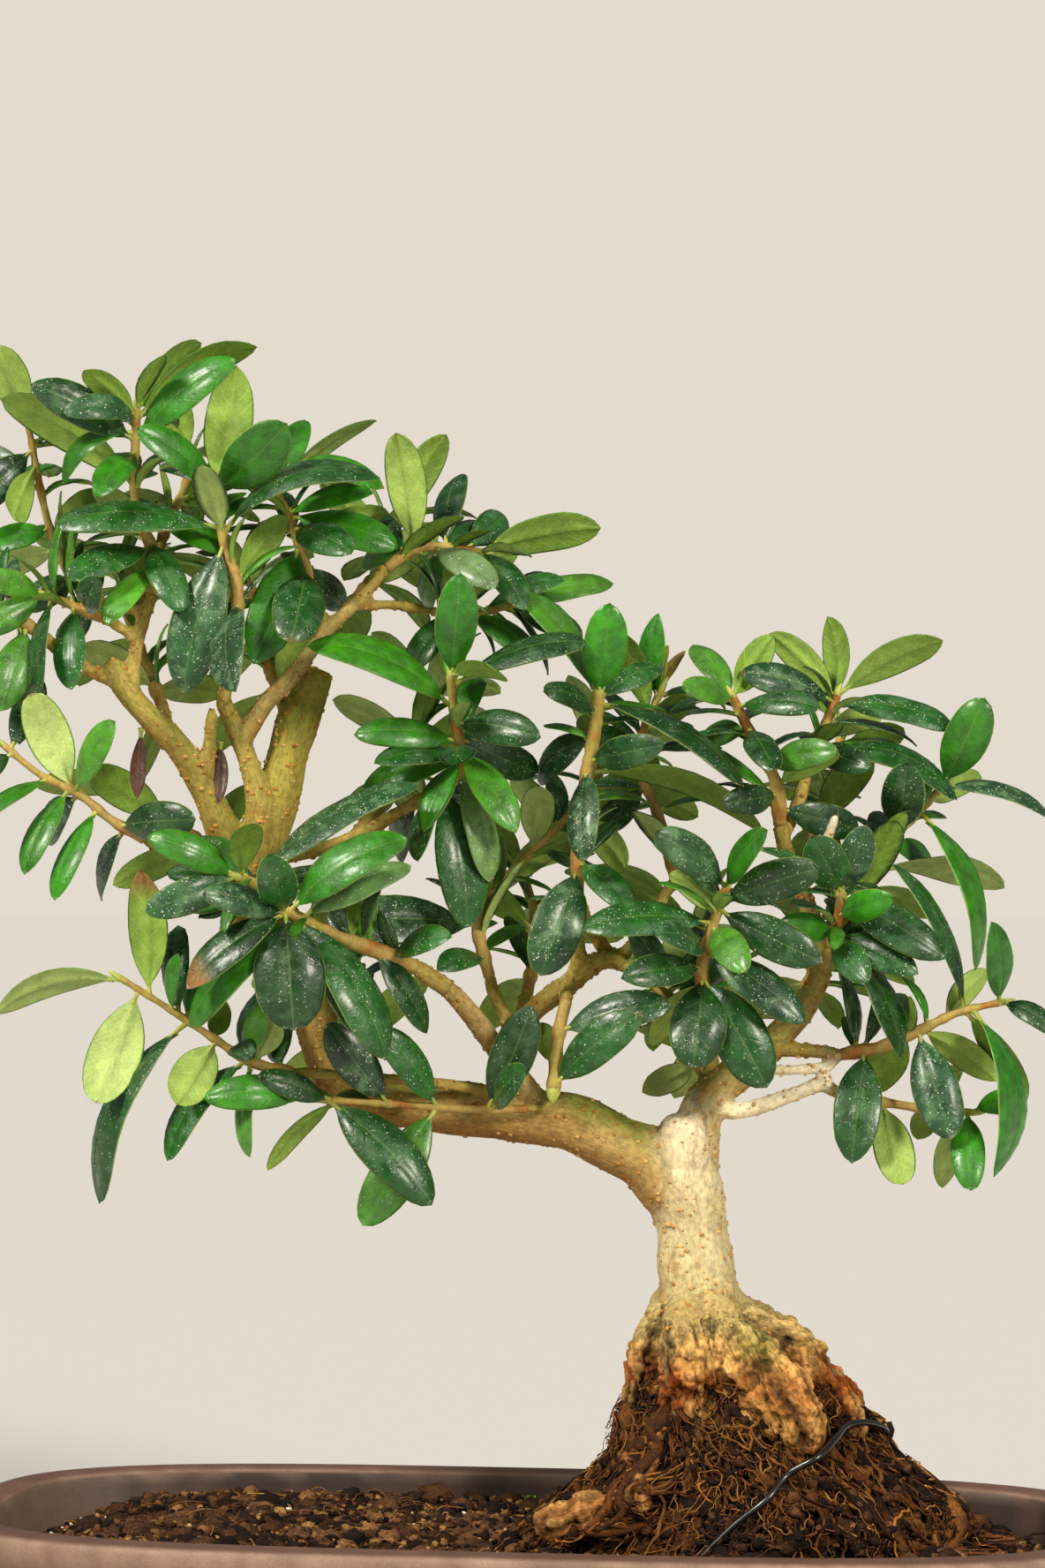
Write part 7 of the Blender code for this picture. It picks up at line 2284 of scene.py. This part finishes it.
def upper_side(base: np.ndarray, tip: np.ndarray, breadth: float, face: int) -> tuple[np.ndarray, float]:
    """The leaf's upper side and breadth, tipped until it shows as broad as the sheet has it.

    The side is the direction toward the eye, square to the leaf, by the cosine breadth / full,
    plus the upward direction square to both by the sine.

    Args:
        base: Where the stalk starts.
        tip: The tip.
        breadth: How broad the sheet shows it, in squares.
        face: Which side it shows, 1 for the upper one and -1 for the underside.

    Returns:
        The upper side's direction, and the breadth in metres.
    """
    along = unit(tip - base)
    sight = unit(EYE - base)
    toward = unit(sight - along * (sight @ along))
    upward = np.cross(along, toward)
    upward = upward if upward[2] >= 0 else -upward
    full = max(breadth * SQUARE, LEAF_RATIO * np.linalg.norm(tip - base))
    cosine = min(1.0, breadth * SQUARE / full)
    return toward * cosine * face + upward * math.sqrt(1 - cosine**2), full


def finely(route: list[tuple[float, float, float]]) -> np.ndarray:
    """Places along the straight spans of a twig on the sheet, close together.

    Args:
        route: The twig's corners.

    Returns:
        Rows of (x, z, d) in squares.
    """
    rows = np.array(route, float)
    steps = np.linspace(0, len(rows) - 1, SPAN_STEPS * (len(rows) - 1) + 1)
    return np.stack([np.interp(steps, np.arange(len(rows)), column) for column in rows.T], axis=1)


@dataclass
class Foliage:
    """Blades of many leaves at once, each a grid of rows along it and points round its edge.

    A point is the middle line, base + along * s + up * bow * 4 s (1 - s), plus the side direction
    times t times half the width there, plus the up direction times the blade's cross section. The
    width is breadth * (4 v (1 - v)) ** power, where v = u to a power of about 1 sets the widest
    place, and the other power falls towards the blunt tip. The section falls towards the margins
    and dips along the midrib.
    """

    rows: int = 13
    across: tuple[float, ...] = (-1, -0.9, -0.55, -0.14, 0, 0.14, 0.55, 0.9, 1)
    blade_start: float = 0.075
    thick: float = 0.5 * MM
    thin: float = 0.2 * MM
    stalk: float = 0.5 * MM

    def blades(self, leaves: list[Leaf], draw: np.random.Generator) -> Surface:
        """All blades of one shoot.

        Args:
            leaves: The leaves.
            draw: Where the random numbers come from.

        Returns:
            The blades, with the upper faces first.
        """
        base, tip, up = (column(leaves, key) for key in ("base", "tip", "up"))
        breadth, bow = (column(leaves, key)[:, None, None] for key in ("breadth", "bow"))
        n = len(leaves)
        one = (n, 1, 1)
        along = tip - base
        length = np.linalg.norm(along, axis=1)[:, None, None]
        side = unit(np.cross(along, up))
        lift = unit(np.cross(side, along))
        # Rows closer together at both ends, from the stalk to the tip
        u = 0.5 - 0.5 * np.cos(np.pi * np.linspace(0.0, 1.0, self.rows))
        u = (0.35 * np.linspace(0, 1, self.rows) + 0.65 * u)[None, :, None]
        s = self.blade_start + (1 - self.blade_start) * u
        # Width: slim leaves taper more, and the blade starts from the stalk's own width
        slim = breadth / length
        blunt = np.interp(slim, (0.2, 0.3, 0.4), (0.85, 0.56, 0.46)) + draw.uniform(-0.04, 0.04, one)
        v = u ** draw.uniform(1.0, 1.14, one)
        power = 0.82 + (blunt - 0.82) * np.clip(u * 1.4, 0, 1)
        wide = breadth * np.maximum(4 * v * (1 - v), 1e-9) ** power
        wide = wide * (1 - draw.uniform(0, 0.4, one) * np.clip((u - 0.86) / 0.14, 0, 1))
        wide = np.maximum(wide, 1.6 * self.stalk * np.clip(1 - u / 0.1, 0, 1) + 0.12 * MM)
        # Round the edge: over the upper face, then back along the underside
        top = np.array(self.across)[None, None, :]
        t = np.concatenate([top, top[..., -2:0:-1]], axis=2)
        below = (np.arange(t.size) >= top.size)[None, None, :]
        # Section: a fold along the midrib, margins that roll down, a slow wave, and the thickness
        cup = draw.uniform(-0.035, 0.075, one)
        height = draw.normal(0, 0.018, one)
        wave = height * np.sin(2 * np.pi * (1.3 * u + draw.uniform(0, 1, one))) * t
        rolled = 0.035 * np.clip(np.abs(t) - 0.7, 0, 1) / 0.3
        section = wide * (0.06 - (0.06 + cup) * t**2 - rolled - 0.035 * np.exp(-((t / 0.1) ** 2)) + wave)
        depth = self.thick + (self.thin - self.thick) * np.abs(t) ** 0.7
        depth = depth * np.clip(0.55 + 1.2 * (1 - u), 0, 1)
        depth = depth + 0.5 * MM * np.exp(-((t / 0.11) ** 2)) * (1 - 0.8 * u)
        section = section - below * np.where(np.abs(t) > 0.99, 0, depth)
        # The whole blade: a tip that curls down, a sway to the side and a twist
        curl = -draw.uniform(0, 0.035, one) * length * np.clip((u - 0.7) / 0.3, 0, 1) ** 2
        sway = draw.normal(0, 0.012, one) * length * np.sin(np.pi * u)
        twist = draw.normal(0, 0.12, one) * (u - 0.3)
        arch = bow * length * 4 * s * (1 - s) + curl
        x = (t * wide / 2 * np.cos(twist) - section * np.sin(twist) + sway)[..., None]
        z = (section * np.cos(twist) + t * wide / 2 * np.sin(twist) + arch)[..., None]
        points = (base[:, None, None] + along[:, None, None] * s[..., None] + side[:, None, None] * x
                  + lift[:, None, None] * z)
        round_count = t.shape[2]
        quads = grid_faces(self.rows, round_count, True).reshape(self.rows - 1, round_count, 4)
        first = (np.arange(n) * self.rows * round_count)[:, None, None]
        upper_count = len(self.across) - 1
        upper = (quads[:, :upper_count].reshape(1, -1, 4) + first).reshape(-1, 4)[:, ::-1]
        lower = (quads[:, upper_count:].reshape(1, -1, 4) + first).reshape(-1, 4)[:, ::-1]
        ring = first[:, 0] + np.arange(round_count)
        caps = np.vstack([ring, ring[:, ::-1] + (self.rows - 1) * round_count])
        made = Surface(points, [upper, lower, caps], [1, 2, 2])
        uv = np.stack(np.broadcast_arrays(u, (t + 1) / 2), axis=-1)
        made.with_values(uv=np.broadcast_to(uv, (n, *uv.shape[1:])).reshape(-1, 2))
        return self.coloured(made, leaves, draw, np.broadcast_to(below, points.shape[:3]),
                             np.broadcast_to(u, points.shape[:3]))

    def coloured(self, made: Surface, leaves: list[Leaf], draw: np.random.Generator, below: np.ndarray,
                 u: np.ndarray) -> Surface:
        """Gives each blade its greens above and below, and browns the tips that have dried.

        Args:
            made: The blades.
            leaves: The leaves.
            draw: Where the random numbers come from.
            below: Which points are on the underside.
            u: Each point's share of the blade's length.

        Returns:
            The same surface.
        """
        n = len(leaves)
        upper = np.array([srgb(leaf.tone.value[0]) for leaf in leaves])
        upper = upper * draw.uniform(0.75, 1.3, (n, 1)) * draw.uniform(0.9, 1.1, (n, 3))
        under = np.array([srgb(UNDERSIDE_GREENS_LIT_THROUGH[k]) for k in draw.integers(len(UNDERSIDE_GREENS_LIT_THROUGH), size=n)])
        under = under * draw.uniform(0.8, 1.12, (n, 1))
        tint = np.where(below[..., None], under[:, None, None], upper[:, None, None])
        brown = column(leaves, "brown_tip")[:, None, None]
        share = np.clip((u - 1 + brown) / 0.06, 0, 1) * (brown > 0)
        tint = mixed(tint, "#9A6C3A", 0.9 * share)
        bloom = np.array([leaf.tone.value[1] for leaf in leaves])[:, None, None] * np.ones(u.shape)
        return made.with_values(tint=tint.reshape(-1, 3), bloom=bloom.ravel())

    def stalks(self, leaves: list[Leaf], line: np.ndarray, draw: np.random.Generator) -> Surface:
        """Stalks from the twig's middle line to the blades, swollen where they leave the twig.

        Args:
            leaves: The leaves.
            line: The twig's middle line.
            draw: Where the random numbers come from.

        Returns:
            The stalks.
        """
        base, tip, up = (column(leaves, key) for key in ("base", "tip", "up"))
        bow = column(leaves, "bow")[:, None, None]
        along = tip - base
        length = np.linalg.norm(along, axis=1)[:, None, None]
        lift = unit(np.cross(unit(np.cross(along, up)), along))[:, None]
        s = np.linspace(0, self.blade_start + 0.045, 7)[None, :, None]
        paths = base[:, None] + along[:, None] * s + lift * bow * length * 4 * s * (1 - s)
        away = np.linalg.norm(base[:, None] - line[None, :, :3], axis=2)
        shift = line[away.argmin(1), :3] - base
        shift = shift * (away.min(1) < 3 * MM)[:, None]
        paths = paths + shift[:, None] * (1 - s / s[0, -1]) - lift * 0.25 * MM * (s / s[0, -1])
        width = self.stalk * np.interp(s[0, :, 0], (0, 0.02, 0.06, 0.12), (1.5, 1.2, 0.95, 0.8))
        made = sweep(paths, np.broadcast_to(width, paths.shape[:2]), 8)
        return painted(made, ("#B5B94A", "#A3B04A", "#C4C160", "#9AA646"), draw, len(leaves),
                       change=0.12)


@dataclass
class Shoot:
    """One leafy twig: its own bark, its bud and its leaves."""

    name: str
    twig: list[tuple[float, float, float]]
    thick: float
    thin: float

    def line(self) -> np.ndarray:
        """The twig's middle line, begun a little inside the branch that carries it.

        Returns:
            Rows of (x, y, z, radius) in metres.
        """
        rows = np.array(self.twig, float)
        radius = np.linspace(self.thick, self.thin, len(rows)) * SQUARE / 2
        spots = place(rows)
        early = spots[0] - unit(spots[1] - spots[0]) * 1.2 * MM
        spots = np.vstack([early, spots[1:]])
        return curve_through(np.column_stack([spots, radius]), TWIG_SPACING)

    def corners(self) -> np.ndarray:
        """The corners of this shoot's solid in the frame.

        Returns:
            (n, 3) points in metres.
        """
        mesh = bpy.data.objects[self.name].data
        found = np.empty(len(mesh.vertices) * 3, np.float32)
        mesh.vertices.foreach_get("co", found)
        return found.reshape(-1, 3).astype(float)

    def settled(self, base: np.ndarray, tip: np.ndarray, normal: np.ndarray,
                corners: np.ndarray) -> tuple[np.ndarray, np.ndarray] | None:
        """How the leaf is turned in the frame.

        Args:
            base: Where the stalk starts.
            tip: The unturned tip.
            normal: The unturned upper side.
            corners: The corners of the shoot's solid.

        Returns:
            The tip and upper side, or nothing where the leaf has no room.
        """
        choices = leaf_places(base, tip, normal)
        away = np.array([np.linalg.norm(corners - moved, axis=1).min() for moved, _ in choices])
        best = int(away.argmin())
        return choices[best] if away[best] < 0.3 * MM else None

    def drawn(self, leaves: list[tuple], draw: random.Random) -> list[Leaf]:
        """The leaves that the sheet shows.

        Args:
            leaves: The shoot's leaves as the table gives them.
            draw: Where the tones and the dried tips come from.

        Returns:
            The leaves.
        """
        fine, corners, made = finely(self.twig), self.corners(), []
        for x, z, tip_x, tip_z, breadth, face, away, *bow in leaves:
            spot = fine[np.argmin((fine[:, 0] - x) ** 2 + (fine[:, 1] - z) ** 2)]
            base, tip = place(spot), place(np.array((tip_x, tip_z, spot[2] + away)))
            normal, full = upper_side(base, tip, breadth, face)
            tone = LEAF_TONES.get((tip_x, tip_z), draw.choice(COMMON_TONES))
            brown = 0.22 if (tip_x, tip_z) in BROWN_TIPPED else max(0, draw.uniform(-0.25, 0.05))
            found = self.settled(base, tip, normal, corners)
            if found:
                made.append(Leaf(base, *found, full, bow[0] if bow else LEAF_BOW, tone, brown))
        return made

    def paired(self, pairs: int, place_draw: random.Random, draw: random.Random) -> list[Leaf]:
        """Opposite pairs along a hidden shoot, each a quarter turn from the last.

        Args:
            pairs: How many.
            place_draw: Where the places come from.
            draw: Where the tones come from.

        Returns:
            The leaves.
        """
        fine, corners, made = finely(self.twig), self.corners(), []
        last = len(fine) - 1
        for i, share in enumerate(np.linspace(REAR_FIRST_PAIR, REAR_LAST_PAIR, pairs)):
            at = int(share * last)
            base = place(fine[at])
            along = Vector(unit(place(fine[min(at + 1, last)]) - place(fine[at - 1])))
            spread_by = REAR_SPREAD if i < pairs - 1 else REAR_END_SPREAD
            for half in (0, 1):
                angle = math.pi * half + math.pi / 2 * i + place_draw.uniform(-REAR_TURN, REAR_TURN)
                out = Matrix.Rotation(angle, 3, along) @ along.orthogonal().normalized()
                reach = REAR_LEAF_LENGTH * SQUARE * place_draw.uniform(1 - REAR_CHANGE, 1 + REAR_CHANGE)
                tip = base + np.array(along * math.cos(spread_by) + out * math.sin(spread_by)) * reach
                tip[2] -= REAR_DROOP * reach
                line = unit(tip - base)
                normal = unit(np.array(along) - line * (np.array(along) @ line))
                found = self.settled(base, tip, normal, corners)
                if found:
                    breadth = REAR_LEAF_BREADTH * SQUARE
                    made.append(Leaf(base, *found, breadth, LEAF_BOW, draw.choice(COMMON_TONES), 0.0))
        return made

    def bark(self, line: np.ndarray, leaves: list[Leaf]) -> Surface:
        """The twig: a round section, swollen where leaves stand, with a bud at its end.

        Args:
            line: The twig's middle line and radius.
            leaves: Its leaves.

        Returns:
            The twig and its bud.
        """
        radius = line[:, 3].copy()
        for leaf in leaves:
            away = np.linalg.norm(line[:, :3] - leaf.base, axis=1)
            radius = np.maximum(radius, line[:, 3] * (1 + 0.3 * np.exp(-((away / (1.1 * MM)) ** 2))))
        twig = sweep(line[:, :3], radius, 10)
        along = twig.values["along"]
        patch = Relief(Seed.TWIGS).layers(twig.points, 5 * MM, 3)
        tint = mixed("#B89650", "#A8A446", 0.1 + 0.5 * along + 0.4 * patch)
        tint = mixed(tint, "#A4601E", np.clip(1.9 * patch + 0.35 * along - 0.35, 0, 0.8))
        twig.with_values(tint=tint, grain=np.column_stack([twig.points[:, :2],
                                                           along * len(line) * TWIG_SPACING]))
        share = np.linspace(0, 1, 7)
        rise = unit(line[-1, :3] - line[-3, :3]) * (share[:, None] * 3.4 - 0.5) * MM
        bud = sweep(line[-1, :3] + rise, line[-1, 3] * 1.15 * (1 - share**2.2) + 0.05 * MM, 8)
        bud.with_values(tint=srgb("#B7BE5E"), grain=bud.points)
        return Surface.joined([twig, bud])

    def build(self, look: Look, foliage: tuple[Foliage, Foliage], leaves: list[Leaf], seed: int) -> None:
        """Makes twig, stalks and blades as one piece in place of the frame's shoot.

        Args:
            look: The materials.
            foliage: How full leaves and fillers are shaped.
            leaves: The shoot's leaves.
            seed: For its random numbers.
        """
        line = self.line()
        draw = np.random.default_rng(seed)
        parts = [self.bark(line, leaves)]
        for kind, small in zip(foliage, (False, True)):
            chosen = [leaf for leaf in leaves if leaf.small == small]
            if chosen:
                parts += [kind.stalks(chosen, line, draw), kind.blades(chosen, draw)]
        made = Surface.joined(parts)
        made.piece(self.name.replace("shoot", "leafy_twig"), [look.twig, look.leaf_top, look.leaf_under],
                   "olive_leaf", (self.name,))


# Leaves that hang from the wood: shoot that carries them, stalk, tip, breadth and tone
HUNG_LEAVES = (
    ("shoot_left_top", (32, 163, -6), (31, 147, -7), 3.8, Tone.DRY),
    ("shoot_left_top", (50, 160, -4), (49, 146, -6), 4.4, Tone.DRY),
)

# Where the crown is dense on the sheet, as outlines of (x, z) in squares
THICKETS = (
    ((0, 248), (58, 248), (96, 224), (104, 208), (86, 188), (60, 176), (36, 180), (12, 188), (0, 190)),
    ((96, 216), (140, 208), (148, 184), (166, 172), (164, 128), (140, 116), (112, 112), (84, 116),
     (66, 126), (88, 154), (106, 160), (100, 176), (88, 184)),
    ((166, 172), (180, 182), (212, 172), (222, 156), (216, 128), (212, 104), (196, 92), (172, 96),
     (160, 108), (164, 138)),
    ((36, 136), (66, 136), (84, 120), (96, 92), (86, 76), (60, 78), (52, 98), (40, 116)),
)


def within(spot: np.ndarray, outline: tuple[tuple[float, float], ...]) -> bool:
    """Whether a line from a place to the right crosses an outline an odd number of times.

    Args:
        spot: The place (x, z).
        outline: The outline's corners.

    Returns:
        Whether it is inside.
    """
    a = np.array(outline, float)
    b = np.roll(a, -1, axis=0)
    spans = (a[:, 1] > spot[1]) != (b[:, 1] > spot[1])
    rise = np.where(spans, b[:, 1] - a[:, 1], 1)
    return bool((spans & (spot[0] < a[:, 0] + (b[:, 0] - a[:, 0]) * (spot[1] - a[:, 1]) / rise)).sum() % 2)


def on_sheet(point: np.ndarray) -> np.ndarray:
    """Where a point shows on the sheet.

    Args:
        point: The point in metres.

    Returns:
        Its place (x, z) in squares.
    """
    ray = point - EYE
    scale = SHEET_FOCUS / (ray @ FORWARD)
    return np.array([SHEET_MIDDLE[0] + ray @ RIGHT * scale, SHEET_MIDDLE[1] + ray @ UP * scale])


def blade_sheets(leaves: list[Leaf], clear: float = 0.45 * MM) -> tuple[np.ndarray, np.ndarray]:
    """Two rough sheets for each leaf, one just above its blade and one just below.

    Args:
        leaves: The leaves.
        clear: How far off the blade each sheet lies, in metres.

    Returns:
        The sheets' points in millimetres, and their quads.
    """
    base, tip, up, breadth, bow = (column(leaves, key) for key in ("base", "tip", "up", "breadth", "bow"))
    along = tip - base
    side = unit(np.cross(along, up))
    lift = unit(np.cross(side, along))
    s = np.array([0.17, 0.38, 0.62, 0.84, 1.0])
    half = np.array([0.5, 0.93, 1.0, 0.78, 0.08]) * breadth[:, None] * 0.53
    rise = (bow * np.linalg.norm(along, axis=1))[:, None] * 4 * s * (1 - s)
    middle = base[:, None] + along[:, None] * s[:, None] + lift[:, None] * rise[..., None]
    layers = [middle + w * half[..., None] * side[:, None] + h * clear * lift[:, None]
              for h in (1, -1) for w in (-1, 1)]
    points = np.stack(layers, axis=2)
    step = np.arange(4)[:, None] * 4
    quads = np.vstack([step + k + np.array([[0, 1, 5, 4]]) for k in (0, 2)])
    faces = quads[None] + (np.arange(len(leaves)) * 20)[:, None, None]
    return points.reshape(-1, 3) / MM, faces.reshape(-1, 4)


@dataclass
class Crown:
    """All leafy shoots, and small leaves that fill the thick of the crown."""

    foliage: tuple[Foliage, Foliage] = (Foliage(), Foliage(rows=9, across=(-1, -0.6, -0.14, 0, 0.14, 0.6, 1)))
    tries: int = 90
    most: int = 11
    clear: float = 2.0

    def filler(self, fine: np.ndarray, draw: random.Random) -> Leaf:
        """A small leaf at a random place on a twig, pointing out from it and a little away.

        Args:
            fine: Places along the twig on the sheet.
            draw: Where the random numbers come from.

        Returns:
            The leaf.
        """
        at = draw.randrange(2, len(fine) - 1)
        base = place(fine[at])
        along = Vector(unit(place(fine[at + 1]) - place(fine[at - 1])))
        out = Matrix.Rotation(draw.uniform(0, 2 * math.pi), 3, along) @ along.orthogonal().normalized()
        spread_by = math.radians(draw.uniform(40, 85))
        reach = draw.uniform(11, 23) * SQUARE
        way = np.array(along * math.cos(spread_by) + out * math.sin(spread_by))
        way = unit(way + LEVEL * draw.uniform(0, 0.7) - np.array([0, 0, draw.uniform(-0.1, 0.35)]))
        normal = unit(np.array(along) * 0.6 + np.array([0, 0, 0.6]) - LEVEL * 0.3)
        normal = unit(normal - way * (way @ normal))
        breadth = reach * draw.uniform(0.28, 0.42)
        tone = draw.choice(COMMON_TONES)
        return Leaf(base, base + way * reach, normal, breadth, draw.uniform(0.04, 0.14), tone,
                    max(0, draw.uniform(-0.4, 0.06)), True)

    def fill(self, shoots: list[Shoot], leaves: dict[str, list[Leaf]]) -> None:
        """Adds small leaves in the thick of the crown wherever they cross nothing.

        Args:
            shoots: All shoots.
            leaves: The leaves of each shoot, which the new ones are added to.
        """
        draw = random.Random(Seed.FILLERS)
        corners, quads = blade_sheets([leaf for group in leaves.values() for leaf in group])
        standing = BVHTree.FromPolygons(corners.tolist(), quads.tolist())
        bark = bark_tree()
        twigs = {shoot.name: shoot.line()[:, :3] / MM for shoot in shoots}
        added = []
        for shoot in shoots:
            fine = finely(shoot.twig)
            others = np.vstack([line for name, line in twigs.items() if name != shoot.name])
            count = 0
            for _ in range(self.tries):
                leaf = self.filler(fine, draw)
                seen_at = on_sheet(leaf.tip)
                if count == self.most or not any(within(seen_at, outline) for outline in THICKETS):
                    continue
                points, faces = blade_sheets([leaf])
                own = BVHTree.FromPolygons(points.tolist(), faces.tolist())
                near = np.linalg.norm(points[:, None] - others[None], axis=2).min()
                if near < self.clear or any(own.overlap(tree) for tree in (standing, bark, *added)):
                    continue
                added.append(own)
                leaves[shoot.name].append(leaf)
                count += 1
        LOG.info("%d small leaves fill the crown", len(added))

    def build(self, look: Look) -> None:
        """Makes the shoots: leaves drawn on the sheet, pairs on the hidden ones, then the fillers.

        Args:
            look: The materials.
        """
        tones, places = random.Random(Seed.LEAF_TONES), random.Random(Seed.REAR_LEAVES)
        shoots, leaves = [], {}
        for name, (_, twig, thick, thin, given) in {**SHOOTS, **REAR_SHOOTS}.items():
            shoot = Shoot(name, twig, thick, thin)
            shoots.append(shoot)
            leaves[name] = (shoot.drawn(given, tones) if name in SHOOTS
                            else shoot.paired(given, places, tones))
        for name, stalk, end, breadth, tone in HUNG_LEAVES:
            base, tip = place(np.array([stalk, end], float))
            leaves[name].append(Leaf(base, tip, -LEVEL, breadth * SQUARE, -0.06, tone, 0.0))
        self.fill(shoots, leaves)
        for number, shoot in enumerate(shoots):
            shoot.build(look, self.foliage, leaves[shoot.name], Seed.SHOOTS + number)


@dataclass
class Studio:
    """A pale floor under soft light, and a camera where the viewer's eye is."""

    floor: str = "#D9D7D3"
    backdrop: str = "#E3DBCD"
    reach: float = 9.0
    key: float = 3.1
    fill: float = 2.3
    sky: float = 0.16
    softness: float = 0.24
    aim_height: float = 150 * MM
    below: float = 0.6 * MM

    def light(self, name: str, spot: tuple[float, float, float], power: float, tint: str) -> None:
        """One soft sun that faces the middle of the tree.

        Args:
            name: The light's name.
            spot: Where it stands, in metres.
            power: Its strength.
            tint: Its colour.
        """
        lamp = bpy.data.lights.new(name, "SUN")
        lamp.energy, lamp.color, lamp.angle = power, srgb(tint), self.softness
        made = shown(name, lamp)
        made.location = spot
        aim = Vector((0, 0, self.aim_height)) - Vector(spot)
        made.rotation_euler = aim.to_track_quat("-Z", "Y").to_euler()

    def build(self) -> None:
        """Floor, sky, lights and camera."""
        scene = bpy.context.scene
        r, z = self.reach, -self.below
        floor = Surface(np.array([(-r, -r, z), (r, -r, z), (r, r, z), (-r, r, z)]), [np.arange(4)[None]])
        made = shown("studio_floor", floor.mesh("studio_floor"))
        paper = bpy.data.materials.new("pale_paper_floor")
        paper.use_nodes = True
        shader = paper.node_tree.nodes["Principled BSDF"]
        shader.inputs["Base Color"].default_value = colour(self.floor)
        shader.inputs["Roughness"].default_value = 0.9
        shader.inputs["Specular IOR Level"].default_value = 0.1
        made.data.materials.append(paper)
        world = bpy.data.worlds.new("soft_sky")
        world.use_nodes = True
        tree = world.node_tree
        dim = tree.nodes["Background"]
        dim.inputs["Color"].default_value = colour("#EEF0F2")
        dim.inputs["Strength"].default_value = self.sky
        ray = add(tree, "LightPath", out="Is Camera Ray")
        seen = add(tree, "Background", {"Color": colour(self.backdrop)})
        both = add(tree, "MixShader", (ray, dim.outputs[0], seen))
        tree.links.new(both, tree.nodes["World Output"].inputs["Surface"])
        scene.world = world
        self.light("left softbox", (-0.7, -0.75, 1.05), self.key, "#FFF8EC")
        self.light("right softbox", (0.8, -0.9, 0.75), self.fill, "#FFF6E8")
        scene.view_settings.view_transform = "Standard"
        lens = bpy.data.cameras.new("eye")
        lens.lens, lens.sensor_width = LENS, FILM
        camera = shown("eye", lens)
        turn = Matrix([RIGHT, UP, -FORWARD]).transposed()
        camera.matrix_world = Matrix.Translation(EYE) @ turn.to_4x4()
        scene.camera = camera


def plain(corners: tuple[Vector, Vector]) -> list[list[float]]:
    """A box's two corners as lists of numbers."""
    return [list(corner) for corner in corners]


def main() -> None:
    """Loads the frame, dresses every node and sets the studio."""
    logging.basicConfig(level=logging.INFO, format="%(message)s", stream=sys.stdout)
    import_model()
    look = Look()
    skin = Wood().build(look)
    RootMass().build(look, skin)
    for part in (Tray(), DrainScreens(), SoilBed(), TieWire(), Crown()):
        part.build(look)
        LOG.info("%s is done", type(part).__name__)
    Studio().build()


if __name__ == "__main__":
    main()
